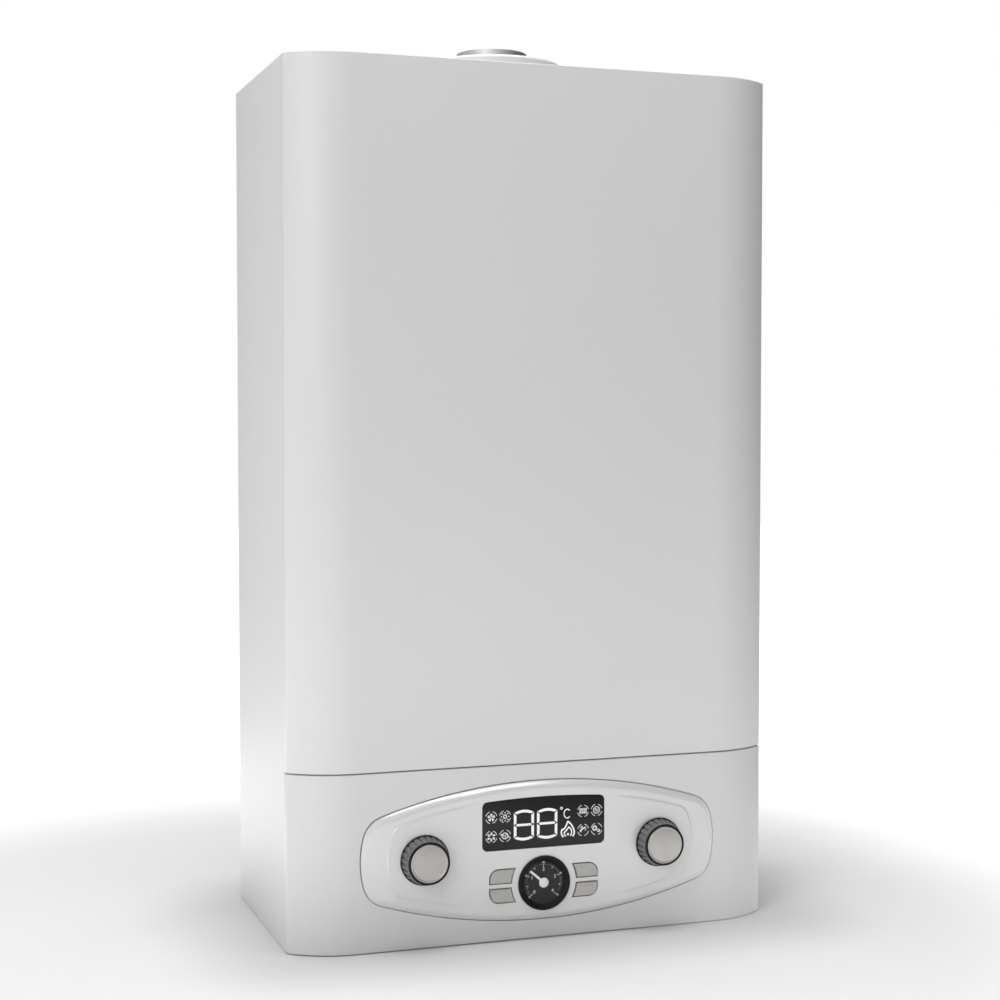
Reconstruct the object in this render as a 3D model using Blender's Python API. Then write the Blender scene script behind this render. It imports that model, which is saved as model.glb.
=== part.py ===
"""Wall hung gas boiler with a fanned flue, as separate solids in one frame.

Metres, +Z up, +Y towards the wall, origin under the middle of the whole
object. Run with: blender --background --python part.py
"""

import math

import bmesh
import bpy
from mathutils import Matrix, Vector

# Casing
CASE_WIDTH = 0.410
CASE_HEIGHT = 0.700
CASE_DEPTH = 0.208
SHEET = 0.0012
CLEARANCE = 0.0003
FLANGE_DEPTH = 0.015
CORNER_RADIUS = 0.076
CORNER_SWEEP = math.radians(41.08)
EDGE_RADIUS = 0.006
RETURN_STRAIGHT = 0.0038
SEAM_HEIGHT = 0.1424
SEAM_GAP = 0.001
TOE_GAP = 0.0015
FASCIA_WALL = 0.0025

# Back panel, a shallow tray that hangs on two wall hooks
BACK_SHEET = 0.0015
REAR_SPACE = 0.008
HOOK_SLOT_WIDTH = 0.030
HOOK_SLOT_HEIGHT = 0.014
HOOK_SLOT_SPACING = 0.280
HOOK_SLOT_BELOW_TOP = 0.045

# Bottom plate
BOTTOM_PLATE_HEIGHT = 0.030
BOTTOM_PLATE_SHEET = 0.0015
BOTTOM_PLATE_LIP = 0.010
HOLE_CLEARANCE = 0.0006

# Flue outlet
FLUE_FROM_WALL = 0.0815
FLUE_RADIUS = 0.030
FLUE_WALL = 0.001
FLUE_ABOVE_CASE = 0.030
COLLAR_RADIUS = 0.060
COLLAR_BORE = 0.050
COLLAR_HEIGHT = 0.020
COLLAR_EDGE = 0.002
GASKET_THICKNESS = 0.002

# Sealed chamber
CHAMBER_BOTTOM = 0.262
CHAMBER_SIDE_SPACE = 0.0165
CHAMBER_FROM_FRONT = 0.014
CHAMBER_LIP = 0.012
COVER_RIM = 0.018
COVER_PRESSING = 0.004
SIGHT_GLASS_RADIUS = 0.012
SIGHT_GLASS_RIM = 0.003

# Combustion chamber and burner
BURNER_BOTTOM = 0.285
BURNER_HEIGHT = 0.0447
BURNER_INSET = 0.006
BURNER_SIDE_SPACE = 0.0085
BLADE_COUNT = 11
BLADE_HEAD = 0.013
BLADE_NECK = 0.005
BLADE_FOOT = 0.009
BLADE_BODY_SHARE = 0.42
BLADE_NECK_SHARE = 0.60
BLADE_HEAD_SHARE = 0.80
BURNER_BAR = 0.008
FIREBOX_SIDE_SPACE = 0.0535
FIREBOX_FROM_COVER = 0.0185
FIREBOX_TO_VESSEL = 0.0022
FIREBOX_WALL = 0.012
SHELF_THICKNESS = 0.0015
SHELF_DEPTH = 0.042
SHELF_LIP = 0.014
SHELF_ABOVE_BURNER = 0.010

# Gas manifold and its nozzles
MANIFOLD_RADIUS = 0.008
MANIFOLD_FROM_COVER = 0.012
MANIFOLD_ABOVE_BURNER_FOOT = 0.017
NOZZLE_RADIUS = 0.003
NOZZLE_GAP = 0.0005
MANIFOLD_INLET_DROP = 0.012

# Electrodes
ELECTRODE_ABOVE_BURNER = 0.013
ELECTRODE_SPACING = 0.060
CERAMIC_RADIUS = 0.004
CERAMIC_LENGTH = 0.028
ROD_RADIUS = 0.0012
ROD_LENGTH = 0.020
COLLET_RADIUS = 0.0075
COLLET_LENGTH = 0.004

# Heat exchanger
EXCHANGER_HEIGHT = 0.060
EXCHANGER_PLATE = 0.0015
FIN_COUNT = 7
FIN_THICKNESS = 0.0014
FIN_HEIGHT = 0.046
TUBE_RADIUS = 0.009
TUBE_COUNT = 3
TUBE_PITCH = 0.028
TUBE_BEND = 0.013
TUBE_BEND_REACH = 0.006
EXCHANGER_STUB_SIDE_SPACE = 0.0285
EXCHANGER_STUB_DROP = 0.046

# Flue hood
HOOD_HEIGHT = 0.050
HOOD_SHEET = 0.0012
HOOD_TOP_WIDTH = 0.130
HOOD_TOP_DEPTH = 0.084

# Fan
FAN_X = -0.055
FAN_BEFORE_FLUE = 0.027
FAN_BELOW_TOP = 0.0626
FAN_HOUSING_HEIGHT = 0.055
FAN_SHEET = 0.0015
SCROLL_START_RADIUS = 0.056
SCROLL_END_RADIUS = 0.066
SCROLL_START_ANGLE = math.radians(-20)
SCROLL_SWEEP = math.radians(250)
OUTLET_SWEEP = math.radians(150)
FAN_INLET_RADIUS = 0.036
FAN_COLLAR_HEIGHT = 0.014
IMPELLER_RADIUS = 0.050
IMPELLER_INNER_RADIUS = 0.038
IMPELLER_HEIGHT = 0.040
IMPELLER_PLATE = 0.0015
IMPELLER_BLADES = 16
BLADE_THICKNESS = 0.0012
BLADE_LEAN = math.radians(24)
HUB_RADIUS = 0.009
SHAFT_RADIUS = 0.003
MOTOR_RADIUS = 0.028
MOTOR_HEIGHT = 0.042
MOTOR_FOOT_RADIUS = 0.0224
MOTOR_DOME_RADIUS = 0.0112
MOTOR_DOME_HEIGHT = 0.0112
MOTOR_DOME_SHOULDER = 0.0042
RUNNING_GAP = 0.004

# Expansion vessel
VESSEL_SIDE_SPACE = 0.0185
VESSEL_HEIGHT = 0.290
VESSEL_DEPTH = 0.052
VESSEL_ROUNDING = 0.018
VESSEL_WALL = 0.0015
VESSEL_PORT_RADIUS = 0.005
VESSEL_SEAM = 0.006
VESSEL_SEAM_THICKNESS = 0.003

# Air pressure switch
SWITCH_SIDE_SPACE = 0.0605
SWITCH_BELOW_TOP = 0.0585
SWITCH_RADIUS = 0.030
SWITCH_DEPTH = 0.040
SWITCH_NOSE_RADIUS = 0.0105
SWITCH_BODY_RADIUS = 0.0255
SWITCH_NOSE_LENGTH = 0.010
SWITCH_SHOULDER = 0.014
SWITCH_RIM_FRONT = 0.018
SWITCH_RIM_BACK = 0.026
SWITCH_BODY_FRONT = 0.028

# Pipe connections under the boiler
PIPE_FROM_WALL = 0.068
PIPE_SPACING = 0.065
PIPE_END_HEIGHT = 0.004
THREE_QUARTER_RADIUS = 0.0132
THREE_QUARTER_BORE = 0.0095
HALF_INCH_RADIUS = 0.0105
HALF_INCH_BORE = 0.0072
BORE_DEPTH = 0.018
NUT_HEIGHT = 0.008
NUT_EXTRA = 0.004
WIDE_PIPE_RADIUS = 0.009
NARROW_PIPE_RADIUS = 0.007
PIPE_BEND = 0.022

# Hydraulic blocks
BLOCK_BOTTOM = 0.060
BLOCK_HEIGHT = 0.090
BLOCK_WIDTH = 0.044
BLOCK_DEPTH = 0.041
BLOCK_ROUNDING = 0.006
PUMP_RADIUS = 0.036
PUMP_MOTOR_RADIUS = 0.040
PUMP_MOTOR_TO_LID = 0.0068
PUMP_MOTOR_FOOT = 0.0035
PUMP_MOTOR_EDGE = 0.004
PUMP_NECK = 0.022
PUMP_CENTRE_HEIGHT = 0.112
VENT_RADIUS = 0.010
VENT_HEIGHT = 0.034
VENT_BODY_HEIGHT = 0.0255
VENT_CAP_RADIUS = 0.005
VENT_CAP_START = 0.0272
PUMP_PORT_OFFSET = 0.012
DIVERTER_MOTOR_WIDTH = 0.038
DIVERTER_MOTOR_TO_LID = 0.0168
DIVERTER_MOTOR_HEIGHT = 0.045
SAFETY_RADIUS = 0.011
SAFETY_LENGTH = 0.030
SAFETY_BODY_LENGTH = 0.0165
SAFETY_KNOB_START = 0.018
SAFETY_KNOB_RADIUS = 0.014
SAFETY_HEIGHT = 0.082
SIDE_PORT_HEIGHT = 0.112
COLD_PORT_HEIGHT = 0.098

# Plate heat exchanger
PLATE_STACK_WIDTH = 0.262
PLATE_STACK_HEIGHT = 0.072
PLATE_STACK_BOTTOM = 0.072
PLATE_COUNT = 9
PLATE_PITCH = 0.0038
PLATE_THICKNESS = 0.0022

# Gas valve
VALVE_WIDTH = 0.076
VALVE_DEPTH = 0.052
VALVE_HEIGHT = 0.070
VALVE_BOTTOM = 0.075
VALVE_ROUNDING = 0.005
SOLENOID_RADIUS = 0.014
SOLENOID_LENGTH = 0.026
SOLENOID_SPACING = 0.036
VALVE_OUTLET_FORWARD = 0.016
GAS_PIPE_RUN_HEIGHT = 0.215

# Filling tap
TAP_X = 0.0975
TAP_BEFORE_PIPES = 0.0395
TAP_RADIUS = 0.009
TAP_HEIGHT = 0.036
TAP_FLANGE = 0.013
TAP_STEM_RADIUS = 0.004
TAP_STEM_DROP = 0.014
TAP_KNOB_RADIUS = 0.013
TAP_KNOB_BOTTOM = 0.006
TAP_KNOB_HEIGHT = 0.018
TAP_KNOB_LOBES = 8
TAP_KNOB_WAVE = 0.0008

# Cable gland
GLAND_X = -0.098
GLAND_BEFORE_PIPES = 0.0395
GLAND_RADIUS = 0.011
GLAND_BORE = 0.0045
GLAND_NECK_RADIUS = 0.0088
GLAND_EDGE = 0.0045
GLAND_FLANGE_RADIUS = 0.0143
GLAND_FLANGE_HEIGHT = 0.006
GLAND_LENGTH = 0.030

# Control bezel
BEZEL_HALF_LENGTH = 0.1515
BEZEL_HALF_HEIGHT = 0.056
BEZEL_LONG_RADIUS = 0.435
BEZEL_END_RADIUS = 0.078
BEZEL_CORNER = 0.022
BEZEL_CENTRE_HEIGHT = 0.0724
BEZEL_RISE = 0.005
BEZEL_WALL = 0.0022
BEZEL_RIM = 0.008
BEZEL_EDGE = 0.0032
BEZEL_STEP = 0.0008
PLATEAU_HALF_LENGTH = 0.1305
PLATEAU_HALF_HEIGHT = 0.045
PLATEAU_LONG_RADIUS = 0.424
PLATEAU_END_RADIUS = 0.060
PLATEAU_CORNER = 0.014
PLATEAU_SLOPE = 0.0016
FADE_START = 0.055
FADE_END = 0.100

# Display window
WINDOW_WIDTH = 0.104
WINDOW_BOTTOM = 0.0752
WINDOW_SIDE_TOP = 0.1143
WINDOW_ARCH = 0.0018
WINDOW_CORNER = 0.004
WINDOW_THICKNESS = 0.0015
WINDOW_LEDGE = 0.0015

# Pressure gauge
GAUGE_HEIGHT = 0.0463
GAUGE_RADIUS = 0.0221
GAUGE_PROUD = 0.0018
GAUGE_BODY_RADIUS = 0.0195
GAUGE_BODY_WALL = 0.0012
GAUGE_BODY_LENGTH = 0.024
GAUGE_LENS_THICKNESS = 0.001
GAUGE_LENS_INSET = 0.0006
DIAL_DEPTH = 0.0036
DIAL_THICKNESS = 0.0006
NEEDLE_LENGTH = 0.0157
NEEDLE_WIDTH = 0.002
NEEDLE_TIP_WIDTH = 0.0014
NEEDLE_THICKNESS = 0.0006
NEEDLE_HUB_RADIUS = 0.004
NEEDLE_HUB_THICKNESS = 0.0012
NEEDLE_PIN_RADIUS = 0.0009
NEEDLE_ANGLE = math.radians(49)

# Push buttons
BUTTON_OUTER_X = 0.046
BUTTON_GAUGE_RADIUS = 0.028
BUTTON_NEAR = 0.0021
BUTTON_FAR = 0.0134
BUTTON_BIG_CORNER = 0.0075
BUTTON_PROUD = 0.0012
BUTTON_GAP = 0.0004
BUTTON_FLANGE = 0.0010
BUTTON_EDGE = 0.0005
BUTTON_STEM_RADIUS = 0.0018
BUTTON_STEM_END = 0.006
BUTTON_TRAVEL = 0.001

# Rotary knobs
KNOB_X = 0.100
KNOB_HEIGHT = 0.0722
KNOB_REACH = 0.019
KNOB_BASE_RADIUS = 0.020
KNOB_FRONT_RADIUS = 0.0168
KNOB_BASE_RING = 0.0016
KNOB_RIBS = 24
KNOB_RIB_DEPTH = 0.0008
KNOB_CAP_RADIUS = 0.0152
KNOB_CAP_THICKNESS = 0.0014
KNOB_CAP_CROWN = 0.0003
KNOB_CAP_FLAT = 0.009
KNOB_WALL = 0.0022
KNOB_STEM_RADIUS = 0.003
KNOB_FACE_GAP = 0.0004

# Control box and circuit board
BOX_WIDTH = 0.302
BOX_BOTTOM = 0.012
BOX_HEIGHT = 0.119
BOX_DEPTH = 0.041
BOX_WALL = 0.002
LID_THICKNESS = 0.0023
BOARD_BEHIND_FRONT = 0.0165
BOARD_THICKNESS = 0.0016
BOARD_LEDGE = 0.003
POT_RADIUS = 0.0085
POT_HEIGHT = 0.010
POT_FLOOR = 0.002
SWITCH_SIZE = 0.006
DISPLAY_MARGIN = 0.003
TRANSFORMER_SIZE = 0.026
TRANSFORMER_DEPTH = 0.0208

# Smoothness of round pieces
CORNER_STEPS = 9
FILLET_STEPS = 3
BEND_STEPS = 4
LONG_STEPS = 6
END_STEPS = 2
WINDOW_CORNER_STEPS = 3
WINDOW_ARCH_STEPS = 4
BUTTON_CORNER_STEPS = 4
BUTTON_HOLLOW_STEPS = 3
SCROLL_STEPS = 14
OUTLET_STEPS = 8
FAN_BLADE_STEPS = 2
FINE_ROUND_STEPS = 28
ROUND_STEPS = 20
MEDIUM_ROUND_STEPS = 16
SMALL_ROUND_STEPS = 12
ROD_STEPS = 8
NOZZLE_STEPS = 6
SMOOTH_ANGLE = 35
FINE_SMOOTH_ANGLE = 25
MERGE_DISTANCE = 1e-6
FLAT_AREA = 1e-12

# Places worked out from the sizes
HALF_WIDTH = CASE_WIDTH / 2
FRONT = -(CASE_DEPTH + KNOB_REACH) / 2 + KNOB_REACH
BACK = FRONT + CASE_DEPTH
CORNER_CENTRE_X = HALF_WIDTH - EDGE_RADIUS - (CORNER_RADIUS - EDGE_RADIUS) * math.sin(CORNER_SWEEP)
CORNER_END_Y = FRONT + CORNER_RADIUS - (CORNER_RADIUS - EDGE_RADIUS) * math.cos(CORNER_SWEEP)
RETURN_Y = CORNER_END_Y + RETURN_STRAIGHT
PANEL_FRONT = RETURN_Y + CLEARANCE
TRAY_FRONT = BACK - BACK_SHEET - REAR_SPACE
FLANGE_X = HALF_WIDTH - FLANGE_DEPTH
FLUE_Y = BACK - FLUE_FROM_WALL
FLUE_TOP = CASE_HEIGHT + FLUE_ABOVE_CASE

CHAMBER_HALF_WIDTH = HALF_WIDTH - CHAMBER_SIDE_SPACE
CHAMBER_TOP = CASE_HEIGHT - SHEET - CLEARANCE
COVER_FRONT = FRONT + CHAMBER_FROM_FRONT
CHAMBER_FRONT = COVER_FRONT + SHEET + CLEARANCE
CHAMBER_BACK = TRAY_FRONT - CLEARANCE
CHAMBER_INNER_BACK = CHAMBER_BACK - SHEET
VESSEL_BACK = CHAMBER_INNER_BACK - CLEARANCE
VESSEL_FRONT = VESSEL_BACK - VESSEL_DEPTH
VESSEL_WIDTH = 2 * (CHAMBER_HALF_WIDTH - VESSEL_SIDE_SPACE)
SWITCH_X = CHAMBER_HALF_WIDTH - SWITCH_SIDE_SPACE
SWITCH_HEIGHT = CHAMBER_TOP - SWITCH_BELOW_TOP

FAN_Y = FLUE_Y - FAN_BEFORE_FLUE
HOUSING_TOP = CHAMBER_TOP - FAN_BELOW_TOP
HOUSING_BOTTOM = HOUSING_TOP - FAN_HOUSING_HEIGHT
HOOD_TOP = HOUSING_BOTTOM - CLEARANCE
HOOD_BOTTOM = HOOD_TOP - HOOD_HEIGHT
EXCHANGER_TOP = HOOD_BOTTOM - CLEARANCE
EXCHANGER_BOTTOM = EXCHANGER_TOP - EXCHANGER_HEIGHT
BURNER_TOP = BURNER_BOTTOM + BURNER_HEIGHT
FIREBOX_WIDTH = 2 * (CHAMBER_HALF_WIDTH - FIREBOX_SIDE_SPACE)
FIREBOX_FRONT = COVER_FRONT + FIREBOX_FROM_COVER
FIREBOX_BACK = VESSEL_FRONT - FIREBOX_TO_VESSEL
FIREBOX_DEPTH = FIREBOX_BACK - FIREBOX_FRONT
FIREBOX_MIDDLE = (FIREBOX_FRONT + FIREBOX_BACK) / 2
FIREBOX_BOTTOM = BURNER_TOP + CLEARANCE
FIREBOX_TOP = EXCHANGER_BOTTOM - CLEARANCE
SIGHT_GLASS_HEIGHT = (FIREBOX_BOTTOM + FIREBOX_TOP) / 2
BURNER_FRONT = FIREBOX_FRONT + BURNER_INSET
BURNER_BACK = FIREBOX_BACK - BURNER_INSET
BLADE_PITCH = (FIREBOX_WIDTH - 2 * BURNER_SIDE_SPACE) / BLADE_COUNT
FIN_PITCH = FIREBOX_WIDTH / FIN_COUNT
TUBE_HEIGHT = (EXCHANGER_BOTTOM + EXCHANGER_TOP) / 2
FLOW_TUBE_Y = FIREBOX_MIDDLE + TUBE_PITCH
RETURN_TUBE_Y = FIREBOX_MIDDLE - TUBE_PITCH
EXCHANGER_STUB_X = CHAMBER_HALF_WIDTH - EXCHANGER_STUB_SIDE_SPACE
STUB_END = TUBE_HEIGHT - EXCHANGER_STUB_DROP
OUTLET_RADIUS = FLUE_RADIUS - FLUE_WALL - CLEARANCE
MANIFOLD_Y = COVER_FRONT + MANIFOLD_FROM_COVER
MANIFOLD_HEIGHT = BURNER_BOTTOM + MANIFOLD_ABOVE_BURNER_FOOT
MANIFOLD_INLET = MANIFOLD_HEIGHT - MANIFOLD_RADIUS - MANIFOLD_INLET_DROP

PIPE_Y = BACK - PIPE_FROM_WALL
FLOW_X = -2 * PIPE_SPACING
HOT_X = -PIPE_SPACING
GAS_X = 0.0
COLD_X = PIPE_SPACING
HEATING_RETURN_X = 2 * PIPE_SPACING
BLOCK_TOP = BLOCK_BOTTOM + BLOCK_HEIGHT
BLOCK_FRONT = PIPE_Y - BLOCK_DEPTH / 2
BLOCK_BACK = PIPE_Y + BLOCK_DEPTH / 2
TAP_Y = PIPE_Y - TAP_BEFORE_PIPES
GLAND_Y = PIPE_Y - GLAND_BEFORE_PIPES
PLATE_TOP = BOTTOM_PLATE_HEIGHT + BOTTOM_PLATE_SHEET
VALVE_TOP = VALVE_BOTTOM + VALVE_HEIGHT

BEZEL_BACK = FRONT - CLEARANCE
BEZEL_FACE = FRONT - BEZEL_RISE
BEZEL_INSIDE = BEZEL_FACE + BEZEL_WALL
GAUGE_FRONT = BEZEL_FACE - GAUGE_PROUD
FASCIA_INSIDE = FRONT + FASCIA_WALL
BOX_FRONT = FASCIA_INSIDE + CLEARANCE
BOX_BACK = BOX_FRONT + BOX_DEPTH
BOX_TOP = BOX_BOTTOM + BOX_HEIGHT
LID_BACK = BOX_BACK + CLEARANCE + LID_THICKNESS
BOARD_FRONT = FRONT + BOARD_BEHIND_FRONT
KNOB_FACE = FRONT - KNOB_REACH
LENS_BACK = GAUGE_FRONT + GAUGE_LENS_INSET + GAUGE_LENS_THICKNESS
DIAL_FACE = LENS_BACK + DIAL_DEPTH


# Start from an empty scene
for leftover in list(bpy.data.objects):
    bpy.data.objects.remove(leftover, do_unlink=True)


def finish(name, colour, roughness, metallic=0.0, transmission=0.0):
    """A plain finish: colour, roughness and whether it is metal."""
    material = bpy.data.materials.new(name)
    material.use_nodes = True
    shader = material.node_tree.nodes["Principled BSDF"]
    shader.inputs["Base Color"].default_value = (*colour, 1.0)
    shader.inputs["Roughness"].default_value = roughness
    shader.inputs["Metallic"].default_value = metallic
    shader.inputs["Transmission Weight"].default_value = transmission
    material.diffuse_color = (*colour, 1.0)
    return material


WHITE_PAINT = ((0.62, 0.62, 0.61), 0.42)
WHITE_PLASTIC = ((0.66, 0.66, 0.65), 0.35)
SATIN_SILVER = ((0.55, 0.54, 0.51), 0.35, 0.6)
BLACK_PLASTIC = ((0.03, 0.03, 0.03), 0.40)
GREY_PLASTIC = ((0.20, 0.20, 0.20), 0.45)
ZINC_STEEL = ((0.60, 0.61, 0.62), 0.38, 1.0)
ALUMINIUM = ((0.62, 0.63, 0.64), 0.40, 1.0)
BRASS = ((0.72, 0.55, 0.28), 0.35, 1.0)
COPPER = ((0.78, 0.42, 0.28), 0.32, 1.0)
STAINLESS = ((0.66, 0.66, 0.66), 0.28, 1.0)
RED_PAINT = ((0.45, 0.04, 0.03), 0.45)
CERAMIC_WHITE = ((0.78, 0.77, 0.73), 0.50)
RUBBER_BLACK = ((0.04, 0.04, 0.04), 0.80)
GLASS_CLEAR = ((0.90, 0.92, 0.92), 0.05, 0.0, 1.0)
BOARD_GREEN = ((0.03, 0.18, 0.07), 0.50)
SMOKED_PLASTIC = ((0.03, 0.03, 0.03), 0.15)
DIAL_BLACK = ((0.05, 0.05, 0.05), 0.50)
NEEDLE_WHITE = ((0.80, 0.80, 0.78), 0.40)
BUTTON_GREY = ((0.45, 0.44, 0.42), 0.35)


def object_from(name, mesh_builder):
    """Makes an object from a bmesh, with its faces pointing out."""
    bmesh.ops.recalc_face_normals(mesh_builder, faces=mesh_builder.faces)
    mesh = bpy.data.meshes.new(name)
    mesh_builder.to_mesh(mesh)
    mesh_builder.free()
    made = bpy.data.objects.new(name, mesh)
    bpy.context.scene.collection.objects.link(made)
    return made


AXES = {
    "X": (lambda u, v, w: (w, u, v)),
    "Y": (lambda u, v, w: (u, w, v)),
    "Z": (lambda u, v, w: (u, v, w)),
}


def prism(name, outline, axis, start, stop):
    """A closed outline pushed along an axis, from start to stop."""
    place = AXES[axis]
    builder = bmesh.new()
    corners = [builder.verts.new(place(u, v, start)) for u, v in outline]
    face = builder.faces.new(corners)
    grown = bmesh.ops.extrude_face_region(builder, geom=[face])
    moved = [item for item in grown["geom"] if isinstance(item, bmesh.types.BMVert)]
    bmesh.ops.translate(builder, verts=moved, vec=Vector(place(0, 0, stop - start)))
    return object_from(name, builder)


def box(name, low, high):
    """A block between two corners."""
    outline = [(low[0], low[1]), (high[0], low[1]), (high[0], high[1]), (low[0], high[1])]
    return prism(name, outline, "Z", low[2], high[2])


def turned(name, profile, axis, centre, steps=ROUND_STEPS):
    """A profile of (radius, height) points spun round an axis through centre."""
    place = AXES[axis]
    builder = bmesh.new()
    points = [builder.verts.new(place(radius, 0, height)) for radius, height in profile]
    pairs = list(zip(points, points[1:]))
    if profile[0][0] > 0 or profile[-1][0] > 0:
        pairs.append((points[-1], points[0]))
    edges = [builder.edges.new(pair) for pair in pairs]
    bmesh.ops.spin(
        builder,
        geom=points + edges,
        cent=(0, 0, 0),
        axis=place(0, 0, 1),
        angle=2 * math.pi,
        steps=steps,
        use_merge=True,
    )
    bmesh.ops.remove_doubles(builder, verts=builder.verts, dist=MERGE_DISTANCE)
    flat = [face for face in builder.faces if face.calc_area() < FLAT_AREA]
    bmesh.ops.delete(builder, geom=flat, context="FACES")
    bmesh.ops.translate(builder, verts=builder.verts, vec=Vector(place(*centre)))
    return object_from(name, builder)


def rod(name, radius, axis, centre, start, stop, steps=ROUND_STEPS):
    """A plain cylinder from start to stop along an axis."""
    profile = [(0, start), (radius, start), (radius, stop), (0, stop)]
    return turned(name, profile, axis, (*centre, 0), steps)


def ring(name, radius, bore, axis, centre, start, stop, steps=ROUND_STEPS):
    """A plain tube from start to stop along an axis."""
    profile = [(bore, start), (radius, start), (radius, stop), (bore, stop)]
    return turned(name, profile, axis, (*centre, 0), steps)


def loft(name, loops):
    """A skin over loops that have the same number of points, closed at both ends."""
    builder = bmesh.new()
    rows = [[builder.verts.new(point) for point in loop] for loop in loops]
    for lower, upper in zip(rows, rows[1:]):
        for index in range(len(lower)):
            after = (index + 1) % len(lower)
            builder.faces.new((lower[index], lower[after], upper[after], upper[index]))
    builder.faces.new(rows[0])
    builder.faces.new(rows[-1])
    return object_from(name, builder)


def route(points, bend):
    """A path through the points, with each corner rounded to the bend radius."""
    corners = [Vector(point) for point in points]
    path = [corners[0]]
    for before, corner, after in zip(corners, corners[1:], corners[2:]):
        arriving = (corner - before).normalized()
        leaving = (after - corner).normalized()
        turn = arriving.angle(leaving)
        cut = bend * math.tan(turn / 2)
        inward = (leaving - arriving).normalized()
        centre = corner + inward * (bend / math.cos(turn / 2))
        first = corner - arriving * cut - centre
        normal = arriving.cross(leaving).normalized()
        for step in range(BEND_STEPS + 1):
            angle = turn * step / BEND_STEPS
            spun = first * math.cos(angle) + normal.cross(first) * math.sin(angle)
            path.append(centre + spun)
    path.append(corners[-1])
    return path


def tube(name, path, radius):
    """A round bar swept along a path, with closed ends."""
    curve = bpy.data.curves.new(name, "CURVE")
    curve.dimensions = "3D"
    curve.bevel_depth = radius
    curve.bevel_resolution = ROD_STEPS // 2 - 2
    curve.use_fill_caps = True
    spline = curve.splines.new("POLY")
    spline.points.add(len(path) - 1)
    for point, place in zip(spline.points, path):
        point.co = (*place, 1.0)
    holder = bpy.data.objects.new(name + "_path", curve)
    bpy.context.scene.collection.objects.link(holder)
    bpy.context.view_layer.update()
    evaluated = holder.evaluated_get(bpy.context.evaluated_depsgraph_get())
    builder = bmesh.new()
    swept = evaluated.to_mesh()
    builder.from_mesh(swept)
    evaluated.to_mesh_clear()
    bpy.data.objects.remove(holder, do_unlink=True)
    bmesh.ops.remove_doubles(builder, verts=builder.verts, dist=MERGE_DISTANCE)
    return object_from(name, builder)


def combine(target, tools, operation):
    """Adds or cuts helper shapes, which are left out of the finished model."""
    for tool in tools:
        modifier = target.modifiers.new(operation.title(), "BOOLEAN")
        modifier.operation = operation
        modifier.solver = "EXACT"
        modifier.object = tool
        tool.hide_render = True
        tool.display_type = "WIRE"
    return target


def join(target, *tools):
    """Fuses helper shapes with a piece."""
    return combine(target, tools, "UNION")


def cut(target, *tools):
    """Takes helper shapes away from a piece."""
    return combine(target, tools, "DIFFERENCE")


def dress(target, look, smooth_angle=SMOOTH_ANGLE):
    """Gives a piece its finish, and shades its round faces smooth."""
    target.data.materials.append(finish(target.name, *look))
    target.data.shade_smooth()
    target.data.set_sharp_from_angle(angle=math.radians(smooth_angle))
    return target


def set_axis(target, point):
    """Moves the origin of a piece onto its joint, leaving the piece in place."""
    target.data.transform(Matrix.Translation(-Vector(point)))
    target.location = point
    return target


def bundle(name, pieces):
    """Several closed shapes in one mesh, to add or to cut together."""
    builder = bmesh.new()
    for piece in pieces:
        builder.from_mesh(piece.data)
        bpy.data.objects.remove(piece, do_unlink=True)
    return object_from(name, builder)


def rounded_box(name, low, high, radius):
    """A block with all its edges rounded."""
    block = box(name, low, high)
    builder = bmesh.new()
    builder.from_mesh(block.data)
    bmesh.ops.bevel(
        builder,
        geom=builder.edges[:],
        offset=radius,
        segments=2,
        profile=0.5,
        affect="EDGES",
    )
    builder.to_mesh(block.data)
    builder.free()
    return block


def sides(inner, outer, side):
    """The lower and the higher x of a stretch that is mirrored to one side."""
    return sorted((side * inner, side * outer))


# Casing


def casing_outline(inset=0.0, back=RETURN_Y):
    """Plan of the wrapped front: flat front, wide corner arcs, tight edge arcs."""
    tight = EDGE_RADIUS - inset
    wide = CORNER_RADIUS - inset
    right = [(HALF_WIDTH - inset, back)]
    for step in range(FILLET_STEPS + 1):
        angle = (math.pi / 2 - CORNER_SWEEP) * step / FILLET_STEPS
        x = HALF_WIDTH - EDGE_RADIUS + tight * math.cos(angle)
        right.append((x, CORNER_END_Y - tight * math.sin(angle)))
    for step in range(1, CORNER_STEPS + 1):
        angle = CORNER_SWEEP * (1 - step / CORNER_STEPS)
        x = CORNER_CENTRE_X + wide * math.sin(angle)
        right.append((x, FRONT + CORNER_RADIUS - wide * math.cos(angle)))
    return right + [(-x, y) for x, y in reversed(right)]


def wrapped_shell(name, bottom, top, wall):
    """A front piece folded round the corners, open towards the wall."""
    shell = prism(name, casing_outline(), "Z", bottom, top)
    inside = casing_outline(wall, RETURN_Y + wall)
    return cut(shell, prism(name + "_inside", inside, "Z", bottom + wall, top - wall))


def make_front_cover():
    """Painted steel cover over the whole height above the fascia."""
    cover = wrapped_shell("front_cover", SEAM_HEIGHT + SEAM_GAP / 2, CASE_HEIGHT, SHEET)
    dress(cover, WHITE_PAINT)


def make_side_panel(name, side):
    """Painted sheet with its front, top and bottom edges turned in."""
    low_x, high_x = sides(FLANGE_X, HALF_WIDTH, side)
    panel = box(name, (low_x, PANEL_FRONT, 0), (high_x, BACK, CASE_HEIGHT))
    low_x, high_x = sides(FLANGE_X - SHEET, HALF_WIDTH - SHEET, side)
    inside = box(
        name + "_inside",
        (low_x, PANEL_FRONT + SHEET, SHEET),
        (high_x, BACK + SHEET, CASE_HEIGHT - SHEET),
    )
    notch = box(
        name + "_notch",
        (low_x, TRAY_FRONT - CLEARANCE, -SHEET),
        (high_x, BACK + SHEET, 2 * SHEET),
    )
    dress(cut(panel, inside, notch), WHITE_PAINT)


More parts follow.
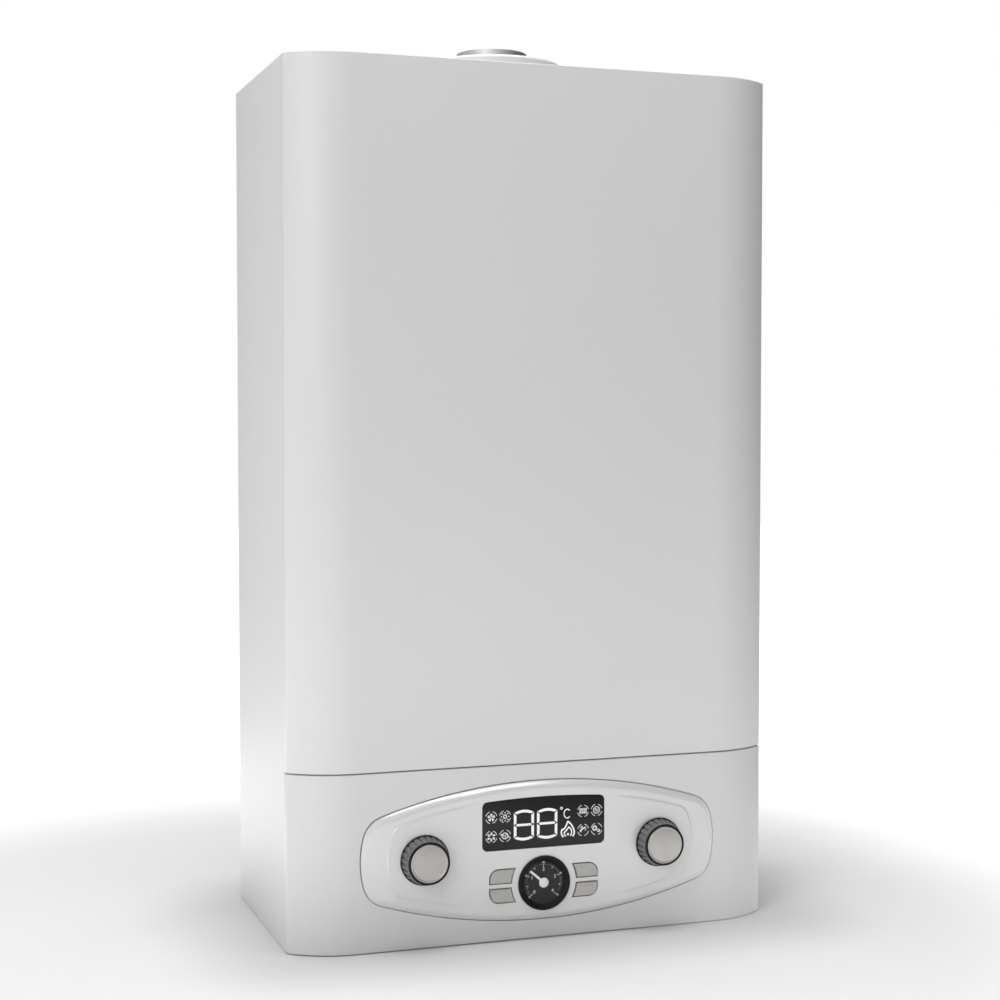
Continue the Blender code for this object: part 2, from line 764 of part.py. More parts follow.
def make_top_panel():
    """Sheet between the turned edges of the side panels, with the air and flue hole."""
    edge = FLANGE_X - CLEARANCE
    panel = box("top_panel", (-edge, PANEL_FRONT, CASE_HEIGHT - SHEET), (edge, BACK, CASE_HEIGHT))
    hole = rod(
        "top_panel_hole",
        COLLAR_BORE - SHEET,
        "Z",
        (0, FLUE_Y),
        CASE_HEIGHT - 2 * SHEET,
        CASE_HEIGHT + SHEET,
    )
    dress(cut(panel, hole), WHITE_PAINT)


def make_back_panel():
    """Shallow steel tray with two slots for the wall hooks."""
    edge = HALF_WIDTH - SHEET - CLEARANCE
    top = CASE_HEIGHT - SHEET - CLEARANCE
    panel = box("back_panel", (-edge, TRAY_FRONT, 0), (edge, BACK, top))
    inside = box(
        "back_panel_inside",
        (-edge + BACK_SHEET, TRAY_FRONT - BACK_SHEET, BACK_SHEET),
        (edge - BACK_SHEET, BACK - BACK_SHEET, top - BACK_SHEET),
    )
    slot_top = CASE_HEIGHT - HOOK_SLOT_BELOW_TOP
    reach = HOOK_SLOT_WIDTH / 2
    slots = [
        box(
            "slot",
            (middle - reach, BACK - 2 * BACK_SHEET, slot_top - HOOK_SLOT_HEIGHT),
            (middle + reach, BACK + BACK_SHEET, slot_top),
        )
        for middle in (-HOOK_SLOT_SPACING / 2, HOOK_SLOT_SPACING / 2)
    ]
    dress(cut(panel, inside, bundle("back_panel_slots", slots)), ZINC_STEEL)


def make_bottom_plate():
    """Steel plate that closes the bottom and lets the pipe ends through."""
    edge = HALF_WIDTH - SHEET - CLEARANCE
    front = LID_BACK + CLEARANCE
    back = TRAY_FRONT - CLEARANCE
    plate = box(
        "bottom_plate",
        (-edge, front, BOTTOM_PLATE_HEIGHT - BOTTOM_PLATE_LIP),
        (edge, back, PLATE_TOP),
    )
    below = box(
        "bottom_plate_below",
        (-edge + BOTTOM_PLATE_SHEET, front - BOTTOM_PLATE_SHEET, 0),
        (edge - BOTTOM_PLATE_SHEET, back + BOTTOM_PLATE_SHEET, BOTTOM_PLATE_HEIGHT),
    )
    passages = [
        (FLOW_X, PIPE_Y, WIDE_PIPE_RADIUS),
        (HOT_X, PIPE_Y, NARROW_PIPE_RADIUS),
        (GAS_X, PIPE_Y, WIDE_PIPE_RADIUS),
        (COLD_X, PIPE_Y, NARROW_PIPE_RADIUS),
        (HEATING_RETURN_X, PIPE_Y, WIDE_PIPE_RADIUS),
        (TAP_X, TAP_Y, TAP_STEM_RADIUS),
        (GLAND_X, GLAND_Y, GLAND_RADIUS),
    ]
    holes = [
        rod(
            "passage",
            radius + HOLE_CLEARANCE,
            "Z",
            (x, y),
            BOTTOM_PLATE_HEIGHT - BOTTOM_PLATE_SHEET,
            PLATE_TOP + BOTTOM_PLATE_SHEET,
            SMALL_ROUND_STEPS,
        )
        for x, y, radius in passages
    ]
    dress(cut(plate, below, bundle("bottom_plate_holes", holes)), ZINC_STEEL)


# Flue outlet


def make_flue_outlet():
    """Gasket, collar for the air duct and the pipe that carries the burnt gas."""
    gasket_top = CASE_HEIGHT + CLEARANCE + GASKET_THICKNESS
    gasket = ring(
        "flue_gasket",
        COLLAR_RADIUS - CLEARANCE,
        COLLAR_BORE,
        "Z",
        (0, FLUE_Y),
        CASE_HEIGHT + CLEARANCE,
        gasket_top,
    )
    dress(gasket, RUBBER_BLACK)
    bottom = gasket_top + CLEARANCE
    top = CASE_HEIGHT + COLLAR_HEIGHT
    profile = [
        (COLLAR_BORE, bottom),
        (COLLAR_RADIUS, bottom),
        (COLLAR_RADIUS, top - COLLAR_EDGE),
        (COLLAR_RADIUS - COLLAR_EDGE, top),
        (COLLAR_BORE, top),
    ]
    dress(turned("flue_collar", profile, "Z", (0, FLUE_Y, 0), FINE_ROUND_STEPS), WHITE_PAINT)
    spigot = ring(
        "flue_spigot",
        FLUE_RADIUS,
        FLUE_RADIUS - FLUE_WALL,
        "Z",
        (0, FLUE_Y),
        HOUSING_TOP + FAN_SHEET,
        FLUE_TOP,
        FINE_ROUND_STEPS,
    )
    dress(spigot, ALUMINIUM)


# Sealed chamber


def make_sealed_chamber():
    """Steel box round the fire, with a turned-in lip that carries its cover."""
    half = CHAMBER_HALF_WIDTH
    chamber = box(
        "sealed_chamber",
        (-half, CHAMBER_FRONT, CHAMBER_BOTTOM),
        (half, CHAMBER_BACK, CHAMBER_TOP),
    )
    inside = box(
        "sealed_chamber_inside",
        (-half + SHEET, CHAMBER_FRONT + SHEET, CHAMBER_BOTTOM + SHEET),
        (half - SHEET, CHAMBER_INNER_BACK, CHAMBER_TOP - SHEET),
    )
    mouth = box(
        "sealed_chamber_mouth",
        (-half + CHAMBER_LIP, CHAMBER_FRONT - SHEET, CHAMBER_BOTTOM + CHAMBER_LIP),
        (half - CHAMBER_LIP, CHAMBER_FRONT + 2 * SHEET, CHAMBER_TOP - CHAMBER_LIP),
    )
    air_hole = rod(
        "sealed_chamber_air_hole",
        COLLAR_BORE - SHEET,
        "Z",
        (0, FLUE_Y),
        CHAMBER_TOP - 2 * SHEET,
        CHAMBER_TOP + SHEET,
    )
    passages = [
        (0, MANIFOLD_Y, NARROW_PIPE_RADIUS),
        (-EXCHANGER_STUB_X, FLOW_TUBE_Y, WIDE_PIPE_RADIUS),
        (EXCHANGER_STUB_X, RETURN_TUBE_Y, WIDE_PIPE_RADIUS),
    ]
    holes = [
        rod(
            "passage",
            radius + HOLE_CLEARANCE,
            "Z",
            (x, y),
            CHAMBER_BOTTOM - SHEET,
            CHAMBER_BOTTOM + 2 * SHEET,
            SMALL_ROUND_STEPS,
        )
        for x, y, radius in passages
    ]
    cut(chamber, inside, mouth, air_hole, bundle("sealed_chamber_holes", holes))
    dress(chamber, ZINC_STEEL)


def make_chamber_cover():
    """Pressed steel lid of the sealed chamber, with its sight glass."""
    half = CHAMBER_HALF_WIDTH
    cover = box(
        "chamber_cover",
        (-half, COVER_FRONT, CHAMBER_BOTTOM),
        (half, COVER_FRONT + SHEET, CHAMBER_TOP),
    )
    low = (-half + COVER_RIM, CHAMBER_BOTTOM + COVER_RIM)
    high = (half - COVER_RIM, CHAMBER_TOP - COVER_RIM)
    pressed = box(
        "chamber_cover_pressing",
        (low[0], COVER_FRONT - COVER_PRESSING, low[1]),
        (high[0], COVER_FRONT + SHEET / 2, high[1]),
    )
    hollow = box(
        "chamber_cover_hollow",
        (low[0] + SHEET, COVER_FRONT - COVER_PRESSING + SHEET, low[1] + SHEET),
        (high[0] - SHEET, COVER_FRONT + 2 * SHEET, high[1] - SHEET),
    )
    hole = rod(
        "chamber_cover_hole",
        SIGHT_GLASS_RADIUS,
        "Y",
        (0, SIGHT_GLASS_HEIGHT),
        COVER_FRONT - 2 * COVER_PRESSING,
        COVER_FRONT + SHEET,
        SMALL_ROUND_STEPS,
    )
    join(cover, pressed)
    dress(cut(cover, hollow, hole), ZINC_STEEL)
    face = COVER_FRONT - COVER_PRESSING
    profile = [
        (0, face - 2 * SHEET),
        (SIGHT_GLASS_RADIUS + SIGHT_GLASS_RIM, face - 2 * SHEET),
        (SIGHT_GLASS_RADIUS + SIGHT_GLASS_RIM, face - CLEARANCE),
        (SIGHT_GLASS_RADIUS - CLEARANCE, face - CLEARANCE),
        (SIGHT_GLASS_RADIUS - CLEARANCE, face + 2 * SHEET),
        (0, face + 2 * SHEET),
    ]
    centre = (0, SIGHT_GLASS_HEIGHT, 0)
    dress(turned("sight_glass", profile, "Y", centre, SMALL_ROUND_STEPS), GLASS_CLEAR)


def make_expansion_vessel():
    """Flat vessel of two pressed shells, welded at a seam, behind the fire."""
    back = VESSEL_BACK
    front = VESSEL_FRONT
    bottom = CHAMBER_BOTTOM + SHEET + VESSEL_SEAM + CLEARANCE
    vessel = rounded_box(
        "expansion_vessel",
        (-VESSEL_WIDTH / 2, front, bottom),
        (VESSEL_WIDTH / 2, back, bottom + VESSEL_HEIGHT),
        VESSEL_ROUNDING,
    )
    middle = (front + back) / 2
    seam = box(
        "expansion_vessel_seam",
        (-VESSEL_WIDTH / 2 - VESSEL_SEAM, middle - VESSEL_SEAM_THICKNESS / 2, bottom - VESSEL_SEAM),
        (
            VESSEL_WIDTH / 2 + VESSEL_SEAM,
            middle + VESSEL_SEAM_THICKNESS / 2,
            bottom + VESSEL_HEIGHT + VESSEL_SEAM,
        ),
    )
    inside = rounded_box(
        "expansion_vessel_inside",
        (-VESSEL_WIDTH / 2 + VESSEL_WALL, front + VESSEL_WALL, bottom + VESSEL_WALL),
        (VESSEL_WIDTH / 2 - VESSEL_WALL, back - VESSEL_WALL, bottom + VESSEL_HEIGHT - VESSEL_WALL),
        VESSEL_ROUNDING - VESSEL_WALL,
    )
    port = rod(
        "expansion_vessel_port",
        VESSEL_PORT_RADIUS,
        "Y",
        (VESSEL_WIDTH / 2 - 2 * VESSEL_ROUNDING, bottom + 2 * VESSEL_ROUNDING),
        front - VESSEL_WALL,
        front + 2 * VESSEL_WALL,
        ROD_STEPS,
    )
    dress(cut(join(vessel, seam), inside, port), RED_PAINT)


# Fire side


def make_burner():
    """Row of flame blades on two cross bars."""
    foot = BLADE_FOOT / 2
    neck = BLADE_NECK / 2
    head = BLADE_HEAD / 2
    half = [
        (foot, 0),
        (foot, BLADE_BODY_SHARE),
        (neck, BLADE_NECK_SHARE),
        (head, BLADE_HEAD_SHARE),
        (head, 1),
    ]
    blades = []
    for number in range(BLADE_COUNT):
        x = (number - (BLADE_COUNT - 1) / 2) * BLADE_PITCH
        right = [(x + u, BURNER_BOTTOM + v * BURNER_HEIGHT) for u, v in half]
        left = [(x - u, BURNER_BOTTOM + v * BURNER_HEIGHT) for u, v in reversed(half)]
        blades.append(prism("blade", right + left, "Y", BURNER_FRONT, BURNER_BACK))
    burner = bundle("burner", blades)
    reach = BLADE_COUNT * BLADE_PITCH / 2
    for y in (BURNER_FRONT + 2 * BURNER_BAR, BURNER_BACK - 2 * BURNER_BAR):
        bar = box(
            "burner_bar",
            (-reach, y - BURNER_BAR / 2, BURNER_BOTTOM + BURNER_BAR / 2),
            (reach, y + BURNER_BAR / 2, BURNER_BOTTOM + 3 * BURNER_BAR / 2),
        )
        join(burner, bar)
    dress(burner, STAINLESS)


def make_combustion_chamber():
    """Insulated square duct above the burner, on two shelves to the chamber walls."""
    half = FIREBOX_WIDTH / 2
    firebox = box(
        "combustion_chamber",
        (-half, FIREBOX_FRONT, FIREBOX_BOTTOM),
        (half, FIREBOX_BACK, FIREBOX_TOP),
    )
    shelf_height = FIREBOX_BOTTOM + SHELF_ABOVE_BURNER
    wall_x = CHAMBER_HALF_WIDTH - SHEET - CLEARANCE
    for side, y in ((-1, RETURN_TUBE_Y), (1, FLOW_TUBE_Y)):
        low_x, high_x = sides(half - SHELF_THICKNESS, wall_x, side)
        shelf = box(
            "firebox_shelf",
            (low_x, y - SHELF_DEPTH / 2, shelf_height),
            (high_x, y + SHELF_DEPTH / 2, shelf_height + SHELF_THICKNESS),
        )
        low_x, high_x = sides(wall_x - SHELF_THICKNESS, wall_x, side)
        lip = box(
            "firebox_shelf_lip",
            (low_x, y - SHELF_DEPTH / 2, shelf_height - SHELF_LIP),
            (high_x, y + SHELF_DEPTH / 2, shelf_height + SHELF_THICKNESS / 2),
        )
        join(firebox, shelf, lip)
    inside = box(
        "combustion_chamber_inside",
        (-half + FIREBOX_WALL, FIREBOX_FRONT + FIREBOX_WALL, FIREBOX_BOTTOM - FIREBOX_WALL),
        (half - FIREBOX_WALL, FIREBOX_BACK - FIREBOX_WALL, FIREBOX_TOP + FIREBOX_WALL),
    )
    electrode_height = FIREBOX_BOTTOM + ELECTRODE_ABOVE_BURNER
    ahead = FIREBOX_FRONT - FIREBOX_WALL
    within = FIREBOX_FRONT + 2 * FIREBOX_WALL
    holes = [
        rod("hole", radius, "Y", (x, z), ahead, within, SMALL_ROUND_STEPS)
        for x, z, radius in (
            (0, SIGHT_GLASS_HEIGHT, SIGHT_GLASS_RADIUS),
            (-ELECTRODE_SPACING / 2, electrode_height, CERAMIC_RADIUS + CLEARANCE),
            (ELECTRODE_SPACING / 2, electrode_height, CERAMIC_RADIUS + CLEARANCE),
        )
    ]
    cut(firebox, inside, bundle("combustion_chamber_holes", holes))
    dress(firebox, CERAMIC_WHITE)


def make_electrode(name, side):
    """Steel rod in a ceramic sleeve, pushed through the front wall over the burner."""
    collet_end = FIREBOX_FRONT - CLEARANCE
    ceramic_end = FIREBOX_FRONT + FIREBOX_WALL + CERAMIC_RADIUS
    profile = [
        (0, ceramic_end - CERAMIC_LENGTH),
        (CERAMIC_RADIUS, ceramic_end - CERAMIC_LENGTH),
        (CERAMIC_RADIUS, collet_end - COLLET_LENGTH),
        (COLLET_RADIUS, collet_end - COLLET_LENGTH),
        (COLLET_RADIUS, collet_end),
        (CERAMIC_RADIUS, collet_end),
        (CERAMIC_RADIUS, ceramic_end),
        (ROD_RADIUS, ceramic_end),
        (ROD_RADIUS, ceramic_end + ROD_LENGTH),
        (0, ceramic_end + ROD_LENGTH),
    ]
    centre = (side * ELECTRODE_SPACING / 2, FIREBOX_BOTTOM + ELECTRODE_ABOVE_BURNER, 0)
    dress(turned(name, profile, "Y", centre, SMALL_ROUND_STEPS), CERAMIC_WHITE)


def make_gas_manifold():
    """Gas rail with one nozzle for each flame blade and an inlet from below."""
    reach = BLADE_COUNT * BLADE_PITCH / 2
    manifold = rod(
        "gas_manifold",
        MANIFOLD_RADIUS,
        "X",
        (MANIFOLD_Y, MANIFOLD_HEIGHT),
        -reach,
        reach,
        SMALL_ROUND_STEPS,
    )
    end = BURNER_FRONT - NOZZLE_GAP
    nozzles = []
    for number in range(BLADE_COUNT):
        place = ((number - (BLADE_COUNT - 1) / 2) * BLADE_PITCH, MANIFOLD_HEIGHT)
        nozzles.append(rod("nozzle", NOZZLE_RADIUS, "Y", place, MANIFOLD_Y, end, NOZZLE_STEPS))
    inlet = rod(
        "manifold_inlet",
        MANIFOLD_RADIUS + SHEET,
        "Z",
        (0, MANIFOLD_Y),
        MANIFOLD_INLET,
        MANIFOLD_HEIGHT,
        SMALL_ROUND_STEPS,
    )
    dress(join(manifold, bundle("manifold_nozzles", nozzles), inlet), ALUMINIUM)


def make_heat_exchanger():
    """Copper tube that runs to and fro through a stack of fins in a copper shell."""
    half = FIREBOX_WIDTH / 2
    shell = box(
        "heat_exchanger",
        (-half, FIREBOX_FRONT, EXCHANGER_BOTTOM),
        (half, FIREBOX_BACK, EXCHANGER_TOP),
    )
    inside = box(
        "heat_exchanger_inside",
        (-half + EXCHANGER_PLATE, FIREBOX_FRONT + EXCHANGER_PLATE, EXCHANGER_BOTTOM - EXCHANGER_PLATE),
        (half - EXCHANGER_PLATE, FIREBOX_BACK - EXCHANGER_PLATE, EXCHANGER_TOP + EXCHANGER_PLATE),
    )
    fins = []
    for number in range(FIN_COUNT):
        x = (number - (FIN_COUNT - 1) / 2) * FIN_PITCH
        fins.append(
            box(
                "fin",
                (x - FIN_THICKNESS / 2, FIREBOX_FRONT + EXCHANGER_PLATE / 2, TUBE_HEIGHT - FIN_HEIGHT / 2),
                (x + FIN_THICKNESS / 2, FIREBOX_BACK - EXCHANGER_PLATE / 2, TUBE_HEIGHT + FIN_HEIGHT / 2),
            )
        )
    turn_x = half + TUBE_BEND_REACH
    points = [(EXCHANGER_STUB_X, RETURN_TUBE_Y, STUB_END), (EXCHANGER_STUB_X, RETURN_TUBE_Y, TUBE_HEIGHT)]
    side = -1
    for number in range(TUBE_COUNT - 1):
        y = RETURN_TUBE_Y + number * TUBE_PITCH
        points += [(side * turn_x, y, TUBE_HEIGHT), (side * turn_x, y + TUBE_PITCH, TUBE_HEIGHT)]
        side = -side
    points += [(-EXCHANGER_STUB_X, FLOW_TUBE_Y, TUBE_HEIGHT), (-EXCHANGER_STUB_X, FLOW_TUBE_Y, STUB_END)]
    serpent = tube("heat_exchanger_tube", route(points, TUBE_BEND), TUBE_RADIUS)
    cut(shell, inside)
    dress(join(shell, bundle("heat_exchanger_fins", fins), serpent), COPPER)


def rectangle(centre, width, depth, height, inset=0.0):
    """Four corners of a level rectangle."""
    x = width / 2 - inset
    y = depth / 2 - inset
    return [(centre[0] + u * x, centre[1] + v * y, height) for u, v in ((-1, -1), (1, -1), (1, 1), (-1, 1))]


def make_flue_hood():
    """Sheet hood that draws the burnt gas together under the fan."""
    base = ((0, FIREBOX_MIDDLE), FIREBOX_WIDTH, FIREBOX_DEPTH)
    crown = ((FAN_X, FAN_Y), HOOD_TOP_WIDTH, HOOD_TOP_DEPTH)
    hood = loft("flue_hood", [rectangle(*base, HOOD_BOTTOM), rectangle(*crown, HOOD_TOP)])
    inside = loft(
        "flue_hood_inside",
        [
            rectangle(*base, HOOD_BOTTOM - HOOD_SHEET, HOOD_SHEET),
            rectangle(*crown, HOOD_TOP - HOOD_SHEET, HOOD_SHEET),
        ],
    )
    hole = rod(
        "flue_hood_hole",
        FAN_INLET_RADIUS,
        "Z",
        (FAN_X, FAN_Y),
        HOOD_TOP - 2 * HOOD_SHEET,
        HOOD_TOP + HOOD_SHEET,
    )
    dress(cut(hood, inside, hole), ALUMINIUM)


def scroll_outline(inset=0.0):
    """Plan of the fan housing: a spiral round the wheel that opens under the flue."""
    points = []
    for step in range(SCROLL_STEPS + 1):
        share = step / SCROLL_STEPS
        angle = SCROLL_START_ANGLE - SCROLL_SWEEP * share
        radius = SCROLL_START_RADIUS + (SCROLL_END_RADIUS - SCROLL_START_RADIUS) * share - inset
        points.append((FAN_X + radius * math.cos(angle), FAN_Y + radius * math.sin(angle)))
    outlet = FAN_Y + SCROLL_END_RADIUS - FLUE_Y - inset
    for step in range(OUTLET_STEPS + 1):
        angle = math.pi / 2 - OUTLET_SWEEP * step / OUTLET_STEPS
        points.append((outlet * math.cos(angle), FLUE_Y + outlet * math.sin(angle)))
    return points


def make_fan_housing():
    """Scroll of the flue fan, with its inlet below and its outlet into the flue pipe."""
    housing = prism("fan_housing", scroll_outline(), "Z", HOUSING_BOTTOM, HOUSING_TOP)
    inside = prism(
        "fan_housing_inside",
        scroll_outline(FAN_SHEET),
        "Z",
        HOUSING_BOTTOM + FAN_SHEET,
        HOUSING_TOP - FAN_SHEET,
    )
    inlet = rod(
        "fan_housing_inlet",
        FAN_INLET_RADIUS,
        "Z",
        (FAN_X, FAN_Y),
        HOUSING_BOTTOM - FAN_SHEET,
        HOUSING_BOTTOM + 2 * FAN_SHEET,
    )
    shaft_hole = rod(
        "fan_housing_shaft_hole",
        2 * SHAFT_RADIUS,
        "Z",
        (FAN_X, FAN_Y),
        HOUSING_TOP - 2 * FAN_SHEET,
        HOUSING_TOP + FAN_SHEET,
        SMALL_ROUND_STEPS,
    )
    outlet = rod(
        "fan_housing_outlet",
        OUTLET_RADIUS - 3 * FAN_SHEET / 2,
        "Z",
        (0, FLUE_Y),
        HOUSING_TOP - 2 * FAN_SHEET,
        HOUSING_TOP + 2 * FAN_COLLAR_HEIGHT,
    )
    collar = ring(
        "fan_housing_collar",
        OUTLET_RADIUS,
        OUTLET_RADIUS - FAN_SHEET,
        "Z",
        (0, FLUE_Y),
        HOUSING_TOP - FAN_SHEET / 2,
        HOUSING_TOP + FAN_COLLAR_HEIGHT,
    )
    cut(housing, inside, inlet, shaft_hole, outlet)
    dress(join(housing, collar), ZINC_STEEL)


def make_fan_impeller():
    """Wheel of leaning blades between a back plate and an open ring."""
    bottom = HOUSING_BOTTOM + FAN_SHEET + RUNNING_GAP
    top = bottom + IMPELLER_HEIGHT
    hub_bore = SHAFT_RADIUS + CLEARANCE
    profile = [
        (hub_bore, top),
        (IMPELLER_RADIUS, top),
        (IMPELLER_RADIUS, top - IMPELLER_PLATE),
        (HUB_RADIUS, top - IMPELLER_PLATE),
        (HUB_RADIUS, top - 2 * HUB_RADIUS),
        (hub_bore, top - 2 * HUB_RADIUS),
    ]
    wheel = turned("fan_impeller", profile, "Z", (FAN_X, FAN_Y, 0))
    rim = ring(
        "fan_impeller_rim",
        IMPELLER_RADIUS,
        IMPELLER_INNER_RADIUS,
        "Z",
        (FAN_X, FAN_Y),
        bottom,
        bottom + IMPELLER_PLATE,
    )
    blades = []
    outer = IMPELLER_RADIUS - IMPELLER_PLATE
    inner = IMPELLER_INNER_RADIUS + IMPELLER_PLATE
    for number in range(IMPELLER_BLADES):
        start = 2 * math.pi * number / IMPELLER_BLADES
        front_face = []
        rear_face = []
        for step in range(FAN_BLADE_STEPS + 1):
            share = step / FAN_BLADE_STEPS
            radius = inner + (outer - inner) * share
            angle = start + BLADE_LEAN * share * share
            half = BLADE_THICKNESS / 2 / radius
            front_face.append((radius, angle - half))
            rear_face.append((radius, angle + half))
        loop = front_face + rear_face[::-1]
        outline = [(FAN_X + r * math.cos(a), FAN_Y + r * math.sin(a)) for r, a in loop]
        blades.append(prism("blade", outline, "Z", bottom + IMPELLER_PLATE / 2, top - IMPELLER_PLATE / 2))
    join(wheel, bundle("fan_impeller_blades", blades), rim)
    dress(wheel, ZINC_STEEL)
    set_axis(wheel, (FAN_X, FAN_Y, bottom))


def make_fan_motor():
    """Motor on top of the scroll, with its shaft down into the wheel."""
    base = HOUSING_TOP + CLEARANCE
    foot = base + 2 * FAN_SHEET
    top = foot + MOTOR_HEIGHT
    shaft_end = HOUSING_BOTTOM + FAN_SHEET + RUNNING_GAP + IMPELLER_HEIGHT - 2 * HUB_RADIUS
    profile = [
        (0, shaft_end),
        (SHAFT_RADIUS, shaft_end),
        (SHAFT_RADIUS, base),
        (MOTOR_FOOT_RADIUS, base),
        (MOTOR_FOOT_RADIUS, foot),
        (MOTOR_RADIUS, foot),
        (MOTOR_RADIUS, top - MOTOR_DOME_HEIGHT),
        (MOTOR_FOOT_RADIUS, top - MOTOR_DOME_SHOULDER),
        (MOTOR_DOME_RADIUS, top),
        (0, top),
    ]
    dress(turned("fan_motor", profile, "Z", (FAN_X, FAN_Y, 0), MEDIUM_ROUND_STEPS), ZINC_STEEL)


def make_air_pressure_switch():
    """Round switch that feels the draught of the fan, on the chamber back."""
    back = CHAMBER_INNER_BACK - CLEARANCE
    front = back - SWITCH_DEPTH
    profile = [
        (0, front),
        (SWITCH_NOSE_RADIUS, front),
        (SWITCH_NOSE_RADIUS, front + SWITCH_NOSE_LENGTH),
        (SWITCH_BODY_RADIUS, front + SWITCH_SHOULDER),
        (SWITCH_RADIUS, front + SWITCH_RIM_FRONT),
        (SWITCH_RADIUS, front + SWITCH_RIM_BACK),
        (SWITCH_BODY_RADIUS, front + SWITCH_BODY_FRONT),
        (SWITCH_BODY_RADIUS, back),
        (0, back),
    ]
    centre = (SWITCH_X, SWITCH_HEIGHT, 0)
    dress(turned("air_pressure_switch", profile, "Y", centre, MEDIUM_ROUND_STEPS), GREY_PLASTIC)


# Water side


def hexagon(centre, radius):
    """Six corners round a centre."""
    corners = []
    for angle in (math.pi * step / 3 for step in range(2 * 3)):
        corners.append((centre[0] + radius * math.cos(angle), centre[1] + radius * math.sin(angle)))
    return corners


def make_connection(name, x, path, pipe_radius, thread_radius, bore, look):
    """A pipe that ends under the bottom plate in a nut and an open thread."""
    nut_top = BOTTOM_PLATE_HEIGHT - CLEARANCE
    nut_bottom = nut_top - NUT_HEIGHT
    pipe = tube(name, route([(x, PIPE_Y, nut_bottom + NUT_HEIGHT / 2)] + path, PIPE_BEND), pipe_radius)
    profile = [
        (0, PIPE_END_HEIGHT + BORE_DEPTH),
        (bore, PIPE_END_HEIGHT + BORE_DEPTH),
        (bore, PIPE_END_HEIGHT),
        (thread_radius, PIPE_END_HEIGHT),
        (thread_radius, nut_top - SHEET),
        (0, nut_top - SHEET),
    ]
    fitting = turned(name + "_fitting", profile, "Z", (x, PIPE_Y, 0), MEDIUM_ROUND_STEPS)
    nut = prism(name + "_nut", hexagon((x, PIPE_Y), thread_radius + NUT_EXTRA), "Z", nut_bottom, nut_top)
    bore_top = PIPE_END_HEIGHT + BORE_DEPTH
    cutter = rod(name + "_bore", bore, "Z", (x, PIPE_Y), 0, bore_top, MEDIUM_ROUND_STEPS)
    join(pipe, fitting, nut)
    cut(pipe, cutter)
    return dress(pipe, look)


def make_connections():
    """The five connections: heating flow, hot water, gas, cold water, heating return."""
    block_below = BLOCK_BOTTOM - CLEARANCE
    wide = (WIDE_PIPE_RADIUS, THREE_QUARTER_RADIUS, THREE_QUARTER_BORE)
    narrow = (NARROW_PIPE_RADIUS, HALF_INCH_RADIUS, HALF_INCH_BORE)
    make_connection("heating_flow_pipe", FLOW_X, [(FLOW_X, PIPE_Y, block_below)], *wide, COPPER)
    left_port = FLOW_X + BLOCK_WIDTH / 2 + CLEARANCE
    hot_path = [(HOT_X, PIPE_Y, SIDE_PORT_HEIGHT), (left_port, PIPE_Y, SIDE_PORT_HEIGHT)]
    make_connection("hot_water_pipe", HOT_X, hot_path, *narrow, COPPER)
    gas_path = [(GAS_X, PIPE_Y, VALVE_BOTTOM - CLEARANCE)]
    make_connection("gas_inlet_pipe", GAS_X, gas_path, *wide, COPPER)
    right_port = HEATING_RETURN_X - BLOCK_WIDTH / 2 - CLEARANCE
    cold_path = [(COLD_X, PIPE_Y, COLD_PORT_HEIGHT), (right_port, PIPE_Y, COLD_PORT_HEIGHT)]
    make_connection("cold_water_pipe", COLD_X, cold_path, *narrow, COPPER)
    return_path = [(HEATING_RETURN_X, PIPE_Y, block_below)]
    make_connection("heating_return_pipe", HEATING_RETURN_X, return_path, *wide, COPPER)


def make_primary_pipes():
    """Pipes between the blocks and the heat exchanger, and from the gas valve to the rail."""
    start = BLOCK_TOP + CLEARANCE
    end = STUB_END - CLEARANCE
    rise = CHAMBER_BOTTOM - PIPE_BEND
    bend_height = BLOCK_TOP + 2 * PIPE_BEND
    flow = route(
        [
            (FLOW_X, PIPE_Y, start),
            (FLOW_X, PIPE_Y, bend_height),
            (-EXCHANGER_STUB_X, FLOW_TUBE_Y, rise),
            (-EXCHANGER_STUB_X, FLOW_TUBE_Y, end),
        ],
        PIPE_BEND,
    )
    dress(tube("primary_flow_pipe", flow, WIDE_PIPE_RADIUS), COPPER)
    port_x = HEATING_RETURN_X - PUMP_PORT_OFFSET
    back = route(
        [
            (port_x, PIPE_Y, start),
            (port_x, PIPE_Y, bend_height),
            (EXCHANGER_STUB_X, RETURN_TUBE_Y, rise),
            (EXCHANGER_STUB_X, RETURN_TUBE_Y, end),
        ],
        PIPE_BEND,
    )
    dress(tube("primary_return_pipe", back, WIDE_PIPE_RADIUS), COPPER)
    outlet_y = PIPE_Y - VALVE_OUTLET_FORWARD
    gas = route(
        [
            (GAS_X, outlet_y, VALVE_TOP + CLEARANCE),
            (GAS_X, outlet_y, GAS_PIPE_RUN_HEIGHT),
            (GAS_X, MANIFOLD_Y, GAS_PIPE_RUN_HEIGHT),
            (GAS_X, MANIFOLD_Y, MANIFOLD_INLET - CLEARANCE),
        ],
        PIPE_BEND,
    )
    dress(tube("burner_gas_pipe", gas, NARROW_PIPE_RADIUS), COPPER)


def make_block(name, x):
    """Brass block that joins the pipes of one side."""
    return rounded_box(
        name,
        (x - BLOCK_WIDTH / 2, BLOCK_FRONT, BLOCK_BOTTOM),
        (x + BLOCK_WIDTH / 2, BLOCK_BACK, BLOCK_TOP),
        BLOCK_ROUNDING,
    )


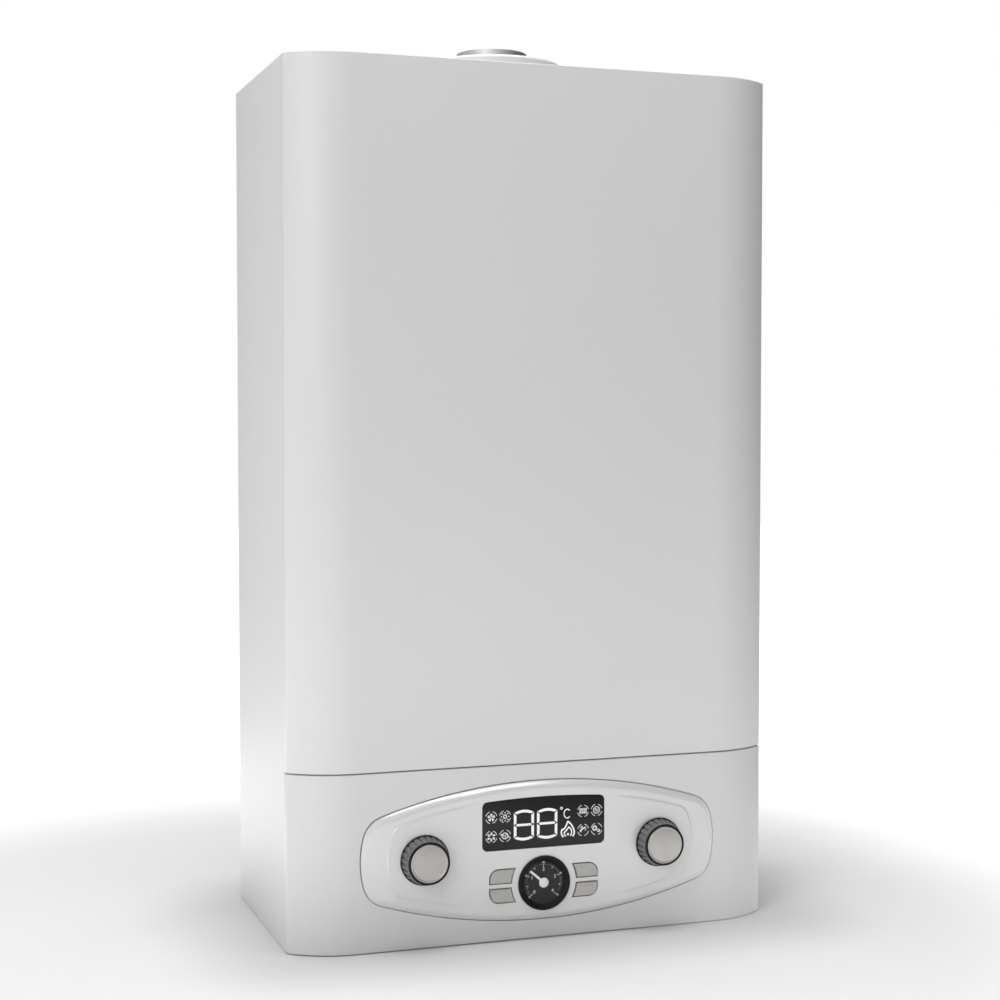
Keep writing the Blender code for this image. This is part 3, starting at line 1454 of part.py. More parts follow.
def make_pump():
    """Pump housing with its air vent, and the motor screwed to its front."""
    housing = make_block("pump_housing", HEATING_RETURN_X)
    volute_front = BLOCK_FRONT - PUMP_NECK
    volute = rod(
        "pump_volute",
        PUMP_RADIUS,
        "Y",
        (HEATING_RETURN_X, PUMP_CENTRE_HEIGHT),
        volute_front,
        BLOCK_FRONT + BLOCK_ROUNDING,
    )
    vent_profile = [
        (0, BLOCK_TOP - BLOCK_ROUNDING),
        (VENT_RADIUS, BLOCK_TOP - BLOCK_ROUNDING),
        (VENT_RADIUS, BLOCK_TOP + VENT_BODY_HEIGHT),
        (VENT_CAP_RADIUS, BLOCK_TOP + VENT_CAP_START),
        (VENT_CAP_RADIUS, BLOCK_TOP + VENT_HEIGHT),
        (0, BLOCK_TOP + VENT_HEIGHT),
    ]
    vent_place = (HEATING_RETURN_X + PUMP_PORT_OFFSET, PIPE_Y, 0)
    vent = turned("pump_vent", vent_profile, "Z", vent_place, SMALL_ROUND_STEPS)
    dress(join(housing, volute, vent), BRASS)
    neck = volute_front - CLEARANCE
    back = neck - PUMP_MOTOR_FOOT
    front = LID_BACK + PUMP_MOTOR_TO_LID
    profile = [
        (0, neck),
        (PUMP_NECK, neck),
        (PUMP_NECK, back),
        (PUMP_MOTOR_RADIUS, back),
        (PUMP_MOTOR_RADIUS, front + PUMP_MOTOR_EDGE),
        (PUMP_MOTOR_RADIUS - PUMP_MOTOR_EDGE, front),
        (0, front),
    ]
    centre = (HEATING_RETURN_X, PUMP_CENTRE_HEIGHT, 0)
    dress(turned("pump_motor", profile, "Y", centre), GREY_PLASTIC)


def make_diverter():
    """Diverter valve block and its motor."""
    dress(make_block("diverter_valve", FLOW_X), BRASS)
    back = BLOCK_FRONT - CLEARANCE
    half = DIVERTER_MOTOR_WIDTH / 2
    rise = DIVERTER_MOTOR_HEIGHT / 2
    motor = rounded_box(
        "diverter_motor",
        (FLOW_X - half, LID_BACK + DIVERTER_MOTOR_TO_LID, SIDE_PORT_HEIGHT - rise),
        (FLOW_X + half, back, SIDE_PORT_HEIGHT + rise),
        BLOCK_ROUNDING / 2,
    )
    dress(motor, BLACK_PLASTIC)


def make_safety_valve():
    """Relief valve on the outer side of the pump housing."""
    start = HEATING_RETURN_X + BLOCK_WIDTH / 2 + CLEARANCE
    profile = [
        (0, start),
        (SAFETY_RADIUS, start),
        (SAFETY_RADIUS, start + SAFETY_BODY_LENGTH),
        (SAFETY_KNOB_RADIUS, start + SAFETY_KNOB_START),
        (SAFETY_KNOB_RADIUS, start + SAFETY_LENGTH),
        (0, start + SAFETY_LENGTH),
    ]
    dress(turned("safety_valve", profile, "X", (PIPE_Y, SAFETY_HEIGHT, 0), SMALL_ROUND_STEPS), BRASS)


def make_plate_heat_exchanger():
    """Brazed stack of pressed plates behind the two blocks."""
    start = BLOCK_BACK + CLEARANCE
    length = (PLATE_COUNT - 1) * PLATE_PITCH + PLATE_THICKNESS
    core_inset = PLATE_THICKNESS
    core = box(
        "plate_heat_exchanger",
        (-PLATE_STACK_WIDTH / 2 + core_inset, start + PLATE_THICKNESS / 2, PLATE_STACK_BOTTOM + core_inset),
        (
            PLATE_STACK_WIDTH / 2 - core_inset,
            start + length - PLATE_THICKNESS / 2,
            PLATE_STACK_BOTTOM + PLATE_STACK_HEIGHT - core_inset,
        ),
    )
    plates = [
        box(
            "plate",
            (-PLATE_STACK_WIDTH / 2, start + number * PLATE_PITCH, PLATE_STACK_BOTTOM),
            (
                PLATE_STACK_WIDTH / 2,
                start + number * PLATE_PITCH + PLATE_THICKNESS,
                PLATE_STACK_BOTTOM + PLATE_STACK_HEIGHT,
            ),
        )
        for number in range(PLATE_COUNT)
    ]
    dress(join(core, bundle("plate_heat_exchanger_plates", plates)), STAINLESS)


def make_gas_valve():
    """Cast gas valve with its two coils in front."""
    centre_y = PIPE_Y - VALVE_OUTLET_FORWARD / 2
    front = centre_y - VALVE_DEPTH / 2
    valve = rounded_box(
        "gas_valve",
        (-VALVE_WIDTH / 2, front, VALVE_BOTTOM),
        (VALVE_WIDTH / 2, centre_y + VALVE_DEPTH / 2, VALVE_TOP),
        VALVE_ROUNDING,
    )
    coils = [
        rod(
            "coil",
            SOLENOID_RADIUS,
            "Y",
            (side * SOLENOID_SPACING / 2, (VALVE_BOTTOM + VALVE_TOP) / 2),
            front - SOLENOID_LENGTH,
            front + VALVE_ROUNDING,
            SMALL_ROUND_STEPS,
        )
        for side in (-1, 1)
    ]
    dress(join(valve, bundle("gas_valve_coils", coils)), ALUMINIUM)


def make_filling_tap():
    """Tap that fills the heating circuit, with its handle under the bottom plate."""
    base = PLATE_TOP + CLEARANCE
    stem_end = BOTTOM_PLATE_HEIGHT - TAP_STEM_DROP
    profile = [
        (0, stem_end),
        (TAP_STEM_RADIUS, stem_end),
        (TAP_STEM_RADIUS, base),
        (TAP_FLANGE, base),
        (TAP_FLANGE, base + TAP_STEM_RADIUS),
        (TAP_RADIUS, base + TAP_STEM_RADIUS),
        (TAP_RADIUS, base + TAP_HEIGHT),
        (0, base + TAP_HEIGHT),
    ]
    dress(turned("filling_tap", profile, "Z", (TAP_X, TAP_Y, 0), SMALL_ROUND_STEPS), BRASS)
    outline = []
    points = 3 * TAP_KNOB_LOBES
    for step in range(points):
        angle = 2 * math.pi * step / points
        radius = TAP_KNOB_RADIUS - TAP_KNOB_WAVE * (1 - math.cos(TAP_KNOB_LOBES * angle))
        outline.append((TAP_X + radius * math.cos(angle), TAP_Y + radius * math.sin(angle)))
    top = TAP_KNOB_BOTTOM + TAP_KNOB_HEIGHT
    knob = prism("filling_tap_knob", outline, "Z", TAP_KNOB_BOTTOM, top)
    socket = rod(
        "filling_tap_knob_socket",
        TAP_STEM_RADIUS + CLEARANCE,
        "Z",
        (TAP_X, TAP_Y),
        stem_end - CLEARANCE,
        top + CLEARANCE,
        SMALL_ROUND_STEPS,
    )
    dress(cut(knob, socket), BLACK_PLASTIC)
    set_axis(knob, (TAP_X, TAP_Y, TAP_KNOB_BOTTOM))


def make_cable_gland():
    """Gland for the mains cable, clamped in the bottom plate."""
    base = PLATE_TOP + CLEARANCE
    bottom = base - GLAND_LENGTH / 2
    profile = [
        (GLAND_BORE, bottom),
        (GLAND_NECK_RADIUS, bottom),
        (GLAND_RADIUS, bottom + GLAND_EDGE),
        (GLAND_RADIUS, base),
        (GLAND_FLANGE_RADIUS, base),
        (GLAND_FLANGE_RADIUS, base + GLAND_FLANGE_HEIGHT),
        (GLAND_NECK_RADIUS, base + GLAND_FLANGE_HEIGHT),
        (GLAND_NECK_RADIUS, base + GLAND_LENGTH / 2),
        (GLAND_BORE, base + GLAND_LENGTH / 2),
    ]
    centre = (GLAND_X, GLAND_Y, 0)
    dress(turned("cable_gland", profile, "Z", centre, SMALL_ROUND_STEPS), BLACK_PLASTIC)


# Control panel


def bezel_outline(half_length, half_height, long_radius, end_radius, corner, inset=0.0):
    """Barrel outline: long arcs above and below, arcs at the ends, rounded corners."""
    top_centre = Vector((0, half_height - long_radius))
    end_centre = Vector((half_length - end_radius, 0))
    to_end = end_centre - top_centre
    distance = to_end.length
    reach_top = long_radius - corner
    reach_end = end_radius - corner
    along = (reach_top**2 - reach_end**2 + distance**2) / (2 * distance)
    aside = math.sqrt(reach_top**2 - along**2)
    unit = to_end / distance
    corner_centre = top_centre + unit * along + Vector((unit.y, -unit.x)) * aside
    lean = math.atan2(corner_centre.x, corner_centre.y - top_centre.y)
    tilt = math.atan2(corner_centre.y, corner_centre.x - end_centre.x)
    arcs = [
        (top_centre, long_radius, math.pi / 2, math.pi / 2 - lean, LONG_STEPS),
        (corner_centre, corner, math.pi / 2 - lean, tilt, BEND_STEPS),
        (end_centre, end_radius, tilt, 0, END_STEPS),
    ]
    quarter = []
    for centre, radius, start, stop, steps in arcs:
        reach = radius - inset
        for step in range(steps):
            angle = start + (stop - start) * step / steps
            quarter.append((centre.x + reach * math.cos(angle), centre.y + reach * math.sin(angle)))
    quarter.append((half_length - inset, 0))
    right = quarter + [(x, -z) for x, z in reversed(quarter[:-1])]
    left = [(-x, z) for x, z in reversed(right[1:-1])]
    return [(x, z + BEZEL_CENTRE_HEIGHT) for x, z in right + left]


def outer_outline(inset=0.0):
    """Outline of the bezel itself."""
    size = (BEZEL_HALF_LENGTH, BEZEL_HALF_HEIGHT)
    radii = (BEZEL_LONG_RADIUS, BEZEL_END_RADIUS, BEZEL_CORNER)
    return bezel_outline(*size, *radii, inset)


def plateau_outline(inset=0.0):
    """Outline of the raised middle of the bezel."""
    size = (PLATEAU_HALF_LENGTH, PLATEAU_HALF_HEIGHT)
    radii = (PLATEAU_LONG_RADIUS, PLATEAU_END_RADIUS, PLATEAU_CORNER)
    return bezel_outline(*size, *radii, inset)


def border_depth(x):
    """How far the border lies behind the raised middle: nothing in mid length."""
    share = min(max((abs(x) - FADE_START) / (FADE_END - FADE_START), 0), 1)
    return BEZEL_STEP * share * share * (3 - 2 * share)


def button_outline(side, level, inset=0.0):
    """A button beside the gauge: hollow edge to the gauge, big corner away from it."""
    near = BUTTON_NEAR + inset
    far = BUTTON_FAR - inset
    hollow = BUTTON_GAUGE_RADIUS + inset
    outer = BUTTON_OUTER_X - inset
    corner = BUTTON_BIG_CORNER - inset
    points = [(math.sqrt(hollow**2 - near**2), near), (outer, near)]
    for step in range(BUTTON_CORNER_STEPS + 1):
        angle = math.pi / 2 * step / BUTTON_CORNER_STEPS
        across = outer - corner + corner * math.cos(angle)
        points.append((across, far - corner + corner * math.sin(angle)))
    for step in range(BUTTON_HOLLOW_STEPS):
        height = far + (near - far) * step / BUTTON_HOLLOW_STEPS
        points.append((math.sqrt(hollow**2 - height**2), height))
    return [(side * x, GAUGE_HEIGHT + level * z) for x, z in points]


def window_outline(inset=0.0):
    """Display window: level bottom, arched top, rounded corners."""
    half = WINDOW_WIDTH / 2 - inset
    bottom = WINDOW_BOTTOM + inset
    top = WINDOW_SIDE_TOP - inset
    corner = WINDOW_CORNER - inset
    flat = half - corner
    right = []
    for height, start in ((bottom + corner, -math.pi / 2), (top - corner, 0)):
        for step in range(WINDOW_CORNER_STEPS + 1):
            angle = start + math.pi / 2 * step / WINDOW_CORNER_STEPS
            right.append((flat + corner * math.cos(angle), height + corner * math.sin(angle)))
    for step in range(1, WINDOW_ARCH_STEPS):
        x = flat * (1 - step / WINDOW_ARCH_STEPS)
        right.append((x, top + WINDOW_ARCH * (1 - (x / flat) ** 2)))
    middle = [(0, top + WINDOW_ARCH)]
    return right + middle + [(-x, z) for x, z in reversed(right)]


def button_places():
    """Name, side and level of the four buttons."""
    return [
        ("upper_left_button", -1, 1),
        ("upper_right_button", 1, 1),
        ("lower_left_button", -1, -1),
        ("lower_right_button", 1, -1),
    ]


def button_centre(side, level):
    """Middle of a button, where its stem is."""
    x = (BUTTON_OUTER_X + BUTTON_GAUGE_RADIUS) / 2
    return (side * x, GAUGE_HEIGHT + level * (BUTTON_NEAR + BUTTON_FAR) / 2)


def make_lower_fascia():
    """Plastic fascia under the cover, with the opening that the bezel fills."""
    fascia = wrapped_shell("lower_fascia", TOE_GAP, SEAM_HEIGHT - SEAM_GAP / 2, FASCIA_WALL)
    opening = prism(
        "lower_fascia_opening",
        outer_outline(BEZEL_RIM),
        "Y",
        FRONT - FASCIA_WALL,
        FASCIA_INSIDE + FASCIA_WALL,
    )
    dress(cut(fascia, opening), WHITE_PLASTIC)


def make_control_bezel():
    """Raised plastic bezel round the display, gauge, buttons and knobs."""
    loops = [[(x, BEZEL_BACK, z) for x, z in outer_outline()]]
    for step in range(FILLET_STEPS + 1):
        angle = math.pi / 2 * step / FILLET_STEPS
        inset = BEZEL_EDGE * (1 - math.cos(angle))
        drop = BEZEL_EDGE * (1 - math.sin(angle))
        border = outer_outline(inset)
        loops.append([(x, BEZEL_FACE + border_depth(x) + drop, z) for x, z in border])
    foot = plateau_outline(-PLATEAU_SLOPE)
    loops.append([(x, BEZEL_FACE + border_depth(x), z) for x, z in foot])
    loops.append([(x, BEZEL_FACE, z) for x, z in plateau_outline()])
    bezel = loft("control_bezel", loops)
    pocket = prism("bezel_pocket", outer_outline(BEZEL_RIM), "Y", BEZEL_INSIDE, BEZEL_BACK + BEZEL_WALL)
    ahead = BEZEL_FACE - BEZEL_WALL
    recess_floor = BEZEL_FACE + WINDOW_THICKNESS + CLEARANCE
    recess = prism("bezel_window_recess", window_outline(-CLEARANCE), "Y", ahead, recess_floor)
    openings = [
        prism("opening", window_outline(WINDOW_LEDGE), "Y", ahead, FRONT),
        rod("opening", GAUGE_BODY_RADIUS + CLEARANCE, "Y", (0, GAUGE_HEIGHT), ahead, FRONT),
    ]
    stem_hole = KNOB_STEM_RADIUS + HOLE_CLEARANCE
    for side in (-1, 1):
        place = (side * KNOB_X, KNOB_HEIGHT)
        openings.append(rod("opening", stem_hole, "Y", place, ahead, FRONT, SMALL_ROUND_STEPS))
    for _, side, level in button_places():
        openings.append(prism("opening", button_outline(side, level, -BUTTON_GAP), "Y", ahead, FRONT))
    cut(bezel, pocket, recess, bundle("bezel_openings", openings))
    dress(bezel, WHITE_PLASTIC, FINE_SMOOTH_ANGLE)


def make_display_window():
    """Dark lens over the display, flush with the bezel."""
    lens = prism("display_window", window_outline(), "Y", BEZEL_FACE, BEZEL_FACE + WINDOW_THICKNESS)
    dress(lens, SMOKED_PLASTIC)


def make_gauge():
    """Pressure gauge: case, dial, lens and needle."""
    body_back = GAUGE_FRONT + GAUGE_BODY_LENGTH
    flange_back = BEZEL_FACE - CLEARANCE
    bore = GAUGE_BODY_RADIUS - GAUGE_BODY_WALL
    seat = DIAL_FACE + DIAL_THICKNESS + CLEARANCE
    pin_bore = NEEDLE_PIN_RADIUS + CLEARANCE
    pin_end = seat + 2 * NEEDLE_HUB_THICKNESS
    profile = [
        (0, pin_end + CLEARANCE),
        (pin_bore, pin_end + CLEARANCE),
        (pin_bore, seat),
        (bore, seat),
        (bore, GAUGE_FRONT + GAUGE_LENS_INSET / 2),
        (bore + GAUGE_LENS_INSET, GAUGE_FRONT),
        (GAUGE_RADIUS - GAUGE_LENS_INSET, GAUGE_FRONT),
        (GAUGE_RADIUS, GAUGE_FRONT + GAUGE_LENS_INSET),
        (GAUGE_RADIUS, flange_back),
        (GAUGE_BODY_RADIUS, flange_back),
        (GAUGE_BODY_RADIUS, body_back),
        (0, body_back),
    ]
    dress(turned("gauge_case", profile, "Y", (0, GAUGE_HEIGHT, 0)), BLACK_PLASTIC)
    disc = bore - CLEARANCE
    dial = ring("gauge_dial", disc, pin_bore, "Y", (0, GAUGE_HEIGHT), DIAL_FACE, DIAL_FACE + DIAL_THICKNESS)
    dress(dial, DIAL_BLACK)
    lens_front = GAUGE_FRONT + GAUGE_LENS_INSET
    lens = rod("gauge_lens", disc, "Y", (0, GAUGE_HEIGHT), lens_front, LENS_BACK)
    dress(lens, GLASS_CLEAR)
    hub_back = DIAL_FACE - NEEDLE_HUB_THICKNESS / 2
    hub_front = hub_back - NEEDLE_HUB_THICKNESS
    hub_profile = [
        (0, hub_front),
        (NEEDLE_HUB_RADIUS, hub_front),
        (NEEDLE_HUB_RADIUS, hub_back),
        (NEEDLE_PIN_RADIUS, hub_back),
        (NEEDLE_PIN_RADIUS, pin_end),
        (0, pin_end),
    ]
    needle = turned("gauge_needle", hub_profile, "Y", (0, GAUGE_HEIGHT, 0), SMALL_ROUND_STEPS)
    pointing = Vector((-math.sin(NEEDLE_ANGLE), math.cos(NEEDLE_ANGLE)))
    across = Vector((pointing.y, -pointing.x))
    root = NEEDLE_WIDTH / 2
    tip = NEEDLE_TIP_WIDTH / 2
    outline = [
        across * root,
        pointing * NEEDLE_LENGTH + across * tip,
        pointing * NEEDLE_LENGTH - across * tip,
        across * -root,
    ]
    blade_front = (hub_front + hub_back - NEEDLE_THICKNESS) / 2
    blade = prism(
        "gauge_needle_blade",
        [(point.x, GAUGE_HEIGHT + point.y) for point in outline],
        "Y",
        blade_front,
        blade_front + NEEDLE_THICKNESS,
    )
    dress(join(needle, blade), NEEDLE_WHITE)
    set_axis(needle, (0, hub_front, GAUGE_HEIGHT))


def make_buttons():
    """Four push buttons, each with a collar behind the bezel and a stem to its switch."""
    collar_front = BEZEL_INSIDE + CLEARANCE
    face = BEZEL_FACE - BUTTON_PROUD
    for name, side, level in button_places():
        loops = [
            [(x, collar_front + BUTTON_FLANGE / 2, z) for x, z in button_outline(side, level)],
            [(x, face + BUTTON_EDGE, z) for x, z in button_outline(side, level)],
            [(x, face, z) for x, z in button_outline(side, level, BUTTON_EDGE)],
        ]
        button = loft(name, loops)
        collar = prism(
            name + "_collar",
            button_outline(side, level, -BUTTON_FLANGE),
            "Y",
            collar_front,
            collar_front + BUTTON_FLANGE,
        )
        stem = rod(
            name + "_stem",
            BUTTON_STEM_RADIUS,
            "Y",
            button_centre(side, level),
            collar_front + BUTTON_FLANGE / 2,
            BOARD_FRONT - BUTTON_STEM_END,
            ROD_STEPS,
        )
        dress(join(button, collar, stem), BUTTON_GREY)
        centre_x, centre_z = button_centre(side, level)
        set_axis(button, (centre_x, face, centre_z))


def knob_ring(centre_x, radius, y, rib_depth=0.0):
    """A ring of points, drawn in between the ribs."""
    points = []
    count = 2 * KNOB_RIBS
    for step in range(count):
        angle = 2 * math.pi * step / count
        reach = radius - rib_depth * (step % 2)
        points.append((centre_x + reach * math.cos(angle), y, KNOB_HEIGHT + reach * math.sin(angle)))
    return points


def make_knob(name, side):
    """Ribbed knob on a base ring, hollow behind, with a stem into its potentiometer."""
    x = side * KNOB_X
    base = BEZEL_FACE - KNOB_FACE_GAP
    ring_front = base - KNOB_BASE_RING
    rim_back = KNOB_FACE + KNOB_BASE_RING
    skirt = KNOB_BASE_RADIUS - KNOB_RIB_DEPTH / 2
    front_edge = KNOB_FACE + KNOB_CAP_CROWN
    loops = [
        knob_ring(x, KNOB_BASE_RADIUS, base),
        knob_ring(x, KNOB_BASE_RADIUS, ring_front),
        knob_ring(x, skirt, ring_front, KNOB_RIB_DEPTH),
        knob_ring(x, KNOB_FRONT_RADIUS, rim_back, KNOB_RIB_DEPTH),
        knob_ring(x, KNOB_FRONT_RADIUS, rim_back),
        knob_ring(x, KNOB_FRONT_RADIUS - KNOB_CAP_CROWN, front_edge),
    ]
    knob = loft(name, loops)
    recess_radius = KNOB_CAP_RADIUS + CLEARANCE
    recess_floor = front_edge + KNOB_CAP_THICKNESS + CLEARANCE
    recess = rod(name + "_recess", recess_radius, "Y", (x, KNOB_HEIGHT), KNOB_FACE - KNOB_WALL, recess_floor)
    hollow = ring(
        name + "_hollow",
        KNOB_FRONT_RADIUS - KNOB_WALL / 2,
        2 * KNOB_STEM_RADIUS,
        "Y",
        (x, KNOB_HEIGHT),
        recess_floor + KNOB_WALL,
        base + KNOB_WALL,
        SMALL_ROUND_STEPS,
    )
    stem_end = BOARD_FRONT - POT_FLOOR
    stem = rod(
        name + "_stem",
        KNOB_STEM_RADIUS,
        "Y",
        (x, KNOB_HEIGHT),
        base - KNOB_BASE_RING,
        stem_end,
        SMALL_ROUND_STEPS,
    )
    cut(knob, recess, hollow)
    dress(join(knob, stem), GREY_PLASTIC, FINE_SMOOTH_ANGLE)
    set_axis(knob, (x, base, KNOB_HEIGHT))
    cap_profile = [
        (0, KNOB_FACE),
        (KNOB_CAP_FLAT, KNOB_FACE + KNOB_CAP_CROWN / 3),
        (KNOB_CAP_RADIUS, front_edge),
        (KNOB_CAP_RADIUS, front_edge + KNOB_CAP_THICKNESS),
        (0, front_edge + KNOB_CAP_THICKNESS),
    ]
    cap = turned(name + "_cap", cap_profile, "Y", (x, KNOB_HEIGHT, 0))
    dress(cap, SATIN_SILVER)
    set_axis(cap, (x, base, KNOB_HEIGHT))


def make_control_box():
    """Plastic box behind the fascia and its rear lid."""
    half = BOX_WIDTH / 2
    case = box("control_box", (-half, BOX_FRONT, BOX_BOTTOM), (half, BOX_BACK, BOX_TOP))
    ledge_front = BOARD_FRONT + BOARD_THICKNESS + CLEARANCE
    front_room = box(
        "control_box_front_room",
        (-half + BOX_WALL, BOX_FRONT - BOX_WALL, BOX_BOTTOM + BOX_WALL),
        (half - BOX_WALL, ledge_front, BOX_TOP - BOX_WALL),
    )
    inset = BOX_WALL + BOARD_LEDGE
    rear_room = box(
        "control_box_rear_room",
        (-half + inset, ledge_front - BOX_WALL, BOX_BOTTOM + inset),
        (half - inset, BOX_BACK + BOX_WALL, BOX_TOP - inset),
    )
    dress(cut(case, front_room, rear_room), GREY_PLASTIC)
    lid = box(
        "control_box_lid",
        (-half, BOX_BACK + CLEARANCE, BOX_BOTTOM),
        (half, LID_BACK, BOX_TOP),
    )
    dress(lid, GREY_PLASTIC)


def make_circuit_board():
    """Board with the display, the two potentiometers, four switches and a transformer."""
    margin = BOX_WALL + CLEARANCE
    half = BOX_WIDTH / 2 - margin
    back = BOARD_FRONT + BOARD_THICKNESS
    board = box(
        "circuit_board",
        (-half, BOARD_FRONT, BOX_BOTTOM + margin),
        (half, back, BOX_TOP - margin),
    )
    inside = BOARD_FRONT + BOARD_THICKNESS / 2
    window_inset = WINDOW_LEDGE + DISPLAY_MARGIN
    display = box(
        "board_display",
        (-WINDOW_WIDTH / 2 + window_inset, BEZEL_INSIDE + CLEARANCE, WINDOW_BOTTOM + window_inset),
        (WINDOW_WIDTH / 2 - window_inset, inside, WINDOW_SIDE_TOP - window_inset),
    )
    pot_front = BOARD_FRONT - POT_HEIGHT
    pots = [
        rod("pot", POT_RADIUS, "Y", (side * KNOB_X, KNOB_HEIGHT), pot_front, inside, SMALL_ROUND_STEPS)
        for side in (-1, 1)
    ]
    switch_front = BOARD_FRONT - BUTTON_STEM_END + BUTTON_TRAVEL + CLEARANCE
    reach = SWITCH_SIZE / 2
    switches = []
    for _, side, level in button_places():
        x, z = button_centre(side, level)
        low = (x - reach, switch_front, z - reach)
        switches.append(box("switch", low, (x + reach, inside, z + reach)))
    reach = TRANSFORMER_SIZE / 2
    transformer = box(
        "board_transformer",
        (-KNOB_X - reach, inside, BOX_BOTTOM + TRANSFORMER_SIZE),
        (-KNOB_X + reach, back + TRANSFORMER_DEPTH, BOX_BOTTOM + 2 * TRANSFORMER_SIZE),
    )
    gauge_hole = rod(
        "board_gauge_hole",
        GAUGE_BODY_RADIUS + BOARD_THICKNESS,
        "Y",
        (0, GAUGE_HEIGHT),
        BOARD_FRONT - BOARD_THICKNESS,
        back + BOARD_THICKNESS,
    )
    sockets = [
        rod(
            "socket",
            KNOB_STEM_RADIUS + CLEARANCE,
            "Y",
            (side * KNOB_X, KNOB_HEIGHT),
            BOARD_FRONT - 2 * POT_HEIGHT,
            BOARD_FRONT - POT_FLOOR + CLEARANCE,
            SMALL_ROUND_STEPS,
        )
        for side in (-1, 1)
    ]
    join(board, display, bundle("board_pots", pots), bundle("board_switches", switches), transformer)
    cut(board, gauge_hole, bundle("board_sockets", sockets))
    dress(board, BOARD_GREEN)


make_front_cover()
make_side_panel("left_side_panel", -1)
make_side_panel("right_side_panel", 1)
make_top_panel()
make_back_panel()
make_bottom_plate()
make_flue_outlet()
make_sealed_chamber()
make_chamber_cover()
make_expansion_vessel()
make_burner()
make_combustion_chamber()
make_electrode("ignition_electrode", -1)
make_electrode("flame_sensor", 1)
make_gas_manifold()
make_heat_exchanger()
make_flue_hood()
make_fan_housing()
make_fan_impeller()
make_fan_motor()
make_air_pressure_switch()
make_connections()
make_primary_pipes()
make_pump()
make_diverter()
make_safety_valve()
make_plate_heat_exchanger()
make_gas_valve()
make_filling_tap()
make_cable_gland()
make_lower_fascia()
make_control_bezel()
make_display_window()
make_gauge()
make_buttons()
make_knob("left_knob", -1)
make_knob("right_knob", 1)
make_control_box()
make_circuit_board()
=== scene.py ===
import math

import bmesh
import bpy
from mathutils import Matrix, Vector


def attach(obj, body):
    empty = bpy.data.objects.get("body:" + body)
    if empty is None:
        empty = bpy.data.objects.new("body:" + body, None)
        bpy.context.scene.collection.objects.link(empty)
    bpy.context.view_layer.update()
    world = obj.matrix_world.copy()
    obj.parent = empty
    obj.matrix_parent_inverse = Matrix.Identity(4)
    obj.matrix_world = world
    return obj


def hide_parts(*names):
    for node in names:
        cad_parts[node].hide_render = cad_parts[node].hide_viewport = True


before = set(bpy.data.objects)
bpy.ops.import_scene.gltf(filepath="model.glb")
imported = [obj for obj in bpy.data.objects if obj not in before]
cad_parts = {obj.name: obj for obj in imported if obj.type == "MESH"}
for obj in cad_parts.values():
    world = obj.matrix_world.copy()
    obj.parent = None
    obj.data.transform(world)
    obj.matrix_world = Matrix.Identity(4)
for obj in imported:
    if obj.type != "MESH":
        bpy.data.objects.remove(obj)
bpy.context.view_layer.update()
scene = bpy.context.scene
scene.view_settings.view_transform = "Standard"


# ------------------------------------------------------------------ Camera and room
# A white floor in a white studio. One wide soft lamp hangs over the boiler and lights
# the floor, and a larger one stands at the front left. The right of the room is dimmer.
# Round the boiler's foot the floor's colour is darkened: a painted contact shadow.
# Further out a glow that only the camera sees whitens the floor; its middle lies left of
# the boiler, so it also lifts the boiler's shadow on the right: painted light.

LENS_LENGTH = 66.75
EYE = (-0.5134, -1.4854, 0.4156)
LOOK_DOWN = 2.374
LOOK_ASIDE = 18.956

lens = bpy.data.cameras.new("camera")
lens.sensor_width = 36
lens.sensor_fit = "HORIZONTAL"
lens.lens = LENS_LENGTH
camera = bpy.data.objects.new("camera", lens)
camera.location = EYE
camera.rotation_euler = (math.radians(90 - LOOK_DOWN), 0, math.radians(-LOOK_ASIDE))
scene.collection.objects.link(camera)
scene.camera = camera

WHITE = (1, 1, 1, 1)
WALL_COLOUR = (0.8, 0.8, 0.8, 1)
WALL_FADE = (-0.9, 0.95)
LEFT_WALL_LIGHT = 0.66
RIGHT_WALL_LIGHT = 0.02
BACKDROP_LIGHT = 1.0


def feed(tree, node, inputs):
    """Sets each input of a shader node, or links it from the output given for it."""
    for socket, value in inputs.items():
        if isinstance(value, bpy.types.NodeSocket):
            tree.links.new(value, node.inputs[socket])
        else:
            node.inputs[socket].default_value = value


def add_node(tree, kind, inputs=None, **settings):
    """Adds a shader node, sets it up and gives its outputs."""
    node = tree.nodes.new("ShaderNode" + kind)
    for name, value in settings.items():
        setattr(node, name, value)
    feed(tree, node, inputs or {})
    return node.outputs


def soft_ramp(tree, value, start, stop, low, high):
    """A soft change from one level to another."""
    levels = {"Value": value, "From Min": start, "From Max": stop, "To Min": low, "To Max": high}
    return add_node(tree, "MapRange", levels, interpolation_type="SMOOTHSTEP")["Result"]


room = bpy.data.worlds.new("studio_room")
room.use_nodes = True
scene.world = room
walls = room.node_tree
walls.nodes.clear()
across_the_room = add_node(walls, "SeparateXYZ", {"Vector": add_node(walls, "TexCoord")["Generated"]})["X"]
wall_strength = soft_ramp(walls, across_the_room, *WALL_FADE, LEFT_WALL_LIGHT, RIGHT_WALL_LIGHT)
wall_light = add_node(walls, "Background", {"Color": WALL_COLOUR, "Strength": wall_strength})
backdrop_light = add_node(walls, "Background", {"Color": WHITE, "Strength": BACKDROP_LIGHT})
seen_by = add_node(walls, "LightPath")["Is Camera Ray"]
lights = {"Fac": seen_by, 1: wall_light["Background"], 2: backdrop_light["Background"]}
add_node(walls, "OutputWorld", {"Surface": add_node(walls, "MixShader", lights)["Shader"]})


def hang_lamp(name, place, aim, width, height, power):
    """A soft rectangular lamp that faces a point."""
    light = bpy.data.lights.new(name, "AREA")
    light.shape = "RECTANGLE"
    light.size = width
    light.size_y = height
    light.energy = power
    lamp = bpy.data.objects.new(name, light)
    lamp.location = place
    lamp.rotation_euler = (Vector(aim) - Vector(place)).to_track_quat("-Z", "Y").to_euler()
    scene.collection.objects.link(lamp)


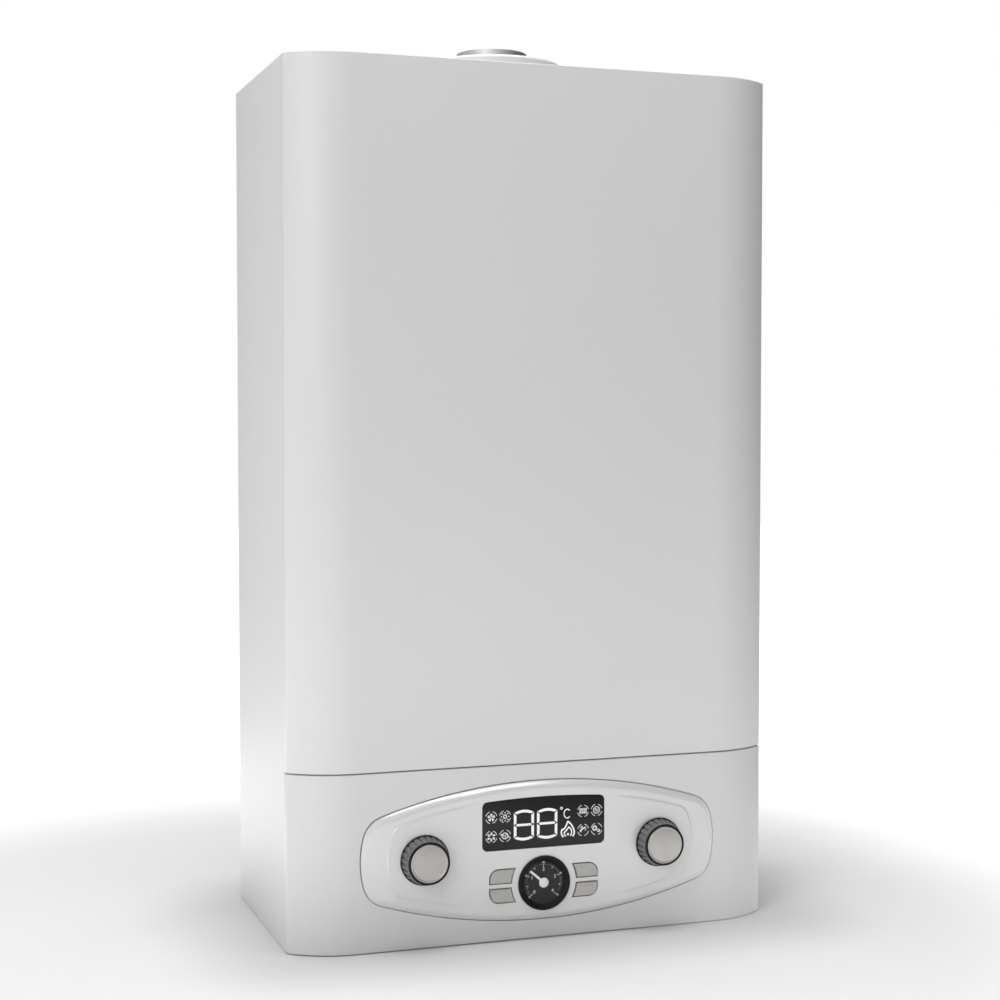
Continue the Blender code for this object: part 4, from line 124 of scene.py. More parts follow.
hang_lamp("overhead_lamp", (0.0, -0.1, 2.3), (0.0, -0.1, 0.0), 1.6, 1.6, 40)
hang_lamp("front_left_lamp", (-1.9, -2.1, 1.7), (0.0, 0.0, 0.35), 1.4, 1.8, 20.5)

FLOOR_RADIUS = 6.0
# This middle lies left of the boiler, so the glow that only the camera sees starts nearer on the right: painted
# light over the boiler's shadow there.
FLOOR_MIDDLE = (-0.12, -0.05, 0)
FLOOR_COLOUR = (0.90, 0.90, 0.90, 1)
FLOOR_WHITE_FROM = 0.42
FLOOR_WHITE_TO = 1.05
BOUNCE_RISE = (0.15, 0.42)
BOUNCE_FALL = (0.60, 1.10)
BOUNCE_LEFT = 1.00
BOUNCE_RIGHT = 0.50
BOUNCE_LEFT_X = -0.40
BOUNCE_RIGHT_X = 0.0
# Footprint, colour and reach of the painted contact shadow round the boiler's foot.
FOOT_HALF = (0.190, 0.085, 0)
PAINTED_FOOT_SHADOW = 0.66
PAINTED_FOOT_SHADOW_REACH = 0.13


def set_down(name, bm):
    """Turns a drawing into an object in the scene."""
    mesh = bpy.data.meshes.new(name)
    bm.to_mesh(mesh)
    bm.free()
    made = bpy.data.objects.new(name, mesh)
    scene.collection.objects.link(made)
    return made


def maths(tree, operation, *values, **settings):
    """Works out one number from others in a shader."""
    return add_node(tree, "Math", dict(enumerate(values)), operation=operation, **settings)["Value"]


def vector_maths(tree, operation, *values, output="Vector"):
    """Works out a vector, or with output Value a length, in a shader."""
    return add_node(tree, "VectorMath", dict(enumerate(values)), operation=operation)[output]


sheet_of_paper = bmesh.new()
bmesh.ops.create_circle(sheet_of_paper, cap_ends=True, segments=96, radius=FLOOR_RADIUS)
floor = set_down("floor", sheet_of_paper)

floor_paper = bpy.data.materials.new("floor_paper")
floor_paper.use_nodes = True
paper = floor_paper.node_tree
place = add_node(paper, "TexCoord")["Object"]
from_middle = vector_maths(paper, "SUBTRACT", place, FLOOR_MIDDLE)
distance = vector_maths(paper, "LENGTH", from_middle, output="Value")
# Glow seen only by the camera: it whitens the far floor, and on the right it paints light over the boiler's
# shadow.
far = soft_ramp(paper, distance, FLOOR_WHITE_FROM, FLOOR_WHITE_TO, 0, 1)
rise = soft_ramp(paper, distance, *BOUNCE_RISE, 0, 1)
fall = soft_ramp(paper, distance, *BOUNCE_FALL, 1, 0)
floor_x = add_node(paper, "SeparateXYZ", {"Vector": place})["X"]
sideways = soft_ramp(paper, floor_x, BOUNCE_LEFT_X, BOUNCE_RIGHT_X, BOUNCE_LEFT, BOUNCE_RIGHT)
bounce = maths(paper, "MULTIPLY", maths(paper, "MULTIPLY", rise, fall), sideways)
seen_by = add_node(paper, "LightPath")["Is Camera Ray"]
glow = add_node(paper, "Mix", {"Factor": seen_by, "A": bounce, "B": far})["Result"]
# Painted contact shadow: the floor's colour is darkened near the boiler's foot.
past_foot = vector_maths(paper, "SUBTRACT", vector_maths(paper, "ABSOLUTE", place), FOOT_HALF)
from_foot = vector_maths(paper, "LENGTH", vector_maths(paper, "MAXIMUM", past_foot), output="Value")
shade = soft_ramp(paper, from_foot, 0, PAINTED_FOOT_SHADOW_REACH, 0, 1)
shades = {"Factor": shade, "A": (PAINTED_FOOT_SHADOW, PAINTED_FOOT_SHADOW, PAINTED_FOOT_SHADOW, 1), "B": FLOOR_COLOUR}
from_below = add_node(paper, "NewGeometry")["Backfacing"]
feed(paper, paper.nodes["Principled BSDF"], {
    "Roughness": 0.9,
    "Specular IOR Level": 0.2,
    "Emission Color": WHITE,
    "Emission Strength": glow,
    "Base Color": add_node(paper, "Mix", shades, data_type="RGBA")["Result"],
    "Alpha": maths(paper, "SUBTRACT", 1, from_below),
})
floor.data.materials.append(floor_paper)


# ------------------------------------------------------------------ Back panel
# Shallow tray of galvanised steel, folded on all four edges, that hangs on two wall
# hooks. Two long ribs are pressed into it so that the thin sheet doesn't drum.

CASE_HALF_WIDTH = 0.205
CASE_TOP = 0.700
CASE_FRONT = -0.0945
CASE_BACK = 0.1135
SHEET = 0.0012
TRAY_HALF_WIDTH = 0.2035
TRAY_TOP = 0.6985
TRAY_FRONT = 0.104
TRAY_SHEET = 0.0015
FOLD = 0.0012
HOOK_SLOT_X = 0.140
HOOK_SLOT_HALF = 0.015
HOOK_SLOT_BOTTOM = 0.641
HOOK_SLOT_TOP = 0.655
HOOK_SLOT_CORNER = 0.003
RIB_X = 0.085
RIB_HALF = 0.016
RIB_BOTTOM = 0.070
RIB_TOP = 0.600
RIB_SLOPE = 0.005
RIB_DEPTH = 0.0018


def surface_group():
    """Patches, fine grain and a height for it, which every finish on the boiler shares."""
    group = bpy.data.node_groups.new("surface_effect", "ShaderNodeTree")
    sockets = {
        "INPUT": {
            "Colour": "Color", "Patch Colour": "Color", "Patches": "Float", "Patch Size": "Float",
            "Grain Size": "Float", "Stretch": "Vector", "Roughness": "Float", "Unevenness": "Float",
        },
        "OUTPUT": {"Colour": "Color", "Roughness": "Float", "Height": "Float"},
    }
    for way, wanted in sockets.items():
        for label, kind in wanted.items():
            group.interface.new_socket(name=label, in_out=way, socket_type="NodeSocket" + kind)
    given = group.nodes.new("NodeGroupInput").outputs
    stretched = vector_maths(group, "MULTIPLY", add_node(group, "TexCoord")["Object"], given["Stretch"])
    noises = []
    for label, detail in (("Patch Size", 3), ("Grain Size", 2)):
        per_metre = maths(group, "DIVIDE", 1, given[label])
        noise = {"Vector": stretched, "Scale": per_metre, "Detail": detail}
        noises.append(add_node(group, "TexNoise", noise)["Fac"])
    patches, grain = noises
    spread = add_node(group, "MapRange", {"Value": patches, "From Min": 0.35, "From Max": 0.65})["Result"]
    amount = maths(group, "MULTIPLY", spread, given["Patches"])
    shades = {"Factor": amount, "A": given["Colour"], "B": given["Patch Colour"]}
    centred = maths(group, "SUBTRACT", maths(group, "ADD", patches, grain), 1)
    uneven = (centred, given["Unevenness"], given["Roughness"])
    feed(group, group.nodes.new("NodeGroupOutput"), {
        "Colour": add_node(group, "Mix", shades, data_type="RGBA")["Result"],
        "Roughness": maths(group, "MULTIPLY_ADD", *uneven, use_clamp=True),
        "Height": grain,
    })
    return group


surface_effect = surface_group()


def finish(
    name, colour, patch_colour, roughness, patches=0.5, patch_size=0.12, grain_size=0.0012,
    grain_depth=0.00001, unevenness=0.08, stretch=(1, 1, 1), metallic=0.0, **others,
):
    """A real finish: two shades in soft patches, a fine grain and an uneven gloss."""
    material = bpy.data.materials.new(name)
    material.use_nodes = True
    tree = material.node_tree
    effect = add_node(tree, "Group", {
        "Colour": (*colour, 1), "Patch Colour": (*patch_colour, 1), "Patches": patches,
        "Patch Size": patch_size, "Grain Size": grain_size, "Stretch": stretch,
        "Roughness": roughness, "Unevenness": unevenness,
    }, node_tree=surface_effect)
    bump = add_node(tree, "Bump", {"Distance": grain_depth, "Height": effect["Height"]})
    shader = tree.nodes["Principled BSDF"]
    feed(tree, shader, {
        "Base Color": effect["Colour"], "Roughness": effect["Roughness"],
        "Normal": bump["Normal"], "Metallic": metallic,
    })
    feed(tree, shader, {socket.replace("_", " "): value for socket, value in others.items()})
    return material


def fit_piece(name, bm, material, slot, *stands_for, body="boiler", crease=30):
    """Puts a made piece in place, in its finish, on the body that carries it."""
    piece = set_down(name, bm)
    mesh = piece.data
    mesh.polygons.foreach_set("use_smooth", [True] * len(mesh.polygons))
    mesh.set_sharp_from_angle(angle=math.radians(crease))
    mesh.materials.append(material)
    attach(piece, body)
    if stands_for:
        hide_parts(*stands_for)


def block(bm, low, high):
    """A rectangular blank between two corners."""
    middle = (Vector(low) + Vector(high)) / 2
    size = Vector(high) - Vector(low)
    place = Matrix.Translation(middle) @ Matrix.Diagonal((*size, 1))
    return bmesh.ops.create_cube(bm, size=1, matrix=place)["verts"]


def soften(bm, radius, segments=2, sharper_than=35, edges=None):
    """Rounds the given edges, or else each edge where the faces meet at a real angle."""
    bm.normal_update()
    if edges is None:
        limit = math.radians(sharper_than)
        edges = [e for e in bm.edges if len(e.link_faces) == 2 and e.calc_face_angle(0) > limit]
    bmesh.ops.bevel(
        bm, geom=edges, offset=radius, offset_type="OFFSET", segments=segments, profile=0.5,
        affect="EDGES", clamp_overlap=True, material=-1,
    )


def edges_to_back(bm, longer_than=0.001):
    """The edges that run from front to back, such as the corners of a plate."""
    return [e for e in bm.edges if abs(e.verts[0].co.y - e.verts[1].co.y) > longer_than]


def faces_towards(bm, way):
    """The flat faces that look one way."""
    bm.normal_update()
    return [face for face in bm.faces if face.normal.dot(Vector(way)) > 0.99]


def open_side(bm, way):
    """Takes away the faces that look one way, so that a blank becomes a folded tray."""
    bmesh.ops.delete(bm, geom=faces_towards(bm, way), context="FACES")


def thicken(bm, wall):
    """Gives a skin its sheet thickness, on the inner side."""
    bm.normal_update()
    bmesh.ops.solidify(bm, geom=bm.faces[:], thickness=wall)


def mark_line(bm, place, normal):
    """Draws a line round a shape where a plane meets it."""
    everything = bm.verts[:] + bm.edges[:] + bm.faces[:]
    bmesh.ops.bisect_plane(bm, geom=everything, plane_co=place, plane_no=normal)


def cutter_of(bm):
    """A loose tool for one cut."""
    bmesh.ops.recalc_face_normals(bm, faces=bm.faces)
    return set_down("cutter", bm)


def cut_out(bm, cutter_bm):
    """Cuts one closed shape out of another and gives back what is left."""
    blank, cutter = cutter_of(bm), cutter_of(cutter_bm)
    change = blank.modifiers.new("cut", "BOOLEAN")
    change.operation = "DIFFERENCE"
    change.solver = "EXACT"
    change.use_self = True
    change.object = cutter
    shape = blank.evaluated_get(bpy.context.evaluated_depsgraph_get())
    left = bmesh.new()
    left.from_mesh(shape.to_mesh())
    shape.to_mesh_clear()
    for tool in (blank, cutter):
        mesh = tool.data
        bpy.data.objects.remove(tool)
        bpy.data.meshes.remove(mesh)
    bmesh.ops.remove_doubles(left, verts=left.verts, dist=1e-7)
    return left


galvanised_steel = finish(
    "galvanised_steel", (0.50, 0.51, 0.52), (0.62, 0.63, 0.64), 0.36,
    patches=0.8, patch_size=0.018, grain_size=0.004, unevenness=0.22, metallic=1.0,
)

tray = bmesh.new()
block(tray, (-TRAY_HALF_WIDTH, TRAY_FRONT, 0), (TRAY_HALF_WIDTH, CASE_BACK, TRAY_TOP))
open_side(tray, (0, -1, 0))
soften(tray, FOLD, 3)
for x in (-RIB_X - RIB_HALF, -RIB_X + RIB_HALF, RIB_X - RIB_HALF, RIB_X + RIB_HALF):
    mark_line(tray, (x, 0, 0), (1, 0, 0))
for z in (RIB_BOTTOM, RIB_TOP):
    mark_line(tray, (0, 0, z), (0, 0, 1))
ribs = [
    face for face in faces_towards(tray, (0, 1, 0))
    if abs(abs(face.calc_center_median().x) - RIB_X) < RIB_HALF
    and RIB_BOTTOM < face.calc_center_median().z < RIB_TOP
]
bmesh.ops.inset_individual(tray, faces=ribs, thickness=RIB_SLOPE, depth=-RIB_DEPTH)
thicken(tray, TRAY_SHEET)
hook_slots = bmesh.new()
for x in (-HOOK_SLOT_X, HOOK_SLOT_X):
    low = (x - HOOK_SLOT_HALF, CASE_BACK - 0.004, HOOK_SLOT_BOTTOM)
    block(hook_slots, low, (x + HOOK_SLOT_HALF, CASE_BACK + 0.002, HOOK_SLOT_TOP))
soften(hook_slots, HOOK_SLOT_CORNER, 4, edges=edges_to_back(hook_slots))
fit_piece("back_tray", cut_out(tray, hook_slots), galvanised_steel, "zinc_steel", "back_panel")


# ------------------------------------------------------------------ Side panels
# White stove-enamelled steel. Each is one sheet, with its front, top and bottom edges
# folded in by 15 mm, and is screwed to the back panel from inside.

SIDE_FLANGE = 0.015
SIDE_FRONT = -0.0672
FOOT_NOTCH = 0.0024

white_paint = finish(
    "white_paint", (0.715, 0.715, 0.712), (0.70, 0.70, 0.697), 0.36,
    patches=0.6, patch_size=0.20, grain_size=0.0016, grain_depth=0.000012, unevenness=0.06,
)

for side, label in ((-1, "left"), (1, "right")):
    panel = bmesh.new()
    near, far = sorted((side * (CASE_HALF_WIDTH - SIDE_FLANGE), side * CASE_HALF_WIDTH))
    block(panel, (near, SIDE_FRONT, 0), (far, CASE_BACK, CASE_TOP))
    open_side(panel, (-side, 0, 0))
    open_side(panel, (0, 1, 0))
    soften(panel, FOLD, 3)
    thicken(panel, SHEET)
    notch = bmesh.new()
    near, far = sorted((side * (CASE_HALF_WIDTH - SIDE_FLANGE - SHEET), side * (CASE_HALF_WIDTH - SHEET)))
    block(notch, (near, TRAY_FRONT - 0.0003, -0.001), (far, CASE_BACK + 0.001, FOOT_NOTCH))
    fit_piece(label + "_side_sheet", cut_out(panel, notch), white_paint, "white_steel", label + "_side_panel")


# ------------------------------------------------------------------ Top panel
# Flat enamelled sheet between the side panels' folded edges. A round hole in it lets
# the combustion air down past the flue pipe.

TOP_HALF_WIDTH = 0.1897
FLUE_PLACE = (0, 0.032)
AIR_HOLE_RADIUS = 0.0488


def on_axis(axis, across, along):
    """A point from its two coordinates across an axis and its place along it."""
    point = list(across)
    point.insert("XYZ".index(axis), along)
    return Vector(point)


def rod(bm, radius, centre, start, stop, axis="Z", steps=64):
    """A round bar along Y or Z; centre gives the two other coordinates."""
    lean = Matrix.Rotation(-math.pi / 2 if axis == "Y" else 0, 4, "X")
    place = Matrix.Translation(on_axis(axis, centre, (start + stop) / 2)) @ lean
    return bmesh.ops.create_cone(
        bm, cap_ends=True, segments=steps, radius1=radius, radius2=radius, depth=stop - start, matrix=place
    )["verts"]


top_sheet = bmesh.new()
block(top_sheet, (-TOP_HALF_WIDTH, SIDE_FRONT, CASE_TOP - SHEET), (TOP_HALF_WIDTH, CASE_BACK, CASE_TOP))
air_hole = bmesh.new()
rod(air_hole, AIR_HOLE_RADIUS, FLUE_PLACE, CASE_TOP - 2 * SHEET, CASE_TOP + SHEET, steps=96)
fit_piece("top_sheet", cut_out(top_sheet, air_hole), white_paint, "white_steel", "top_panel")


# ------------------------------------------------------------------ Flue outlet
# A turned collar for the air duct on a rubber gasket, held by four screws, and inside
# it the drawn aluminium pipe that carries the burnt gas.

COLLAR_RADIUS = 0.060
COLLAR_BORE = 0.050
COLLAR_BOTTOM = 0.7026
COLLAR_TOP = 0.720
COLLAR_CHAMFER = 0.002
PIPE_RADIUS = 0.030
PIPE_WALL = 0.001
PIPE_BOTTOM = 0.6374
PIPE_TOP = 0.730
GASKET_BOTTOM = 0.7003
GASKET_TOP = 0.7023

black_rubber = finish(
    "black_rubber", (0.020, 0.020, 0.020), (0.035, 0.034, 0.033), 0.75,
    patch_size=0.02, grain_size=0.0008, grain_depth=0.00003, unevenness=0.15,
)
spun_aluminium = finish(
    "spun_aluminium", (0.60, 0.61, 0.62), (0.68, 0.69, 0.70), 0.52,
    patch_size=0.03, grain_size=0.0009, unevenness=0.15, stretch=(0.15, 0.15, 4), metallic=1.0,
)


def lathe(bm, profile, centre, axis="Z", steps=64):
    """Spins a profile of (radius, distance along the axis) into a closed turned shape."""
    foot, along = on_axis(axis, centre, 0), on_axis(axis, (0, 0), 1)
    out = Vector((0, 0, 1)) if axis == "X" else Vector((1, 0, 0))
    verts = [bm.verts.new(foot + out * radius + along * height) for radius, height in profile]
    edges = [bm.edges.new(pair) for pair in zip(verts, verts[1:])]
    if profile[0][0] > 0 or profile[-1][0] > 0:
        edges.append(bm.edges.new((verts[-1], verts[0])))
    bmesh.ops.spin(
        bm, geom=verts + edges, cent=foot, axis=along, angle=2 * math.pi, steps=steps, use_merge=True
    )
    bmesh.ops.remove_doubles(bm, verts=bm.verts, dist=1e-7)
    bmesh.ops.recalc_face_normals(bm, faces=bm.faces)


def turned(profile, centre, axis="Z", steps=64, rounding=0, **corners):
    """A piece of its own, turned to a profile and with its corners rounded."""
    bm = bmesh.new()
    lathe(bm, profile, centre, axis, steps)
    if rounding:
        soften(bm, rounding, **corners)
    return bm


def ring(inner, outer, low, high):
    """The profile of a plain ring, or with no inner radius of a disc."""
    return [(inner, low), (outer, low), (outer, high), (inner, high)]


gasket_profile = ring(COLLAR_BORE, COLLAR_RADIUS - 0.0003, GASKET_BOTTOM, GASKET_TOP)
gasket = turned(gasket_profile, FLUE_PLACE, steps=96, rounding=0.0006)
fit_piece("flue_gasket_ring", gasket, black_rubber, "black_rubber", "flue_gasket")
collar = turned([
    (COLLAR_BORE, COLLAR_BOTTOM), (COLLAR_RADIUS, COLLAR_BOTTOM), (COLLAR_RADIUS, COLLAR_TOP - COLLAR_CHAMFER),
    (COLLAR_RADIUS - COLLAR_CHAMFER, COLLAR_TOP), (COLLAR_BORE, COLLAR_TOP),
], FLUE_PLACE, steps=128, rounding=0.0008, segments=3, sharper_than=30)
fit_piece("flue_collar_ring", collar, white_paint, "white_steel", "flue_collar")
pipe_profile = ring(PIPE_RADIUS - PIPE_WALL, PIPE_RADIUS, PIPE_BOTTOM, PIPE_TOP)
pipe = turned(pipe_profile, FLUE_PLACE, steps=96, rounding=0.0003)
fit_piece("flue_pipe", pipe, spun_aluminium, "aluminium", "flue_spigot")


# ------------------------------------------------------------------ Front cover and lower fascia
# Both wrap round the front corners. The cover is one enamelled steel sheet over the
# whole height, hung on hooks; the fascia below it is moulded and carries the controls.

CORNER_RADIUS = 0.076
CORNER_SWEEP = math.radians(41.08)
EDGE_RADIUS = 0.006
RETURN_STRAIGHT = 0.0038
CORNER_X = CASE_HALF_WIDTH - EDGE_RADIUS - (CORNER_RADIUS - EDGE_RADIUS) * math.sin(CORNER_SWEEP)
CORNER_END_Y = CASE_FRONT + CORNER_RADIUS - (CORNER_RADIUS - EDGE_RADIUS) * math.cos(CORNER_SWEEP)
SHEET_END_Y = CORNER_END_Y + RETURN_STRAIGHT
COVER_BOTTOM = 0.1429
FASCIA_TOP = 0.1419
FASCIA_BOTTOM = 0.0006
FASCIA_WALL = 0.0025
COVER_ROUNDING = 0.0008
FASCIA_ROUNDING = 0.0012

white_plastic = finish(
    "white_plastic", (0.715, 0.715, 0.71), (0.70, 0.70, 0.695), 0.33,
    patch_size=0.15, grain_size=0.0007, grain_depth=0.000006, unevenness=0.05,
)


def verts_of(geometry):
    """The points among the things that an operator made."""
    return [item for item in geometry if isinstance(item, bmesh.types.BMVert)]


def arc(bm, ends, centre, axis, angle, steps):
    """Sweeps the last points of a line along an arc and gives the new last points."""
    made = bmesh.ops.spin(bm, geom=ends, cent=centre, axis=axis, angle=angle, steps=steps)
    return verts_of(made["geom_last"])


def run_to(bm, ends, place):
    """Draws a straight line from the last point of a line to a new place."""
    made = bmesh.ops.extrude_vert_indiv(bm, verts=ends)["verts"]
    made[0].co = place
    return made


def complete(bm, axes, old=()):
    """Mirrors an outline that is drawn by half or by quarter, beside what is there already."""
    for axis in axes:
        drawn = [v for v in bm.verts if v not in old] + [e for e in bm.edges if e not in old]
        bmesh.ops.mirror(bm, geom=drawn, matrix=Matrix.Identity(4), merge_dist=1e-6, axis=axis)
    bmesh.ops.remove_doubles(bm, verts=[v for v in bm.verts if v not in old], dist=1e-6)


def fill(bm, rim):
    """Closes a rim with one face."""
    return bmesh.ops.contextual_create(bm, geom=rim)["faces"]


def raise_face(bm, faces, step):
    """Pulls a flat face out into a closed plate."""
    made = bmesh.ops.extrude_face_region(bm, geom=faces)["geom"]
    bmesh.ops.translate(bm, verts=verts_of(made), vec=step)
    bmesh.ops.recalc_face_normals(bm, faces=bm.faces)


def wrapped_sheet(low, high, wall, rounding):
    """A front piece bent round both corners, closed above and below, open to the wall."""
    bm = bmesh.new()
    ends = run_to(bm, [bm.verts.new((0, CASE_FRONT, low))], (CORNER_X, CASE_FRONT, low))
    ends = arc(bm, ends, (CORNER_X, CASE_FRONT + CORNER_RADIUS, low), (0, 0, 1), CORNER_SWEEP, 28)
    tight = (CASE_HALF_WIDTH - EDGE_RADIUS, CORNER_END_Y, low)
    ends = arc(bm, ends, tight, (0, 0, 1), math.pi / 2 - CORNER_SWEEP, 10)
    run_to(bm, ends, (CASE_HALF_WIDTH, SHEET_END_Y, low))
    complete(bm, "X")
    bm.edges.new([vert for vert in bm.verts if len(vert.link_edges) == 1])
    raise_face(bm, fill(bm, bm.edges[:]), (0, 0, high - low))
    open_side(bm, (0, 1, 0))
    rims = [e for e in bm.edges if len(e.link_faces) == 2 and e.verts[0].co.z == e.verts[1].co.z]
    soften(bm, rounding, 3, edges=rims)
    thicken(bm, wall)
    return bm


cover = wrapped_sheet(COVER_BOTTOM, CASE_TOP, SHEET, COVER_ROUNDING)
fit_piece("front_cover_sheet", cover, white_paint, "white_steel", "front_cover", body="cover", crease=40)

BEZEL_CENTRE_Z = 0.0724
BEZEL_SIZE = (0.1507, 0.056, 0.435, 0.078, 0.022)
BEZEL_RIM = 0.008
SHADOW_GROOVE = 0.0008
SHADOW_GROOVE_DEPTH = 0.0015


def barrel_rim(bm, depth, size, inset):
    """Closed barrel outline in the bezel's plane: long arcs, end arcs, rounded corners."""
    half_length, half_height, long_radius, end_radius, corner = size
    crown = Vector((0, half_height - long_radius))
    end = Vector((half_length - end_radius, 0))
    distance = (end - crown).length
    along = ((long_radius - corner) ** 2 - (end_radius - corner) ** 2 + distance**2) / (2 * distance)
    aside = math.sqrt((long_radius - corner) ** 2 - along**2)
    unit = (end - crown) / distance
    middle = crown + unit * along + Vector((unit.y, -unit.x)) * aside
    lean = math.atan2(middle.x, middle.y - crown.y)
    tilt = math.atan2(middle.y, middle.x - end.x)
    old = set(bm.verts) | set(bm.edges)
    ends = [bm.verts.new((0, depth, half_height - inset))]
    turn = (0, 1, 0)
    ends = arc(bm, ends, (crown.x, depth, crown.y), turn, lean, 26)
    ends = arc(bm, ends, (middle.x, depth, middle.y), turn, math.pi / 2 - lean - tilt, 14)
    arc(bm, ends, (end.x, depth, end.y), turn, tilt, 12)
    complete(bm, "ZX", old)
    return [e for e in bm.edges if e not in old]


def plug(outline, front, back, *shape):
    """A closed plate with a given outline, as a piece or as a tool that cuts."""
    bm = bmesh.new()
    raise_face(bm, fill(bm, outline(bm, front, *shape)), (0, back - front, 0))
    return bm


def lift(bm, height):
    """Moves a drawing from the origin up to its place on the panel."""
    bmesh.ops.translate(bm, verts=bm.verts, vec=(0, 0, height))
    return bm


def barrel_plug(inset, front, back):
    """A plug in the shape of the bezel, for the openings behind it."""
    return lift(plug(barrel_rim, front, back, BEZEL_SIZE, inset), BEZEL_CENTRE_Z)


fascia = wrapped_sheet(FASCIA_BOTTOM, FASCIA_TOP, FASCIA_WALL, FASCIA_ROUNDING)
fascia = cut_out(fascia, barrel_plug(-SHADOW_GROOVE, CASE_FRONT - 0.001, CASE_FRONT + SHADOW_GROOVE_DEPTH))
fascia = cut_out(fascia, barrel_plug(BEZEL_RIM, CASE_FRONT - 0.001, CASE_FRONT + 2 * FASCIA_WALL))
fit_piece("fascia_shell", fascia, white_plastic, "white_plastic", "lower_fascia", crease=40)


# ------------------------------------------------------------------ Control bezel
# White moulded frame on the fascia. Its border bends back at both ends, and its middle
# rises from the border there by 1 mm. It has openings for all that is read or pressed.

BEZEL_BACK = -0.0948
BEZEL_FACE = -0.0995
BEZEL_INSIDE = -0.0973
BEZEL_EDGE = 0.0044
BEZEL_EDGE_POWER = 1.6
BEZEL_EDGE_STEPS = 8
FLAT_START = 0.128
FLAT_END = 0.146
FLAT_SHARE = 0.35
END_DROP = 0.0026
BEZEL_STEP = 0.0010
PLATEAU_SIZE = (0.1290, 0.0440, 0.424, 0.060, 0.011)
PLATEAU_SLOPE = 0.0024
PLATEAU_PROFILE = ((1.0, 1.0), (0.8, 0.97), (0.6, 0.75), (0.4, 0.25), (0.2, 0.03), (0.0, 0.0))
FADE_START = 0.055
FADE_END = 0.100
WINDOW_HALF = 0.052
WINDOW_BOTTOM = 0.0752
WINDOW_TOP = 0.1143
WINDOW_ARCH = 0.0018
WINDOW_CORNER = 0.004
WINDOW_THICKNESS = 0.0015
WINDOW_LEDGE = 0.0015
GAUGE_Z = 0.0463
GAUGE_BODY_RADIUS = 0.0195
KNOB_X = 0.100
KNOB_Z = 0.0722
STEM_HOLE_RADIUS = 0.0036
BUTTON_OUTER = 0.046
BUTTON_HOLLOW = 0.028
BUTTON_NEAR = 0.0021
BUTTON_FAR = 0.0134
BUTTON_CORNER = 0.0075
BUTTON_GAP = 0.0006
GAP = 0.0003
AHEAD = BEZEL_FACE - 0.003
THROUGH = BEZEL_BACK + 0.003

glossy_plastic = finish(
    "glossy_plastic", (0.69, 0.69, 0.685), (0.68, 0.68, 0.675), 0.30,
    patch_size=0.15, grain_size=0.0007, grain_depth=0.000003, unevenness=0.04,
    Coat_Weight=1.0, Coat_Roughness=0.18, Coat_IOR=1.8,
)


def eased(amount, x, start, stop):
    """An amount that comes in softly between two distances from the middle."""
    share = min(max((abs(x) - start) / (stop - start), 0), 1)
    return amount * share * share * (3 - 2 * share)


def bezel_shift(x, drop, fall, bend):
    """How far a point goes back: with the border, its rounded edge and its bent ends."""
    border = eased(BEZEL_STEP, x, FADE_START, FADE_END)
    edge = BEZEL_EDGE * (1 - eased(1 - FLAT_SHARE, x, FLAT_START, FLAT_END))
    return drop * border + fall * edge + bend * eased(END_DROP, x, FLAT_START, BEZEL_SIZE[0])


def window_rim(bm, depth, inset):
    """Closed outline of the display window: level foot, arched head, rounded corners."""
    half, corner = WINDOW_HALF - inset, WINDOW_CORNER - inset
    bottom, top, flat = WINDOW_BOTTOM + inset, WINDOW_TOP - inset, WINDOW_HALF - WINDOW_CORNER
    arch_radius = (flat**2 + WINDOW_ARCH**2) / (2 * WINDOW_ARCH)
    ends = run_to(bm, [bm.verts.new((0, depth, bottom))], (flat, depth, bottom))
    ends = arc(bm, ends, (flat, depth, bottom + corner), (0, -1, 0), math.pi / 2, 8)
    ends = run_to(bm, ends, (half, depth, top - corner))
    ends = arc(bm, ends, (flat, depth, top - corner), (0, -1, 0), math.pi / 2, 8)
    arch_centre = (0, depth, top + WINDOW_ARCH - arch_radius)
    arc(bm, ends, arch_centre, (0, -1, 0), math.asin(flat / arch_radius), 16)
    complete(bm, "X")
    return bm.edges[:]


def button_rim(bm, depth, inset, side, level):
    """Closed outline of a button, hollow towards the gauge, big corner away from it."""
    near, far = BUTTON_NEAR + inset, BUTTON_FAR - inset
    hollow, outer, corner = BUTTON_HOLLOW + inset, BUTTON_OUTER - inset, BUTTON_CORNER - inset
    ends = [bm.verts.new((math.sqrt(hollow**2 - near**2), depth, near))]
    ends = run_to(bm, ends, (outer, depth, near))
    ends = run_to(bm, ends, (outer, depth, far - corner))
    ends = arc(bm, ends, (outer - corner, depth, far - corner), (0, -1, 0), math.pi / 2, 12)
    ends = run_to(bm, ends, (math.sqrt(hollow**2 - far**2), depth, far))
    arc(bm, ends, (0, depth, 0), (0, 1, 0), math.asin(far / hollow) - math.asin(near / hollow), 10)
    bmesh.ops.remove_doubles(bm, verts=bm.verts, dist=1e-6)
    bmesh.ops.scale(bm, verts=bm.verts, vec=(side, 1, level))
    lift(bm, GAUGE_Z)
    return bm.edges[:]


